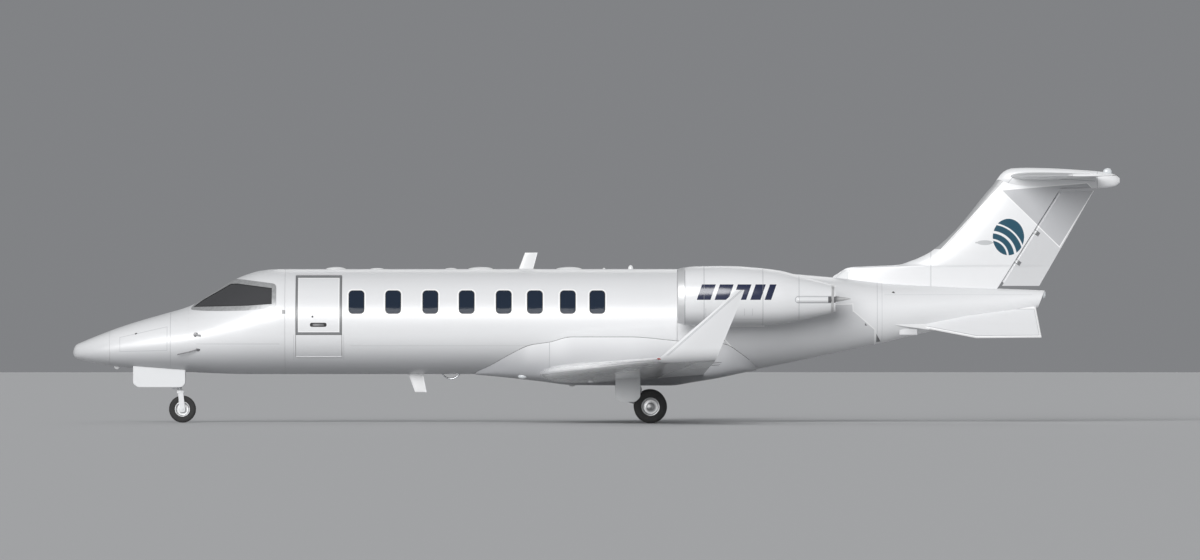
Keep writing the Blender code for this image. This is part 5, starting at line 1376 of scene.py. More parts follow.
fin_skin = fin_solid("fin_skin")
rudder_skin = fin_solid("rudder_skin")
start, half_start = rudder_hinge(RUDDER_BOTTOM)
end, half_end = rudder_hinge(RUDDER_TOP)
up_rudder = (end - start) / np.linalg.norm(end - start)
aft_rudder = np.array([up_rudder[2], 0.0, -up_rudder[0]])
ahead = aft_rudder * (half_start * SNUG + CLEARANCE)
low_ahead, high_ahead = start - ahead - up_rudder * 0.30, end - ahead + up_rudder * 0.30
level = np.array([1.2, 0.0, 0.0])
bay = side_outline(low_ahead, high_ahead, high_ahead + level, low_ahead + level)
shape(fin_skin, "DIFFERENCE", slab("rudder_bay", bay, -0.4, 0.4))
region = side_outline(start, end, end + level, start + level)
shape(rudder_skin, "INTERSECT", slab("rudder_region", region, -0.4, 0.4))
nose_ends = (start + up_rudder * 0.06, end - up_rudder * 0.06)
rudder_nose = rod("rudder_nose", *nose_ends, half_start * 0.95, half_end * 0.95, edge=0.001)
rudder_parts = [rudder_skin, rudder_nose]
arms = []
for height in RUDDER_ARMS:
    centre, half = rudder_hinge(height)
    notch = up_rudder * (ARM_HALF + CLEARANCE)
    for thing in (rudder_skin, rudder_nose):
        shape(thing, "DIFFERENCE", rod("notch", centre - notch, centre + notch, half + 0.03, edge=0.0002))
    pin = notch + up_rudder * 0.02
    rudder_parts.append(rod("pin", centre - pin, centre + pin, 0.012, sides=20, edge=0.0005))
    arm = rod("arm", centre - up_rudder * ARM_HALF, centre + up_rudder * ARM_HALF, half * 0.75, edge=0.002)
    web = side_outline(*(
        centre - aft_rudder * (half + 0.06) * back + up_rudder * up
        for back, up in ((1, -0.024), (0, -0.024), (0, 0.024), (1, 0.024))
    ))
    shape(arm, "UNION", slab("web", web, -half * 0.6, half * 0.6))
    hole = up_rudder * (ARM_HALF + 0.01)
    shape(arm, "DIFFERENCE", rod("hole", centre - hole, centre + hole, 0.0128, sides=20, edge=0.0001))
    arms.append(arm)
rudder_skin = merged("rudder_shell", rudder_parts)
place_piece(merged("rudder_arms", arms), frame_metal)


def strip_behind(station, height, first, second):
    """How far aft a point lies of a straight line in the side view."""
    (station_a, height_a), (station_b, height_b) = first, second
    return station - (height - height_a) * ((station_b - station_a) / (height_b - height_a)) - station_a


def emblem(station, height):
    """A plain round design: a disc with three pale arcs that run through it."""
    reach = ((station - DISC_CENTRE[0]) ** 2 + ((height - DISC_CENTRE[1]) * 0.86) ** 2) ** 0.5
    sweep = ((station - ARC_CENTRE[0]) ** 2 + (height - ARC_CENTRE[1]) ** 2) ** 0.5
    return (reach < 0.265) * (1 - highest(groove(sweep, arc, half) for arc, half in DISC_ARCS))


def fin_marks(station, across, height):
    """The de-ice strip, the duct's inlet and panel, a service oval, joints and the grey field."""
    behind = strip_behind(station, height, (14.51, 2.902), (15.53, 4.00))
    strip = between(behind, -0.2, 0.120) * (height > DE_ICE_FOOT)
    pale_edge = groove(behind, 0.132, 0.012) * (height > DE_ICE_FOOT)
    strip_joint = groove(behind, 0.146, 0.004) * (height > DE_ICE_FOOT)
    joint = groove(station, 14.49, 0.005) * between(height, 2.3, 2.88)
    aside, up = station - SERVICE_OVAL[0], height - SERVICE_OVAL[1]
    oval = ((aside / 0.145) ** 2 + (up / 0.045) ** 2) ** 0.5
    stem = between(station, 15.24, 15.56) * (abs(up) < 0.012)
    panel = depth_in(FIN_PANEL, station, height)
    mouth = strip_behind(station, height, (12.57, 2.12), (13.045, 2.60))
    field = depth_in(GREY_FIELD, station, height)
    return {
        "seam": joint.most(strip_joint).most(groove(panel, 0.0, 0.005)),
        "strip_light": (oval < 0.90).most(stem).most(panel > 0.012),
        "strip": strip * 0.75,
        "border": pale_edge.most(groove(field, 0.0, 0.010)).most(groove(panel, 0.008, 0.008)),
        "patch": field > 0.0,
        "teal": emblem(station, height),
        "dark": (mouth < 0.014) * between(height, 2.36, 2.56) * (abs(across) < 0.034),
    }


def rudder_marks(station, across, height):
    """Flat grey paint on the rudder's upper part, and paler grey below it."""
    field = depth_in(GREY_FIELD, station, height)
    return {"patch": field > 0.0, "border": groove(field, 0.0, 0.010), "pale": height < 3.93}


fin_skin = merged("fin_skin", [fin_skin, fin_cap()])
place_piece(fin_skin, paint("fin_paint", fin_marks), ["fin"])
place_piece(rudder_skin, paint("rudder_paint", rudder_marks), ["rudder"], body="rudder")

# Tailplane: one aluminium piece from tip to tip through the fin's top, with a composite bullet
# over its middle, a strip along its front and an elevator hinged behind each side.
TAIL_SPAN_HALF = 2.55
TAIL_HEIGHT = 4.165
TAIL_LEADING_EDGE = (15.80, 16.75)
TAIL_TRAILING_EDGE = (17.26, 17.50)
TAIL_THICKNESS_RATIO = 0.09
TAIL_TIP = ((TAIL_SPAN_HALF - 0.08, TAIL_SPAN_HALF - 0.03, TAIL_SPAN_HALF), (1, 0.86, 0.45))
TAIL_STRIP = 0.07
ELEVATOR_SPAN = (0.24, 2.44)
ELEVATOR_HINGE = 0.68
TAIL_LEVELS = (3.9, 4.4)
BULLET_HALF = 0.13


def bullet():
    """Rings of the tailplane's bullet, each an ellipse."""
    tops, bottoms, halves = (line([(row[0], row[i]) for row in BULLET]) for i in (1, 2, 3))
    reach = LENGTH - BULLET[0][0]
    station = (BULLET[0][0] + reach * np.sin(spread(0, math.pi / 2, 30)) ** 1.6)[:, None]
    angle = np.arange(BULLET_SIDES) * 2 * math.pi / BULLET_SIDES
    middle = (tops(station) + bottoms(station)) / 2
    tall = (tops(station) - bottoms(station)) / 2
    points = (station, halves(station) * np.cos(angle), middle + tall * np.sin(angle))
    return np.stack(np.broadcast_arrays(*points), axis=-1)


def tail_edges(across):
    """The stations of the tailplane's leading and trailing edge at a rib."""
    ribs = (0, TAIL_SPAN_HALF)
    return [float(np.interp(abs(across), ribs, pair)) for pair in (TAIL_LEADING_EDGE, TAIL_TRAILING_EDGE)]


def tail_solid(name):
    """The whole tailplane, from port to starboard, with thinned tips."""
    reach = np.concatenate((spread(0, TAIL_TIP[0][0], 9), TAIL_TIP[0][1:]))
    rings = []
    for across in np.concatenate((-reach[:0:-1], reach)):
        front, rear = tail_edges(across)
        close = np.interp(abs(across), *TAIL_TIP)
        section = blade_section(rear - front, TAIL_THICKNESS_RATIO * (rear - front) * close)
        rings.append(upright_ring(front, section, across, TAIL_HEIGHT))
    return skin(name, rings)


tail_skin = tail_solid("tail_skin")
for side, label in SIDES:
    places = []
    halves = []
    for across in ELEVATOR_SPAN:
        front, rear = tail_edges(across)
        halves.append(float(half_thickness(ELEVATOR_HINGE, TAIL_THICKNESS_RATIO * (rear - front))) * SNUG)
        places.append(np.array([front + ELEVATOR_HINGE * (rear - front), side * across, TAIL_HEIGHT]))
    name = f"elevator_skin_{label}"
    elevator = moving_surface(name, tail_skin, tail_solid("whole"), *places, halves, 0.9, TAIL_LEVELS)
    place_piece(elevator, surface_paint, [f"elevator_{label}"], body=f"elevator_{label}")


def tail_marks(station, across, height):
    """The de-ice strip along the tailplane's front, joints round the bullet and the grey field."""
    sweep = (TAIL_LEADING_EDGE[1] - TAIL_LEADING_EDGE[0]) / TAIL_SPAN_HALF
    behind = station - (abs(across) * sweep + TAIL_LEADING_EDGE[0])
    outside = abs(across) > BULLET_HALF
    strip = (behind < TAIL_STRIP) * outside
    seams = groove(behind, TAIL_STRIP + 0.004, 0.004) * outside
    root = strip_behind(station, height, (15.70, 3.946), (15.895, 4.166))
    root = groove(root, 0.0, 0.006) * between(height, 3.955, 4.166)
    crest = groove(height + station * 0.063, 5.167, 0.005) * between(station, 15.895, 17.26)
    lines = root.most(crest).most(groove(station, 17.30, 0.005)) * (1 - outside)
    field = depth_in(GREY_FIELD, station, height)
    return {
        "seam": seams.most(lines), "strip_light": strip * 0.3,
        "patch": (field > 0.0) * (1 - outside), "border": groove(field, 0.0, 0.010) * (1 - outside),
    }


tail_skin = merged("tail_shell", [tail_skin, skin("bullet", bullet())])
place_piece(tail_skin, paint("tail_paint", tail_marks), ["stabilizer"])

# Ventral fins: two thin composite plates that spread below the tail cone, bolted through it,
# each with softened edges and a pale painted border.
VENTRAL_CORNERS = (
    (13.88, 0.20, 1.70), (15.25, 0.58, 1.440), (16.346, 0.56, 1.449), (16.26, 0.06, 1.95), (15.0, 0.06, 1.95),
)
VENTRAL_THICKNESS = 0.040


def ventral_marks(station, across, height):
    """A pale border round the plate's outline as the side shows it."""
    inside = depth_in([(s, z) for s, _, z in VENTRAL_CORNERS], station, height)
    return {"border": inside < 0.03, "seam": groove(inside, 0.032, 0.004)}


ventral_paint = paint("ventral_paint", ventral_marks)
for side, label in SIDES:
    corners = np.array([(s, side * y, z) for s, y, z in VENTRAL_CORNERS])
    normal = np.cross(corners[1] - corners[0], corners[2] - corners[0])
    normal *= VENTRAL_THICKNESS / 2 / np.linalg.norm(normal)
    middle = corners.mean(axis=0)
    inner = middle + (corners - middle) * 0.985
    rings = [inner - normal, corners - normal * 0.6, corners + normal * 0.6, inner + normal]
    plate = skin(f"ventral_plate_{label}", rings)
    place_piece(plate, ventral_paint, [f"ventral_fin_{label}"])

# Engines: a composite cowl round each turbofan, with a bare metal inlet lip, an actuator fairing
# outboard and an exhaust plug. Each hangs on a pylon that is faired into the fuselage.
ENGINE_OFFSET = 1.45
ENGINE_AXIS = ((10.0, 11.2, 12.86), (2.138, 2.138, 2.092))
NACELLE_OUTSIDE = (
    (10.222, 0.458), (10.30, 0.480), (10.55, 0.503), (11.00, 0.507),
    (11.50, 0.490), (11.90, 0.452), (12.30, 0.362), (12.86, 0.224),
)
NACELLE_INSIDE = (
    (10.222, 0.405), (10.28, 0.388), (10.45, 0.388), (10.70, 0.412), (10.94, 0.412),
    (10.95, 0.400), (11.70, 0.400), (12.20, 0.315), (12.86, 0.205),
)
LIP_DEPTH = 0.022
LIP_METAL_END = 10.325
COWL_JOINTS = (10.65, 11.64, 12.247)
CORE_FRONT = 10.952
CORE_RADIUS = 0.400
VANES = 30
FAN_STATION = 10.80
FAN_RADIUS = 0.398
FAN_HUB_RADIUS = 0.130
FAN_BLADES = 16
FAN_CHORD = 0.105
MIXER_LOBES = 12
PYLON_FRONT = 10.85
PYLON_REAR = 12.70
PYLON_HEIGHT = 2.10
PYLON_THICKNESS = 0.16
ACTUATOR_FAIRING = ((12.19, 12.782), 2.078, 0.052)
NOZZLE_RING = ((12.79, 2.094), (12.84, 2.0927))
NOZZLE_RING_PROFILE = ((0.0, 0.236), (0.0, 0.2455), (0.022, 0.2400), (0.045, 0.2325), (0.045, 0.222))
VANE_WALL = (
    (11.04, 0.02), (11.04, CORE_RADIUS), (11.70, CORE_RADIUS), (11.705, 0.36), (11.30, 0.34), (11.30, 0.02),
)
VANE_HUB = ((CORE_FRONT, 0.02), (CORE_FRONT, 0.125), (11.05, 0.125), (11.05, 0.02))
VANE_SECTION = ((-0.045, 0, 1), (0, 0.003, 0.3), (0.045, 0, 0), (0, -0.003, 0.3))
EXHAUST_PLUG = ((11.75, 0.12), (12.30, 0.135), (12.60, 0.105), (12.86, 0.055), (13.06, 0.018), (13.12, 0.004))
MIXER_REACH = (11.62, 12.36)
SPINNER_FRONT = 10.60
LOUVRES = (10.68, 11.03, 11.17, 11.33, 11.466)
BAR_SLANT = 0.35
BARS = ((10.57, 10.80), (10.87, 11.10), (11.17, 11.40), (11.47, 11.64), (11.71, 11.82))
cowl_radius = line(NACELLE_OUTSIDE)
duct_radius = line(NACELLE_INSIDE)


def engine_rings(side, profile, sides=112, lobes=None):
    """Rings round an engine's axis, from a profile of station and radius.

    lobes gives each ring's share of a wave with as many crests as the mixer has lobes.
    """
    station, radius = np.array(profile, float).T
    angle = np.arange(sides) * 2 * math.pi / sides
    wave = 1 + np.outer(np.zeros(len(station)) if lobes is None else lobes, np.cos(MIXER_LOBES * angle))
    reach = radius[:, None] * wave
    middle = np.interp(station, *ENGINE_AXIS)[:, None]
    out, up = side * ENGINE_OFFSET + reach * np.cos(angle), middle + reach * np.sin(angle)
    return np.stack(np.broadcast_arrays(station[:, None], out, up), axis=-1)


def cowl_profile():
    """The cowl's section: round the lip, back along the outside and forward along the duct."""
    (front, outer), (rear, _) = NACELLE_OUTSIDE[0], NACELLE_OUTSIDE[-1]
    inner = NACELLE_INSIDE[0][1]
    lip = [
        (front - LIP_DEPTH * math.cos(a), (outer + inner) / 2 + (outer - inner) / 2 * math.sin(a))
        for a in spread(-math.pi / 2, math.pi / 2, 13)[1:-1]
    ]
    outside = spread(front, rear, 46)
    inside = np.concatenate((spread(rear, 10.96, 24), spread(10.95, front, 24)))
    return lip + list(zip(outside, cowl_radius(outside))) + list(zip(inside, duct_radius(inside)))


def cowl_marks(station, across, height):
    """Bare lip, latches, joints, louvres, five slanting navy bars, the ducts' dark inside, and painted shade
    towards the cowl's bottom.
    """
    (_, bend, rear), (level, _, low) = ENGINE_AXIS
    middle = level - (station - bend).most(0.0) * ((level - low) / (rear - bend))
    radius = ((abs(across) - ENGINE_OFFSET) ** 2 + (height - middle) ** 2) ** 0.5
    inlet = (radius < 0.4135) * between(station, 10.23, 11.0)
    nozzle = (radius < 0.443 - (station - 11.9) * 0.2375) * (station > 11.95)
    joints = highest(groove(station, joint, 0.005) for joint in COWL_JOINTS)
    latch = groove(height, 1.75, 0.004) * between(station, COWL_JOINTS[0], COWL_JOINTS[1])
    spine = groove(height + station * 0.278, 5.898, 0.004) * (station > COWL_JOINTS[2])
    lip_line = groove(station, LIP_METAL_END + 0.004, 0.007)
    outside = radius > 0.43 - (station - 10.5).most(0.0) * 0.09
    outboard = abs(across) > ENGINE_OFFSET
    (tube_low, tube_high), tube_height, tube_radius = ACTUATOR_FAIRING
    round_tube = ((tube_low + 0.05 - station).most(0.0) ** 2 + (height - tube_height) ** 2) ** 0.5
    along_tube = between(station, tube_low - 0.03, tube_high + 0.01) * outboard
    rim = groove(round_tube, tube_radius + 0.004, 0.007) * along_tube
    tube_end = (round_tube < tube_radius) * (station > tube_high - 0.045) * outboard
    louvres = highest(groove(station, louvre, 0.005) for louvre in LOUVRES)
    louvres = louvres * between(height, 1.81, 1.93) * 0.5
    slant = station - (height - 2.20) * BAR_SLANT
    bars = highest(between(slant, low_edge, high_edge) for low_edge, high_edge in BARS)
    return {
        "seam": (joints.most(latch * 0.5).most(spine).most(louvres) * outside).most(lip_line).most(rim),
        "metal": station < LIP_METAL_END,
        "navy": bars * between(height, 2.075, 2.335) * outboard,
        "dark": inlet.most(nozzle).most(tube_end),
        "belly": belly(height, (1.62, 1.92)) * 0.7,
    }


def spinner_finish():
    """Grey spinner with one white spiral, and bare titanium blades."""
    material, shader, (x, y, z), place = begin("fan_titanium", (0.34, 0.35, 0.37), 0.30, 0.95)
    station = x + LENGTH / 2
    aside, up = abs(y) - ENGINE_OFFSET, z - ENGINE_AXIS[1][0]
    radius = (aside**2 + up**2) ** 0.5
    turn = up.maths("ARCTAN2", up, aside) / (2 * math.pi)
    turns = turn + (station - SPINNER_FRONT) * 7.0
    spiral = turns.maths("FRACT", turns)
    on_hub = (radius < FAN_HUB_RADIUS + 0.004) * (station < 10.765)
    white = between(spiral, 0.10, 0.26) * on_hub * (radius > 0.012)
    brushed = noise(place, 40.0, 3.0, (1, 1, 0.2))
    shown = white.over(on_hub.over((0.34, 0.35, 0.37), (0.055, 0.057, 0.06)), (0.8, 0.8, 0.8))
    feed(shader, material, Base_Color=shown, Metallic=0.95 - on_hub * 0.95, Roughness=0.24 + brushed * 0.16)
    return material


def fan_blade(side, turn):
    """One blade: a thin curved section that twists from root to tip, on a cylinder's surface."""
    along = np.concatenate((spread(-0.5, 0.5, 9), spread(0.5, -0.5, 9)[1:-1]))
    faces = np.where(np.arange(len(along)) < 9, 1, -1)
    bulge = faces * 0.0042 * np.sqrt(np.maximum(1 - (2 * along) ** 2, 0.0))
    rings = []
    for share in spread(0, 1, 10):
        radius = (FAN_HUB_RADIUS - 0.012) * (1 - share) + FAN_RADIUS * share
        stagger = math.radians(30 + 25 * share)
        chord = FAN_CHORD * (1 + 0.12 * math.sin(math.pi * share))
        camber = 0.010 * (1 - 0.5 * share) * (1 - (2 * along) ** 2)
        forward = along * chord * math.cos(stagger) - (bulge + camber) * math.sin(stagger)
        aside = along * chord * math.sin(stagger) + (bulge + camber) * math.cos(stagger)
        angle = turn + aside / radius
        out, up = side * ENGINE_OFFSET + radius * np.cos(angle), ENGINE_AXIS[1][0] + radius * np.sin(angle)
        rings.append(np.stack((FAN_STATION + forward, out, up), axis=1))
    return skin("blade", rings)


def engine_cowl(side):
    """The cowl with the reverser actuator's fairing that bulges from its outer side."""
    cowl = skin("cowl", engine_rings(side, cowl_profile()), "joined")
    stations, height, radius = ACTUATOR_FAIRING
    places = [(s, side * (ENGINE_OFFSET + float(cowl_radius(s)) - 0.022), height) for s in stations]
    length = float(np.linalg.norm(np.subtract(*places)))
    bow = [(radius * (1 - math.cos(a)), radius * math.sin(a)) for a in spread(0.12, math.pi / 2, 9)]
    bow += [(length - 0.004, radius * 0.96), (length, radius * 0.90)]
    return [cowl, lathe("actuator", *places, bow)]


def stator(side):
    """The fixed vanes behind the fan, between a hub and the core's wall."""
    parts = [skin("vane_wall", engine_rings(side, VANE_WALL))]
    centre = np.array([CORE_FRONT + 0.05, side * ENGINE_OFFSET, ENGINE_AXIS[1][0]])
    for turn in 2 * math.pi * np.arange(VANES) / VANES:
        spoke = np.array([0.0, math.cos(turn), math.sin(turn)])
        aside = np.array([0.0, -math.sin(turn), math.cos(turn)])
        ribs = [
            [
                centre + spoke * reach + aside * (thick + bend * 0.014) + np.array([ahead, 0, 0])
                for ahead, thick, bend in VANE_SECTION
            ] for reach in (0.10, CORE_RADIUS - 0.001)
        ]
        parts.append(skin("vane", ribs))
    return parts + [skin("hub", engine_rings(side, VANE_HUB))]


def exhaust(side):
    """The plug in the nozzle's middle, and the lobed mixer round it."""
    plug = skin("plug", engine_rings(side, EXHAUST_PLUG, 64))
    stations = spread(*MIXER_REACH, 22)
    sweep = (stations - MIXER_REACH[0]) / (MIXER_REACH[1] - MIXER_REACH[0])
    outer = 0.335 - 0.145 * sweep
    profile = list(zip(stations, outer)) + list(zip(stations[::-1], outer[::-1] - 0.006))
    lobes = np.concatenate((0.16 * sweep**1.5, 0.16 * sweep[::-1] ** 1.5))
    return [plug, skin("mixer", engine_rings(side, profile, 192, lobes), "joined")]


def fan_rotor(side):
    """The spinner and hub, with all the blades."""
    nose = [
        (SPINNER_FRONT + 0.16 * (1 - math.cos(a)), max(FAN_HUB_RADIUS * math.sin(a), 0.003))
        for a in spread(0.02, math.pi / 2, 14)
    ]
    hub = skin("hub", engine_rings(side, nose + [(10.86, FAN_HUB_RADIUS), (CORE_FRONT - SEAT, 0.06)], 64))
    return [hub] + [fan_blade(side, 2 * math.pi * i / FAN_BLADES) for i in range(FAN_BLADES)]


def pylon_rings(side):
    """The pylon's section at four places from inside the fuselage to inside the cowl."""
    section = blade_section(PYLON_REAR - PYLON_FRONT, PYLON_THICKNESS)
    station = PYLON_FRONT + section[:, 0]
    rise = PYLON_HEIGHT + section[:, 1] - np.interp(station, *ENGINE_AXIS)
    cowl_edge = ENGINE_OFFSET - np.sqrt(cowl_radius(station) ** 2 - rise**2)
    reaches = (0.50, 0.70, 0.85, cowl_edge + 0.012)
    return [upright_ring(PYLON_FRONT, section, side * reach, PYLON_HEIGHT) for reach in reaches]


cowl_paint = paint("cowl_paint", cowl_marks)
fan_finish = spinner_finish()
dark_metal = stuff("duct_metal", (0.10, 0.10, 0.105), (0.17, 0.17, 0.175), 0.42, 0.85, 16.0)
nozzle_metal = stuff("nozzle_metal", (0.56, 0.56, 0.56), (0.66, 0.66, 0.66), 0.36, 0.35, 14.0)
for side, label in SIDES:
    cowl = merged(f"cowl_{label}", engine_cowl(side))
    place_piece(cowl, cowl_paint, [f"nacelle_{label}"])
    ring_ends = [(station, side * ENGINE_OFFSET, height) for station, height in NOZZLE_RING]
    ring = lathe(f"nozzle_ring_{label}", *ring_ends, NOZZLE_RING_PROFILE, 112, "joined")
    place_piece(ring, nozzle_metal)
    vanes = merged(f"engine_vanes_{label}", stator(side))
    place_piece(vanes, dark_metal, [f"engine_core_{label}"])
    place_piece(merged(f"exhaust_{label}", exhaust(side)), nozzle_metal)
    rotor = merged(f"fan_rotor_{label}", fan_rotor(side))
    place_piece(rotor, fan_finish, [f"fan_{label}"], body=f"fan_{label}")
    pylon = skin(f"pylon_skin_{label}", pylon_rings(side))
    place_piece(pylon, surface_paint, [f"pylon_{label}"])

# Nose gear: a steered fork on a chromed oleo piston, a drag brace, a taxi lamp and two doors
# that hang open beside the bay. The fork and leg are forged steel, painted white.
NOSE_LEG = 1.80
NOSE_WHEEL = 1.85
NOSE_TYRE_RADIUS = 0.2285
NOSE_TYRE_WIDTH = 0.112
NOSE_RIM_RADIUS = 0.125
NOSE_STRUT_RADIUS = 0.052
NOSE_STEER_HEIGHT = 0.640
NOSE_TRUNNION_HEIGHT = 1.12
NOSE_BRACE_FOOT = 0.79
NOSE_FORK_GAP = NOSE_TYRE_WIDTH / 2 + 0.018
FORK_ARM = ((1.775, 0.515), (1.80, 0.20), (1.82, 0.175), (1.88, 0.175), (1.90, 0.20), (1.865, 0.515))
FORK_LINK = ((1.79, 0.552), (1.685, 0.548), (1.672, 0.568), (1.685, 0.590), (1.79, 0.585))
LAMP_BODY = (
    (0.0, 0.046), (0.0, 0.052), (0.012, 0.053), (0.020, 0.049), (0.050, 0.030), (0.060, 0.012),
    (0.065, 0.004),
)
LAMP_LENS = ((-0.008, 0.004), (-0.006, 0.024), (-0.001, 0.044), (0.001, 0.0458))
NOSE_DOOR = ((1.02, 0.66), (1.10, 0.60), (1.84, 0.60), (1.90, 0.66), (1.90, 1.02), (1.02, 1.02))
NOSE_DOOR_HINGES = (1.14, 1.44, 1.74)
NOSE_DOOR_OFFSET = 0.20
NOSE_DOOR_THICKNESS = 0.018


def tyre_profile(radius, width, rim_radius, grooves=(-0.42, -0.14, 0.14, 0.42)):
    """A tyre's section as across and radius: crowned tread, shoulders, walls and beads.

    The tread is flat to 0.6 of the half width but for its grooves. The shoulder and the
    wall are quarter ellipses that meet at the widest place.
    """
    half = width / 2
    widest = rim_radius + (radius - rim_radius) * 0.52
    edge = half * 0.60
    tread = [(-edge, radius - 0.002)]
    for groove_place in grooves:
        for offset, drop in ((-0.0028, 0), (-0.0020, 0.005), (0.0020, 0.005), (0.0028, 0)):
            at = groove_place * half + offset
            tread.append((at, radius - 0.002 * (at / edge) ** 2 - drop))
    tread.append((edge, radius - 0.002))
    shoulder = [
        (edge + (half - edge) * math.sin(a), widest + (radius - 0.002 - widest) * math.cos(a))
        for a in spread(0.12, math.pi / 2, 12)
    ]
    wall = [
        (half * 0.74 + half * 0.26 * math.cos(a), widest - (widest - rim_radius - SEAT) * math.sin(a))
        for a in spread(0.15, math.pi / 2, 9)
    ]
    right = shoulder + wall
    return [(-a, r) for a, r in reversed(right)] + tread + right


def tyre(name, station, across, radius, width, rim_radius):
    """A tyre that stands on the ground."""
    profile = tyre_profile(radius, width, rim_radius)
    return turned(name, (station, across, radius), 1, profile, 120, "joined")


def rubber_finish():
    """Black tyre rubber, greyer with dust on the tread, with fine rings on the walls."""
    material, shader, _, place = begin("tyre_rubber", (0.022, 0.022, 0.023), 0.78)
    dust = noise(place, 14.0, 4.0).step(0.35, 0.75)
    fine = noise(place, 260.0, 2.0)
    shown = (dust * 0.5).over((0.018, 0.018, 0.019), (0.052, 0.050, 0.047))
    feed(shader, material, Base_Color=shown, Roughness=0.70 + dust * 0.15, Normal=(fine * 0.0008).bump(0.5))
    return material


def wheel_half(centre, side, rim_radius, half, hub_half, hub_radius, bolts=8):
    """One side of a wheel: a dished face with bolts, and lightening holes near its rim."""
    station, across, height = centre
    face = [
        (0.0, 0.001), (0.0, rim_radius), (half * 0.66, rim_radius), (half * 0.78, rim_radius + 0.004),
        (half * 0.80, rim_radius + 0.001), (half * 0.78, rim_radius * 0.93), (half * 0.60, rim_radius * 0.88),
        (half * 0.44, rim_radius * 0.80), (half * 0.40, rim_radius * 0.55), (half * 0.50, hub_radius * 1.35),
        (hub_half, hub_radius * 1.05), (hub_half + 0.001, hub_radius * 0.98), (hub_half + 0.001, 0.001),
    ]

    def spot(angle, reach, out):
        """A place on the wheel's face."""
        return (station + reach * math.cos(angle), across + side * out, height + reach * math.sin(angle))

    holes = []
    nuts = []
    reach = rim_radius * 0.68
    for i in range(bolts):
        angle = 2 * math.pi * (i + 0.5) / bolts
        ends = [spot(angle, reach, half * out) for out in (0.28, 1)]
        holes.append(rod("hole", *ends, rim_radius * 0.085, sides=24, edge=0.0002))
        ends = [spot(angle + math.pi / bolts, reach * 0.78, half * 0.38 + out) for out in (0, 0.012)]
        nuts.append(rod("nut", *ends, 0.0075, sides=6, edge=0.001))
    wheel = shape(turned("wheel", centre, side, face, 96), "DIFFERENCE", merged("holes", holes))
    return merged("wheel_half", [wheel] + nuts)


def plate(name, outline, low, high, edge=0.004, radius=0.01):
    """A flat side-view shape with rounded corners and softened edges."""
    full = rounded(outline, radius, 5)
    low, high = min(low, high), max(low, high)
    port, starboard = side_view(inset_outline(full, edge * 0.8), low, high)
    return skin(name, [port, *side_view(full, low + edge, high - edge), starboard])


tyre_rubber = rubber_finish()
wheel_paint = stuff("wheel_metal", (0.42, 0.425, 0.43), (0.55, 0.555, 0.56), 0.34, 0.75, 22.0)
gear_white = paint("gear_paint", colour=(0.70, 0.71, 0.72), gloss=0.38)
steel = stuff("bare_steel", (0.30, 0.30, 0.31), (0.42, 0.42, 0.43), 0.30, 0.95, 30.0)
nose_tyre = tyre("nose_tyre_rubber", NOSE_WHEEL, 0.0, NOSE_TYRE_RADIUS, NOSE_TYRE_WIDTH, NOSE_RIM_RADIUS)
place_piece(nose_tyre, tyre_rubber, ["nose_tyre"], body="nose_wheel")
nose_centre = (NOSE_WHEEL, 0.0, NOSE_TYRE_RADIUS)
nose_wheel = merged("nose_wheel_halves", [
    wheel_half(nose_centre, side, NOSE_RIM_RADIUS, NOSE_TYRE_WIDTH / 2, NOSE_FORK_GAP - SEAT, 0.030, 6)
    for side, _ in SIDES
])
place_piece(nose_wheel, wheel_paint, ["nose_rim"], body="nose_wheel")

fork_half = NOSE_FORK_GAP + 0.024
fork = [
    block("crown", (1.752, -fork_half, 0.493), (1.878, fork_half, 0.545), 0.010),
    rod("collar", (NOSE_LEG, 0, 0.540), (NOSE_LEG, 0, 0.575), 0.050, 0.044, edge=0.004),
]
for side, _ in SIDES:
    fork.append(plate("arm", FORK_ARM, side * NOSE_FORK_GAP, side * (NOSE_FORK_GAP + 0.020), 0.004, 0.02))
    ends = [(NOSE_WHEEL, side * (NOSE_FORK_GAP + out), NOSE_TYRE_RADIUS) for out in (0.019, 0.034)]
    fork.append(rod("axle_nut", *ends, 0.019, sides=6, edge=0.002))
fork.append(plate("link", FORK_LINK, -0.022, 0.022, 0.003))
place_piece(merged("nose_fork_parts", fork), gear_white, ["nose_fork"], body="nose_steering")
piston = rod("nose_piston", (NOSE_LEG, 0, 0.54), (NOSE_LEG, 0, NOSE_STEER_HEIGHT), 0.037)
place_piece(piston, chrome, body="nose_steering")

strut_foot = (NOSE_LEG, 0, NOSE_STEER_HEIGHT + 0.001)
trunnion = (NOSE_LEG, 0, NOSE_TRUNNION_HEIGHT)
jack = (NOSE_LEG - 0.005, -0.055, 0.75)
leg = [
    rod("strut", strut_foot, (NOSE_LEG, 0, WELL_TOP - SEAT), NOSE_STRUT_RADIUS),
    rod("gland", strut_foot, (NOSE_LEG, 0, 0.668), 0.060, edge=0.004),
    rod("steering_collar", (NOSE_LEG, 0, 0.725), (NOSE_LEG, 0, 0.775), 0.064, edge=0.005),
    cross_rod("trunnion", trunnion, WELL_HALF - SEAT, 0.032),
    cross_rod("trunnion_hub", trunnion, 0.075, 0.052, edge=0.006),
    rod("steering_jack", jack, (jack[0], -0.095, jack[2]), 0.026, edge=0.004),
    cross_rod("brace_lug", (NOSE_LEG - 0.01, 0, NOSE_BRACE_FOOT), 0.05, 0.024, edge=0.003),
    cross_rod("brace_knee", (1.50, 0, 1.034), 0.052, 0.018, edge=0.003),
]
for across in (-0.030, 0.030):
    leg.append(rod("brace", (1.25, across, 1.235), (NOSE_LEG, across, NOSE_BRACE_FOOT), 0.015, 0.013))
place_piece(merged("nose_leg_parts", leg), gear_white, ["nose_leg"])
lamp_place = (NOSE_LEG - 0.115, 0.0, 0.87)
lamp_back = (NOSE_LEG, 0, 0.87)
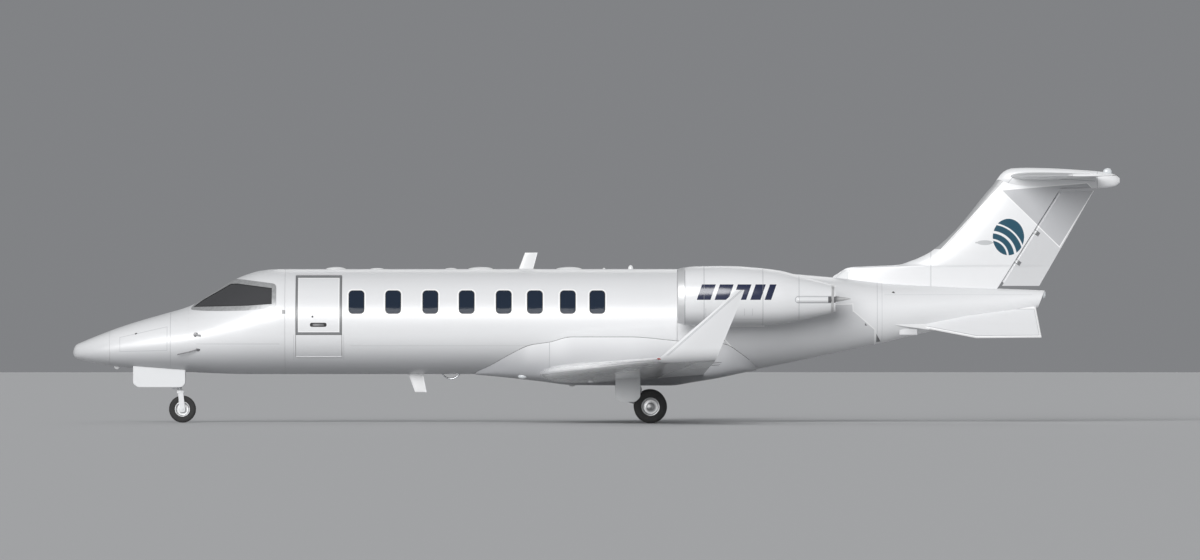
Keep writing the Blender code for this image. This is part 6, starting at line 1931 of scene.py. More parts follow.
lamp_body = [
    lathe("lamp_body", lamp_place, lamp_back, LAMP_BODY),
    rod("lamp_stem", (NOSE_LEG - 0.07, 0, 0.87), lamp_back, 0.010),
]
place_piece(merged("taxi_lamp_body", lamp_body), steel)
lamp_glass, lamp_shader, _, lamp_vector = begin("lamp_glass", (0.75, 0.78, 0.80), 0.08, coat=0.5)
flutes = noise(lamp_vector, 60.0, 1.0, (1, 6, 0.2))
lamp_tone = flutes.over((0.55, 0.58, 0.60), (0.86, 0.88, 0.90))
feed(lamp_shader, lamp_glass, Base_Color=lamp_tone, Roughness=0.05 + flutes * 0.1)
place_piece(lathe("taxi_lamp_lens", lamp_place, lamp_back, LAMP_LENS), lamp_glass)

for side, label in SIDES:
    inner = side * NOSE_DOOR_OFFSET
    parts = [plate("door", NOSE_DOOR, inner, inner + side * NOSE_DOOR_THICKNESS, 0.003, 0.03)]
    for s in NOSE_DOOR_HINGES:
        low, high = (s, inner - side * 0.012, 0.86), (s + 0.035, inner + side * 0.004, 0.98)
        parts.append(block("hinge", low, high, 0.003))
    nose_door = merged(f"nose_door_{label}", parts)
    place_piece(nose_door, gear_white, [f"nose_gear_door_{label}"])

# Main gear: a trailing arm sprung by a shock absorber on each leg, twin wheels on one axle with
# carbon brakes, a side brace and a leg door. All but the wheels, discs and piston is painted white.
MAIN_LEG = 9.42
MAIN_WHEEL = 9.75
MAIN_TRACK_HALF = 1.42
MAIN_WHEEL_SPACING = 0.145
MAIN_TYRE_RADIUS = 0.2795
MAIN_TYRE_WIDTH = 0.146
MAIN_RIM_RADIUS = 0.150
MAIN_AXLE_RADIUS = 0.040
MAIN_ARM_HALF = 0.040
MAIN_PIVOT_HEIGHT = 0.395
MAIN_ARM = ((9.40, 0.35), (9.75, 0.215), (9.81, 0.245), (9.812, 0.315), (9.75, 0.350), (9.44, 0.44))
MAIN_DOOR = ((9.16, 0.80), (9.16, 0.44), (9.24, 0.36), (9.50, 0.36), (9.58, 0.44), (9.58, 0.80))
HUB_CAP = ((-0.004, 0.040), (0.004, 0.038), (0.010, 0.026), (0.012, 0.004))
BRAKE_DISC = ((0, 0.050), (0, 0.116), (0.001, 0.118), (0.006, 0.118), (0.007, 0.116), (0.007, 0.050))
BRAKE_DISC_OFFSETS = (0.054, 0.064, 0.074)
SHOCK_JOINT = (MAIN_LEG + 0.155, 0.555)
SHOCK_FOOT = (MAIN_WHEEL - 0.10, 0.335)


def main_wheels(track):
    """The halves, hub caps and axle of a leg's twin wheels."""
    parts = []
    for way in (-1, 1):
        centre = (MAIN_WHEEL, track + way * MAIN_WHEEL_SPACING, MAIN_TYRE_RADIUS)
        for face, hub_half, hub_radius in ((way, 0.058, 0.046), (-way, 0.060, 0.056)):
            size = (MAIN_RIM_RADIUS, MAIN_TYRE_WIDTH / 2, hub_half, hub_radius)
            parts.append(wheel_half(centre, face, *size, bolts=9))
        cap = (MAIN_WHEEL, centre[1] + way * 0.058, MAIN_TYRE_RADIUS)
        parts.append(turned("cap", cap, way, HUB_CAP))
    return parts + [cross_rod("axle", (MAIN_WHEEL, track, MAIN_TYRE_RADIUS), 0.10, MAIN_AXLE_RADIUS)]


def main_leg(side, track):
    """The fixed parts of a leg, from its post in the wing to the trailing arm and the brakes."""
    pivot = (MAIN_LEG, track, MAIN_PIVOT_HEIGHT)
    shock = [(MAIN_LEG + 0.100, track, 0.72), (SHOCK_JOINT[0], track, SHOCK_JOINT[1])]
    brace = [(MAIN_LEG, track - side * 0.03, 0.50), (MAIN_LEG - 0.02, track - side * 0.34, 0.72)]
    eye = [(MAIN_LEG + reach, track - side * 0.055, 0.517) for reach in (-0.03, 0.03)]
    bracket = [(MAIN_LEG - 0.045, track, 0.600), (MAIN_LEG + 0.015, track + side * 0.245, 0.630)]
    parts = [
        rod("post", (MAIN_LEG, track, 0.40), (MAIN_LEG - 0.03, track, 0.80), 0.060, 0.075, edge=0.004),
        rod("collar", (MAIN_LEG - 0.008, track, 0.505), (MAIN_LEG - 0.011, track, 0.545), 0.073, edge=0.006),
        cross_rod("knuckle", pivot, 0.075, 0.055, edge=0.005),
        cross_rod("knuckle_pin", pivot, 0.086, 0.024, sides=6, edge=0.002),
        plate("arm", MAIN_ARM, track - MAIN_ARM_HALF, track + MAIN_ARM_HALF, 0.010, 0.05),
        rod("shock_body", *shock, 0.037, edge=0.004),
        cross_rod("shock_foot", (SHOCK_FOOT[0], track, SHOCK_FOOT[1]), 0.032, 0.032, edge=0.003),
        cross_rod("shock_head", (MAIN_LEG + 0.095, track, 0.725), 0.032, 0.034, edge=0.003),
        rod("lug", (MAIN_LEG - 0.02, track, 0.735), (MAIN_LEG + 0.10, track, 0.735), 0.026, edge=0.002),
        rod("brace", *brace, 0.024, 0.021),
        rod("brace_eye", *eye, 0.031, edge=0.003),
        block("bracket", *bracket, 0.004),
    ]
    for way in (-1, 1):
        low, high = (9.60, track + way * 0.041, 0.215), (9.66, track + way * 0.050, 0.345)
        parts.append(block("brake_housing", low, high, 0.003))
    return parts


for side, label in SIDES:
    track = side * MAIN_TRACK_HALF
    wheels = f"main_wheels_{label}"
    for inboard, spot in ((-1, "inner"), (1, "outer")):
        across = track + side * inboard * MAIN_WHEEL_SPACING
        name = f"main_rubber_{label}_{spot}"
        rubber = tyre(name, MAIN_WHEEL, across, MAIN_TYRE_RADIUS, MAIN_TYRE_WIDTH, MAIN_RIM_RADIUS)
        place_piece(rubber, tyre_rubber, [f"main_tyre_{label}_{spot}"], body=wheels)
    halves = merged(f"main_wheel_halves_{label}", main_wheels(track))
    place_piece(halves, wheel_paint, [f"main_rims_{label}"], body=wheels)
    discs = [
        turned("disc", (MAIN_WHEEL, track + way * offset, MAIN_TYRE_RADIUS), way, BRAKE_DISC, 72, "joined")
        for way in (-1, 1) for offset in BRAKE_DISC_OFFSETS
    ]
    place_piece(merged(f"brake_discs_{label}", discs), dark_metal, body=wheels)
    leg = merged(f"main_leg_parts_{label}", main_leg(side, track))
    place_piece(leg, gear_white, [f"main_leg_{label}"])
    shock_ends = [(station, track, height) for station, height in (SHOCK_JOINT, SHOCK_FOOT)]
    place_piece(rod(f"shock_piston_{label}", *shock_ends, 0.024), chrome)
    door_low, door_high = track + side * 0.238, track + side * 0.256
    leg_door = plate(f"leg_door_{label}", MAIN_DOOR, door_low, door_high, 0.003, 0.03)
    place_piece(leg_door, gear_white)

# Inside: a carpeted floor, dark grey cockpit linings, a side ledge with a wood top along each
# side of the cabin, an instrument panel with displays, two yokes and two thrust levers.
FLOOR_TOP = 1.06
FLOOR_THICKNESS = 0.04
FLOOR_REACH = (2.25, 10.05)
PANEL_FRONT = 2.36
PANEL_FOOT = 1.35
PANEL_LEAN = (0.06, 0.53)
PANEL_OUTLINE = (
    (PANEL_FRONT, PANEL_FOOT), (PANEL_FRONT + 0.10, PANEL_FOOT), (PANEL_FRONT + 0.16, 1.88),
    (PANEL_FRONT + 0.26, 1.90), (PANEL_FRONT + 0.26, 1.93), (PANEL_FRONT - 0.12, 1.93),
    (PANEL_FRONT - 0.04, 1.80),
)
PEDESTAL_TOP = 1.62
PEDESTAL_OUTLINE = (
    (PANEL_FRONT, FLOOR_TOP + SEAT), (PANEL_FRONT + 0.62, FLOOR_TOP + SEAT),
    (PANEL_FRONT + 0.62, 1.45), (PANEL_FRONT + 0.12, PEDESTAL_TOP), (PANEL_FRONT, PEDESTAL_TOP),
)
DISPLAYS = ((-0.52, 0.155), (-0.29, 0.185), (0.0, 0.215), (0.29, 0.185), (0.52, 0.155))
DISPLAY_HEIGHT = 1.70
AISLE_HALF = 0.155
LEDGE = ((4.68, 9.30), 0.655, 1.60, 1.645)
SIDE_WALL = 0.9
PANEL_KNOB = ((-0.004, 0.007), (0.010, 0.0065), (0.012, 0.005), (0.013, 0.001))
PANEL_DIAL = ((-0.004, 0.009), (0.008, 0.008), (0.009, 0.001))
PEDESTAL_KNOB = ((0.0, 0.010), (0.016, 0.009), (0.018, 0.001))
PEDESTAL_KNOBS = ((2.70, -0.035), (2.70, 0.035), (2.86, -0.05), (2.86, 0.0), (2.86, 0.05))
YOKES = (-0.27, 0.27)
YOKE_COLUMN = ((2.50, 0, 1.50), (2.62, 0, 1.515), (2.74, 0, 1.53), (2.78, 0, 1.532))
YOKE_HORN = (
    (2.775, -0.155, 1.655), (2.785, -0.165, 1.60), (2.79, -0.135, 1.535), (2.785, -0.05, 1.522),
    (2.785, 0.05, 1.522), (2.79, 0.135, 1.535), (2.785, 0.165, 1.60), (2.775, 0.155, 1.655),
)


def curve_through(points, count=30):
    """Points along a smooth path through the given ones, by the Catmull-Rom formula."""
    padded = np.concatenate(([2 * points[0] - points[1]], points, [2 * points[-1] - points[-2]]))
    result = []
    for place in spread(0, len(points) - 1, count):
        i = min(int(place), len(points) - 2)
        t = place - i
        a, b, c, d = padded[i:i + 4]
        square, cube = 2 * a - 5 * b + 4 * c - d, 3 * b - a - 3 * c + d
        result.append(0.5 * (2 * b + (c - a) * t + square * t * t + cube * t**3))
    return np.array(result)


def carpet():
    """Brown-grey cut pile with a paler runner along the aisle."""
    material, shader, (_, y, _), place = begin("floor_carpet", (0.10, 0.09, 0.08), 0.95)
    pile = noise(place, 420.0, 2.0)
    worn = noise(place, 3.0, 3.0)
    aisle = abs(y) < AISLE_HALF
    shown = worn.over((0.085, 0.077, 0.068), (0.125, 0.112, 0.098))
    shown = (aisle * 0.35).over(shown, (0.20, 0.18, 0.155))
    height = pile * 0.0035 - groove(abs(y), AISLE_HALF, 0.006) * 0.002
    feed(shader, material, Base_Color=shown, Roughness=0.88 + pile * 0.1, Normal=height.bump(0.9))
    return material


def wood():
    """Varnished walnut whose grain runs fore and aft."""
    material, shader, _, place = begin("walnut", (0.16, 0.075, 0.035), 0.25, coat=0.8)
    grain = noise(place, 9.0, 6.0, (0.25, 5.0, 5.0))
    shown = grain.step(0.30, 0.70).over((0.075, 0.033, 0.016), (0.20, 0.105, 0.052))
    feed(shader, material, Base_Color=shown, Roughness=0.20 + grain * 0.15)
    return material


def display_finish():
    """Dark glass with a plain lit picture: sky over ground, scale arcs and level lines."""
    material, shader, (_, y, z), _ = begin("display", (0.01, 0.012, 0.016), 0.12)
    aside = abs(abs(y) - 0.29).least(abs(abs(y) - 0.52)).least(abs(y))
    up = z - DISPLAY_HEIGHT
    reach = (aside**2 + up**2) ** 0.5
    arcs = groove(reach, 0.055, 0.0016).most(groove(reach, 0.036, 0.0012))
    scale = groove(up.maths("PINGPONG", up, 0.011), 0.0, 0.0011) * (aside < 0.012)
    sky = (up > 0.0).over((0.10, 0.045, 0.012), (0.012, 0.06, 0.16))
    picture = (arcs.most(scale) * 0.9).over(sky, (0.45, 0.75, 0.60))
    feed(shader, material, Base_Color=picture, Emission_Color=picture)
    shader.inputs["Emission Strength"].default_value = 0.8
    return material


def panel_place(across, along, off):
    """A point on the panel's rear face: along it from its middle height, and off it."""
    forward, rise = PANEL_LEAN
    lean = Vector((forward, 0.0, rise)).normalized()
    out = Vector((lean.z, 0.0, -lean.x))
    station = PANEL_FRONT + 0.10 + (DISPLAY_HEIGHT - PANEL_FOOT) * forward / rise
    return Vector((station, across, DISPLAY_HEIGHT)) + lean * along + out * off


def panel_tile(name, centre, size, corner, low, high, edge=0.002):
    """A rounded plate that lies on the instrument panel."""
    outline = np.array(rounded_rectangle(centre, size, corner, 5))
    small = inset_outline(outline, edge)
    levels = ((small, low), (outline, low + edge), (outline, high - edge), (small, high))
    return skin(name, [[panel_place(a, u, off) for a, u in ring] for ring, off in levels])


carpet_pile = carpet()
walnut = wood()
cockpit_vinyl = lining_marks("cockpit_vinyl", (0.052, 0.053, 0.056), (0.075, 0.076, 0.080), 0.48)
soft_black = stuff(
    "panel_plastic", (0.030, 0.031, 0.033), (0.048, 0.049, 0.052), 0.62, scale=40.0, bump=0.002,
)
knob_black = stuff("knob_black", (0.012, 0.012, 0.013), (0.022, 0.022, 0.024), 0.45, scale=60.0, bump=0.001)
display_glass = display_finish()

cockpit_lining = layer("cockpit_lining", COCKPIT_STATIONS[1:-1], WALL + LINING_GAP, WALL + 0.006)
for side, _ in SIDES:
    opening = slab("lining_opening", WINDSHIELD, side * CENTRE_POST_HALF, side * BEYOND)
    shape(cockpit_lining, "DIFFERENCE", opening)
place_piece(cockpit_lining, cockpit_vinyl)


def cavity(name, inset=WALL + SEAT):
    """The room inside the fuselage's wall from the cockpit to the cabin's rear, as a solid."""
    return skin(name, hull(spread(FLOOR_REACH[0] - 0.05, CABIN_END - WALL - 0.002, 60), inset))


def cockpit_controls():
    """Knobs and dials on the panel and the pedestal, two thrust levers and two yokes."""
    parts = []

    def on_panel(name, across, along, profile):
        """A round control that stands off the panel."""
        ends = [panel_place(across, along, off) for off in (0.0, 1.0)]
        parts.append(lathe(name, *ends, profile, 20))

    for middle, width in DISPLAYS:
        for i in range(4):
            on_panel("knob", middle + (i - 1.5) * width / 4, -0.118, PANEL_KNOB)
    for across in spread(-0.45, 0.45, 10):
        on_panel("dial", across, 0.125, PANEL_DIAL)
    for station, across in PEDESTAL_KNOBS:
        top = PEDESTAL_TOP - (station - PANEL_FRONT - 0.12) * 0.34
        parts.append(lathe("knob", (station, across, top - 0.004), (station, across, 3), PEDESTAL_KNOB, 20))
    for across in (-0.032, 0.032):
        head = (2.56, across, 1.70)
        parts.append(rod("lever", (2.60, across, 1.555), head, 0.008, 0.006))
        parts.append(cross_rod("lever_grip", head, 0.022, 0.014, edge=0.005))
    for across in YOKES:
        column, horn = (np.array(points) + (0, across, 0) for points in (YOKE_COLUMN, YOKE_HORN))
        parts.append(tube("column", curve_through(column, 16), 0.016, 16))
        parts.append(tube("horn", curve_through(horn, 40), 0.014, 14))
    return parts


floor_plan = rectangle(*FLOOR_REACH, -SIDE_WALL, SIDE_WALL)
carpet_floor = slab("carpet_floor", floor_plan, FLOOR_TOP - FLOOR_THICKNESS, FLOOR_TOP, plan_view)
shape(carpet_floor, "INTERSECT", cavity("floor_cavity"))
place_piece(carpet_floor, carpet_pile, ["cabin_floor"])
(ledge_front, ledge_rear), ledge_inner, ledge_low, ledge_top = LEDGE
for side, label in SIDES:
    low, high = (ledge_front, side * ledge_inner, ledge_low), (ledge_rear, side * SIDE_WALL, ledge_top)
    ledge = block(f"side_ledge_{label}", low, high, 0.010)
    shape(ledge, "INTERSECT", cavity("ledge_cavity", WALL - 0.002))
    place_piece(ledge, walnut)

panel_solid = slab("board", rounded(PANEL_OUTLINE, 0.012, 4), -SIDE_WALL, SIDE_WALL)
shape(panel_solid, "INTERSECT", cavity("panel_cavity"))
pedestal = plate("pedestal", PEDESTAL_OUTLINE, -0.10, 0.10, 0.006, 0.03)
bezels = [
    panel_tile("bezel", (middle, 0.0), (width + 0.020, 0.185), 0.012, -0.004, 0.006)
    for middle, width in DISPLAYS
]
board = merged("instrument_board", [panel_solid, pedestal] + bezels)
place_piece(board, soft_black, ["instrument_panel"])
screens = [
    panel_tile("screen", (middle, 0.0), (width, 0.160), 0.006, -0.002, 0.0072, 0.0006)
    for middle, width in DISPLAYS
]
place_piece(merged("displays", screens), display_glass)
place_piece(merged("cockpit_controls", cockpit_controls()), knob_black)

# Seats: leather over foam, each a seat cushion, a back cushion and a head rest on a moulded
# shell, with armrests. The cushions are made by formula, with sewn channels.
CABIN_SEATS = ((5.35, 1), (6.45, -1), (7.35, 1), (8.45, -1))
CABIN_SEAT_CENTRE = 0.43
CABIN_SEAT_SIZE = (0.49, 0.335, 0.44)
PILOT_SEAT_CENTRE = 0.27
PILOT_SEAT_SIZE = (0.44, 0.36, 0.40)
PILOT_SEAT_BACK = 3.48
SEAT_BASE = 1.36
PILOT_SEAT_BASE = 1.42
BACK_LEAN = math.radians(12.4)
SHELL_OUTLINE = (
    (-0.095, 0.06), (-0.12, 0.10), (-0.192, 0.66), (-0.16, 0.715), (-0.10, 0.70), (-0.075, 0.40),
    (-0.045, 0.12), (-0.04, 0.06),
)
ARM_OUTLINE = ((-0.08, 0.20), (0.34, 0.20), (0.36, 0.235), (0.33, 0.262), (-0.06, 0.262), (-0.09, 0.24))
ARM_SIDE_OUTLINE = ((0.02, 0.02), (0.24, 0.02), (0.26, 0.21), (0.0, 0.21))
CHANNEL_DEPTH = 0.011
RAIL_CENTRE = 0.33
RAIL_OFFSET = 0.038


def pillow(name, middle, ahead, above, size, crown, channels=(), across_channels=()):
    """A closed cushion of two sewn panels.

    With a and b from -1 to 1 along and across it, each panel is (1-|a|^4)^(1/4) times
    (1-|b|^4)^(1/4) high, raised by crown (1-a^2)(1-b^2), and lowered in each channel by a
    narrow bell. The sides pull in by 4% at their middles, and the corners are rounded.
    """
    ahead, above = Vector(ahead).normalized(), Vector(above).normalized()
    aside = above.cross(ahead)
    length, width, depth = (extent / 2 for extent in size)
    a = np.sin(spread(-math.pi / 2, math.pi / 2, 33))[None, :]
    b = np.sin(spread(-math.pi / 2 + 0.05, math.pi / 2 - 0.05, 27))[:, None]
    along = a * (1 - 0.04 * (1 - b**2)) * np.sqrt(1 - 0.16 * b**8)
    across = b * (1 - 0.04 * (1 - a**2)) * np.sqrt(1 - 0.16 * a**8)
    edge = (np.maximum(1 - np.abs(a) ** 4, 0) * np.maximum(1 - np.abs(b) ** 4, 0)) ** 0.25
    top = depth * edge + crown * (1 - a**2) * (1 - b**2)
    for channel in channels:
        top = top - CHANNEL_DEPTH * np.exp(-(((a - channel) / 0.028) ** 2)) * edge
    for channel in across_channels:
        top = top - CHANNEL_DEPTH * np.exp(-(((b - channel) / 0.030) ** 2)) * edge
    bottom = -depth * edge
    along, across = np.broadcast_arrays(along * length, across * width)
    rings = [
        np.concatenate((
            np.stack((along[i], across[i], top[i]), axis=1),
            np.stack((along[i], across[i], bottom[i]), axis=1)[-2:0:-1],
        )) for i in range(len(b))
    ]
    turn = np.array((ahead, aside, above))
    return skin(name, [np.array(middle) + ring @ turn for ring in rings])


def leather(name, dark, light):
    """Soft leather: pebbled grain, faint creases and a slow change of colour."""
    material, shader, _, place = begin(name, light, 0.48, coat=0.08)
    pebbles = place.node("ShaderNodeTexVoronoi", {"feature": "SMOOTH_F1"}, {"Vector": place, "Scale": 420.0})
    crease = noise(place, 28.0, 5.0, (1, 1, 2.5))
    tone = noise(place, 3.0, 3.0)
    height = pebbles * 0.0005 + crease.step(0.45, 0.62) * 0.0007
    shown = (tone * 0.7 + crease * 0.3).step(0.3, 0.7).over(dark, light)
    feed(shader, material, Base_Color=shown, Roughness=0.40 + crease * 0.18, Normal=height.bump(0.7))
    return material


def seat(label, station, facing, centre, base, reach, width, body_width, arms=True):
    """One seat: places its three cushions, and returns the hard parts that carry them.

    Its sizes are the seat cushion's reach, the cushions' width and the whole width.
    """
    forward = Vector((facing, 0, 0))
    up = Vector((0, 0, 1))
    rise = Vector((-facing * math.sin(BACK_LEAN), 0, math.cos(BACK_LEAN)))
    outward = Vector((facing * math.cos(BACK_LEAN), 0, math.sin(BACK_LEAN)))
    root = Vector((station, centre, base))
    places = [root + forward * ahead + up * high for ahead, high in (
        (reach / 2 + 0.01, 0.078), (-0.035, 0.385), (-0.105, 0.655),
    )]
    cushions = (
        pillow(
            f"seat_cushion_{label}", places[0], forward + up * 0.03, up - forward * 0.03,
            (reach, width, 0.105), 0.016, (-0.35, 0.05, 0.45),
        ),
        pillow(
            f"seat_back_{label}", places[1], rise, outward,
            (0.56, width, 0.105), 0.014, (-0.55, -0.2, 0.15), (-0.72, 0.72),
        ),
        pillow(f"seat_headrest_{label}", places[2], rise, outward, (0.13, width * 0.66, 0.085), 0.010),
    )
    for piece in cushions:
        place_piece(piece, cabin_leather, sharp=60)

    def seat_plate(name, outline, middle, half, edge, radius):
        """A plate from an outline of how far ahead of the seat's back and above its base."""
        side_places = [(station + facing * ahead, base + high) for ahead, high in outline]
        return plate(name, side_places, middle - half, middle + half, edge, radius)

    pan = ((-0.06, 0.0), (reach - 0.02, 0.018), (reach + 0.005, 0.045), (-0.06, 0.045))
    hard = [
        seat_plate("shell", SHELL_OUTLINE, centre, body_width / 2 - 0.02, 0.012, 0.03),
        seat_plate("pan", pan, centre, body_width / 2 - 0.015, 0.006, 0.015),
    ]
    for side in (-1, 1) if arms else ():
        middle = centre + side * (body_width / 2 - 0.028)
        hard.append(seat_plate("arm", ARM_OUTLINE, middle, 0.026, 0.010, 0.02))
        hard.append(seat_plate("arm_side", ARM_SIDE_OUTLINE, middle, 0.014, 0.005, 0.03))
    return hard


cabin_leather = leather("cabin_leather", (0.40, 0.33, 0.25), (0.52, 0.44, 0.35))
shell_plastic = stuff("seat_shell", (0.26, 0.235, 0.20), (0.33, 0.30, 0.26), 0.42, scale=30.0, bump=0.001)
for side, label in SIDES:
    hard = []
    bases = []
    rail = side * RAIL_CENTRE
    for number, (station, facing) in enumerate(CABIN_SEATS, 1):
        back = station - facing * 0.20
        place = (back, facing, side * CABIN_SEAT_CENTRE, SEAT_BASE)
        hard += seat(f"{label}_{number}", *place, *CABIN_SEAT_SIZE)
        middle = back + facing * 0.22
        low = (middle - 0.13, rail - 0.08, FLOOR_TOP + 0.016)
        bases.append(block("seat_base", low, (middle + 0.13, rail + 0.08, SEAT_BASE + 0.01), 0.020))
    shells = merged(f"seat_shells_{label}", hard)
    place_piece(shells, shell_plastic, [f"cabin_seats_{label}"])
    place_piece(merged(f"seat_bases_{label}", bases), frame_metal)
    front, rear = CABIN_SEATS[0][0] - 0.25, CABIN_SEATS[-1][0] + 0.25
    rails = []
    for across in (rail - RAIL_OFFSET, rail + RAIL_OFFSET):
        low, high = (front, across - 0.011, FLOOR_TOP + SEAT), (rear, across + 0.011, FLOOR_TOP + 0.020)
        rails.append(block("rail", low, high, 0.003))
    place_piece(merged(f"seat_rails_{label}", rails), wheel_paint)
    pilot = side * PILOT_SEAT_CENTRE
    hard = seat(f"pilot_{label}", PILOT_SEAT_BACK, -1, pilot, PILOT_SEAT_BASE, *PILOT_SEAT_SIZE, arms=False)
    low, high = (3.13, pilot - 0.09, FLOOR_TOP + SEAT), (3.39, pilot + 0.09, PILOT_SEAT_BASE + 0.01)
    pilot_shell = merged(f"pilot_seat_shell_{label}", hard + [block("pilot_base", low, high, 0.02)])
    place_piece(pilot_shell, soft_black, [f"pilot_seat_{label}"])

# Aerials, probes and lights: blade and low domed aerials, a looped one below, air data probes
# with bare metal tips, and lamps behind clear covers.
TOP_BLADE = ((7.525, 7.768), (7.635, 7.848), 2.58, 2.872, 2.591)
BOTTOM_BLADE = ((5.660, 5.909), (5.777, 5.973), 0.835, 0.516, 0.824)
BLADE_THICKNESS = 0.030
BLADE_LEVELS = ((0, 1), (0.3, 1), (0.6, 1), (0.85, 1), (0.94, 0.92), (0.98, 0.72), (1.0, 0.35))
CROWN_DOMES = (
    (4.27, 4.61, 0.10, 0.034), (5.017, 5.253, 0.07, 0.018), (6.284, 6.486, 0.06, 0.018),
    (6.672, 7.095, 0.11, 0.034), (8.159, 8.598, 0.11, 0.034), (8.945, 8.995, 0.02, 0.020),
    (9.375, 9.465, 0.03, 0.066),
)
KEEL_BUMPS = (
    (8.43, 0.055, 0.028, 0.632, 0.022), (9.49, 0.075, 0.030, 0.628, 0.024),
    (0.743, 0.050, 0.018, 0.945, 0.042),
)
LOOP_AERIAL = (
    (6.236, 0, 0.83), (6.262, 0, 0.795), (6.305, 0, 0.762), (6.345, 0, 0.745), (6.385, 0, 0.741),
    (6.425, 0, 0.745), (6.465, 0, 0.762), (6.508, 0, 0.795), (6.534, 0, 0.83),
)
PITOT_PATH = (
    (2.128, 1.243, -0.01), (2.10, 1.235, 0.035), (2.01, 1.205, 0.060), (1.90, 1.178, 0.075),
    (1.774, 1.152, 0.105),
)
PITOT_FOOT = ((0, 0.036), (0.006, 0.034), (0.008, 0.030), (0.009, 0.001))
VANE_DISC = ((0, 0.040), (0.006, 0.038), (0.008, 0.034), (0.009, 0.001))
VANE_ENDS = ((2.075, 1.487, 0.010), (2.165, 1.472, 0.016))
STATIC_PORTS = ((1.076, 1.497, 0.022), (13.85, 2.190, 0.026))
CLEAR_LAMPS = (
    ("tail_lamp", (16.385, 0, 2.165), (0.050, 0.050, 0.070)),
    ("beacon_lamp", (17.475, 0, 4.235), (0.075, 0.042, 0.065)),
    ("landing_lamp", (7.60, -0.625, 0.787), (0.085, 0.070, 0.045)),
    ("landing_lamp", (7.60, 0.625, 0.787), (0.085, 0.070, 0.045)),
)
NAV_TINTS = ((0.30, 0.035, 0.03), (0.02, 0.22, 0.06))
NAV_LAMP_HEIGHT = 1.105
STRAKE = ((13.88, 0.425, 1.650), (14.46, 0.375, 1.572), (14.46, 0.270, 1.705))
AILERON_WICKS = (5.0, 5.7, 6.4)
ELEVATOR_WICKS = (1.6, 2.2)


def dome(name, centre, radii, sides=32, rings=17):
    """A closed ellipsoid."""
    angle = np.arange(sides) * 2 * math.pi / sides
    made = []
    for turn in spread(0.04, math.pi - 0.04, rings):
        level, out = np.full(sides, -radii[0] * math.cos(turn)), math.sin(turn)
        ring = np.stack((level, radii[1] * out * np.cos(angle), radii[2] * out * np.sin(angle)), axis=1)
        made.append(ring + np.array(centre))
    return skin(name, made)


def blade_aerial(name, numbers):
    """An aerial blade that sweeps aft, with a rounded tip, on a flat foot."""
    root, tip, base, top, foot_height = numbers
    rings = []
    for share, close in BLADE_LEVELS:
        front, rear = (low + (high - low) * share for low, high in zip(root, tip))
        section = blade_section(rear - front, BLADE_THICKNESS * close * (1 - 0.25 * share))
        rings.append(level_ring(front, section, base + (top - base) * share))
    foot = dome("foot", (sum(root) / 2, 0, foot_height), (0.165, 0.045, 0.012))
    return merged(name, [skin("blade", rings), foot])


def outboard(side, station, height, out):
    """A point some distance outboard of the fuselage."""
    return (station, side * (float(hull_half_width(station, height)) + out), height)


def air_data_probes(side):
    """A bent pitot tube on its foot, and a vane on its disc."""
    path = np.array([outboard(side, *place) for place in PITOT_PATH])
    parts = [
        tube("pitot", curve_through(path, 40), 0.0095, 16),
        turned("pitot_foot", outboard(side, 2.128, 1.243, -0.004), side, PITOT_FOOT),
        turned("vane_disc", outboard(side, 2.088, 1.485, -0.004), side, VANE_DISC),
    ]
    (hub, hub_half), (tail, tail_half) = (
        (np.array(outboard(side, station, height, 0.0)), np.array((0, 0, half)))
        for station, height, half in VANE_ENDS
    )
    vane = [hub + hub_half, hub - hub_half, tail - tail_half, tail + tail_half]
    return parts + [skin("vane", [[point + (0, side * out, 0) for point in vane] for out in (0.002, 0.026)])]


aerial_paint = paint("aerial_paint", colour=(0.78, 0.785, 0.79), gloss=0.40)
top_blade = blade_aerial("top_blade", TOP_BLADE)
place_piece(top_blade, aerial_paint, ["top_antenna"])
bottom_blade = blade_aerial("bottom_blade", BOTTOM_BLADE)
place_piece(bottom_blade, aerial_paint, ["bottom_antenna"])
domes = [
    dome("crown_dome", ((front + rear) / 2, 0, 2.590), ((rear - front) / 2, width, height + 0.005))
    for front, rear, width, height in CROWN_DOMES
]
domes += [dome("keel_bump", (s, 0, z), (reach, width, drop)) for s, reach, width, z, drop in KEEL_BUMPS]
place_piece(merged("domed_aerials", domes), aerial_paint)
loop = tube("loop_aerial", curve_through(np.array(LOOP_AERIAL), 48), 0.0125, 14)
place_piece(loop, chrome)

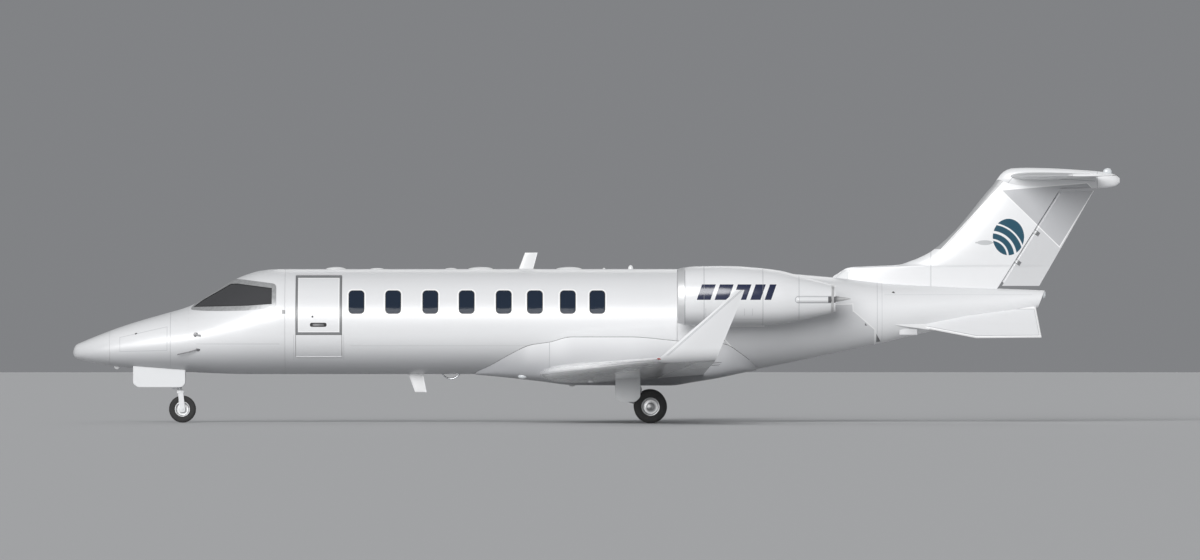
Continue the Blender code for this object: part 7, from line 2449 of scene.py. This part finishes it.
probe_metal = stuff("probe_metal", (0.17, 0.17, 0.175), (0.25, 0.25, 0.255), 0.42, 0.5)
port_metal = stuff("port_metal", (0.05, 0.05, 0.052), (0.09, 0.09, 0.094), 0.45, 0.6)
probes = []
ports = []
for side, _ in SIDES:
    probes += air_data_probes(side)
    for station, height, size in STATIC_PORTS:
        profile = ((0, size), (0.0065, size), (0.0072, size * 0.9), (0.0073, 0.001))
        ports.append(turned("port", outboard(side, station, height, -0.006), side, profile, 24))
place_piece(merged("air_data_probes", probes), probe_metal)
place_piece(merged("static_ports", ports), port_metal)

clear_lamps = merged("clear_lamps", [dome(*lamp_shape) for lamp_shape in CLEAR_LAMPS])
place_piece(clear_lamps, lamp_glass)
for (side, label), tint in zip(SIDES, NAV_TINTS):
    lit = tuple(min(1.0, c * 1.4 + 0.03) for c in tint)
    nav_glass = stuff(f"nav_lens_{label}", tint, lit, 0.10, scale=30.0, coat=0.6)
    centre = (float(winglet_front(1.11)) + 0.012, (WING_TIP + 0.10) * side, NAV_LAMP_HEIGHT)
    lens = dome(f"nav_lamp_{label}", centre, (0.055, 0.042, 0.016))
    place_piece(lens, nav_glass)

box_paint = paint("box_paint", colour=(0.60, 0.605, 0.615), gloss=0.40)
for side, label in SIDES:
    root = np.array(STRAKE) * (1, side, 1)
    strake = skin(f"ventral_strake_{label}", [root, root + np.array((0, -side * 0.030, -0.012))])
    place_piece(strake, aerial_paint)
    fitting = block(f"ventral_box_{label}", (13.95, side * 0.20, 1.480), (14.26, side * 0.335, 1.600), 0.010)
    place_piece(fitting, box_paint)


def wick(rear, across, height, reach, drop):
    """A thin rod that trails from a surface's rear edge."""
    start, end = (rear - 0.015, across, height), (rear + reach, across, height - drop)
    return rod("wick", start, end, 0.0045, 0.003, 8, 0.0004)


for side, label in SIDES:
    rods = [
        wick(between_ribs(WING_TRAILING_EDGE, a), side * a, between_ribs(WING_HEIGHT, a), 0.13, 0.008)
        for a in AILERON_WICKS
    ]
    place_piece(merged(f"wicks_aileron_{label}", rods), knob_black, body=f"aileron_{label}")
    rods = [wick(tail_edges(a)[1], side * a, TAIL_HEIGHT, 0.12, 0) for a in ELEVATOR_WICKS]
    place_piece(merged(f"wicks_elevator_{label}", rods), knob_black, body=f"elevator_{label}")
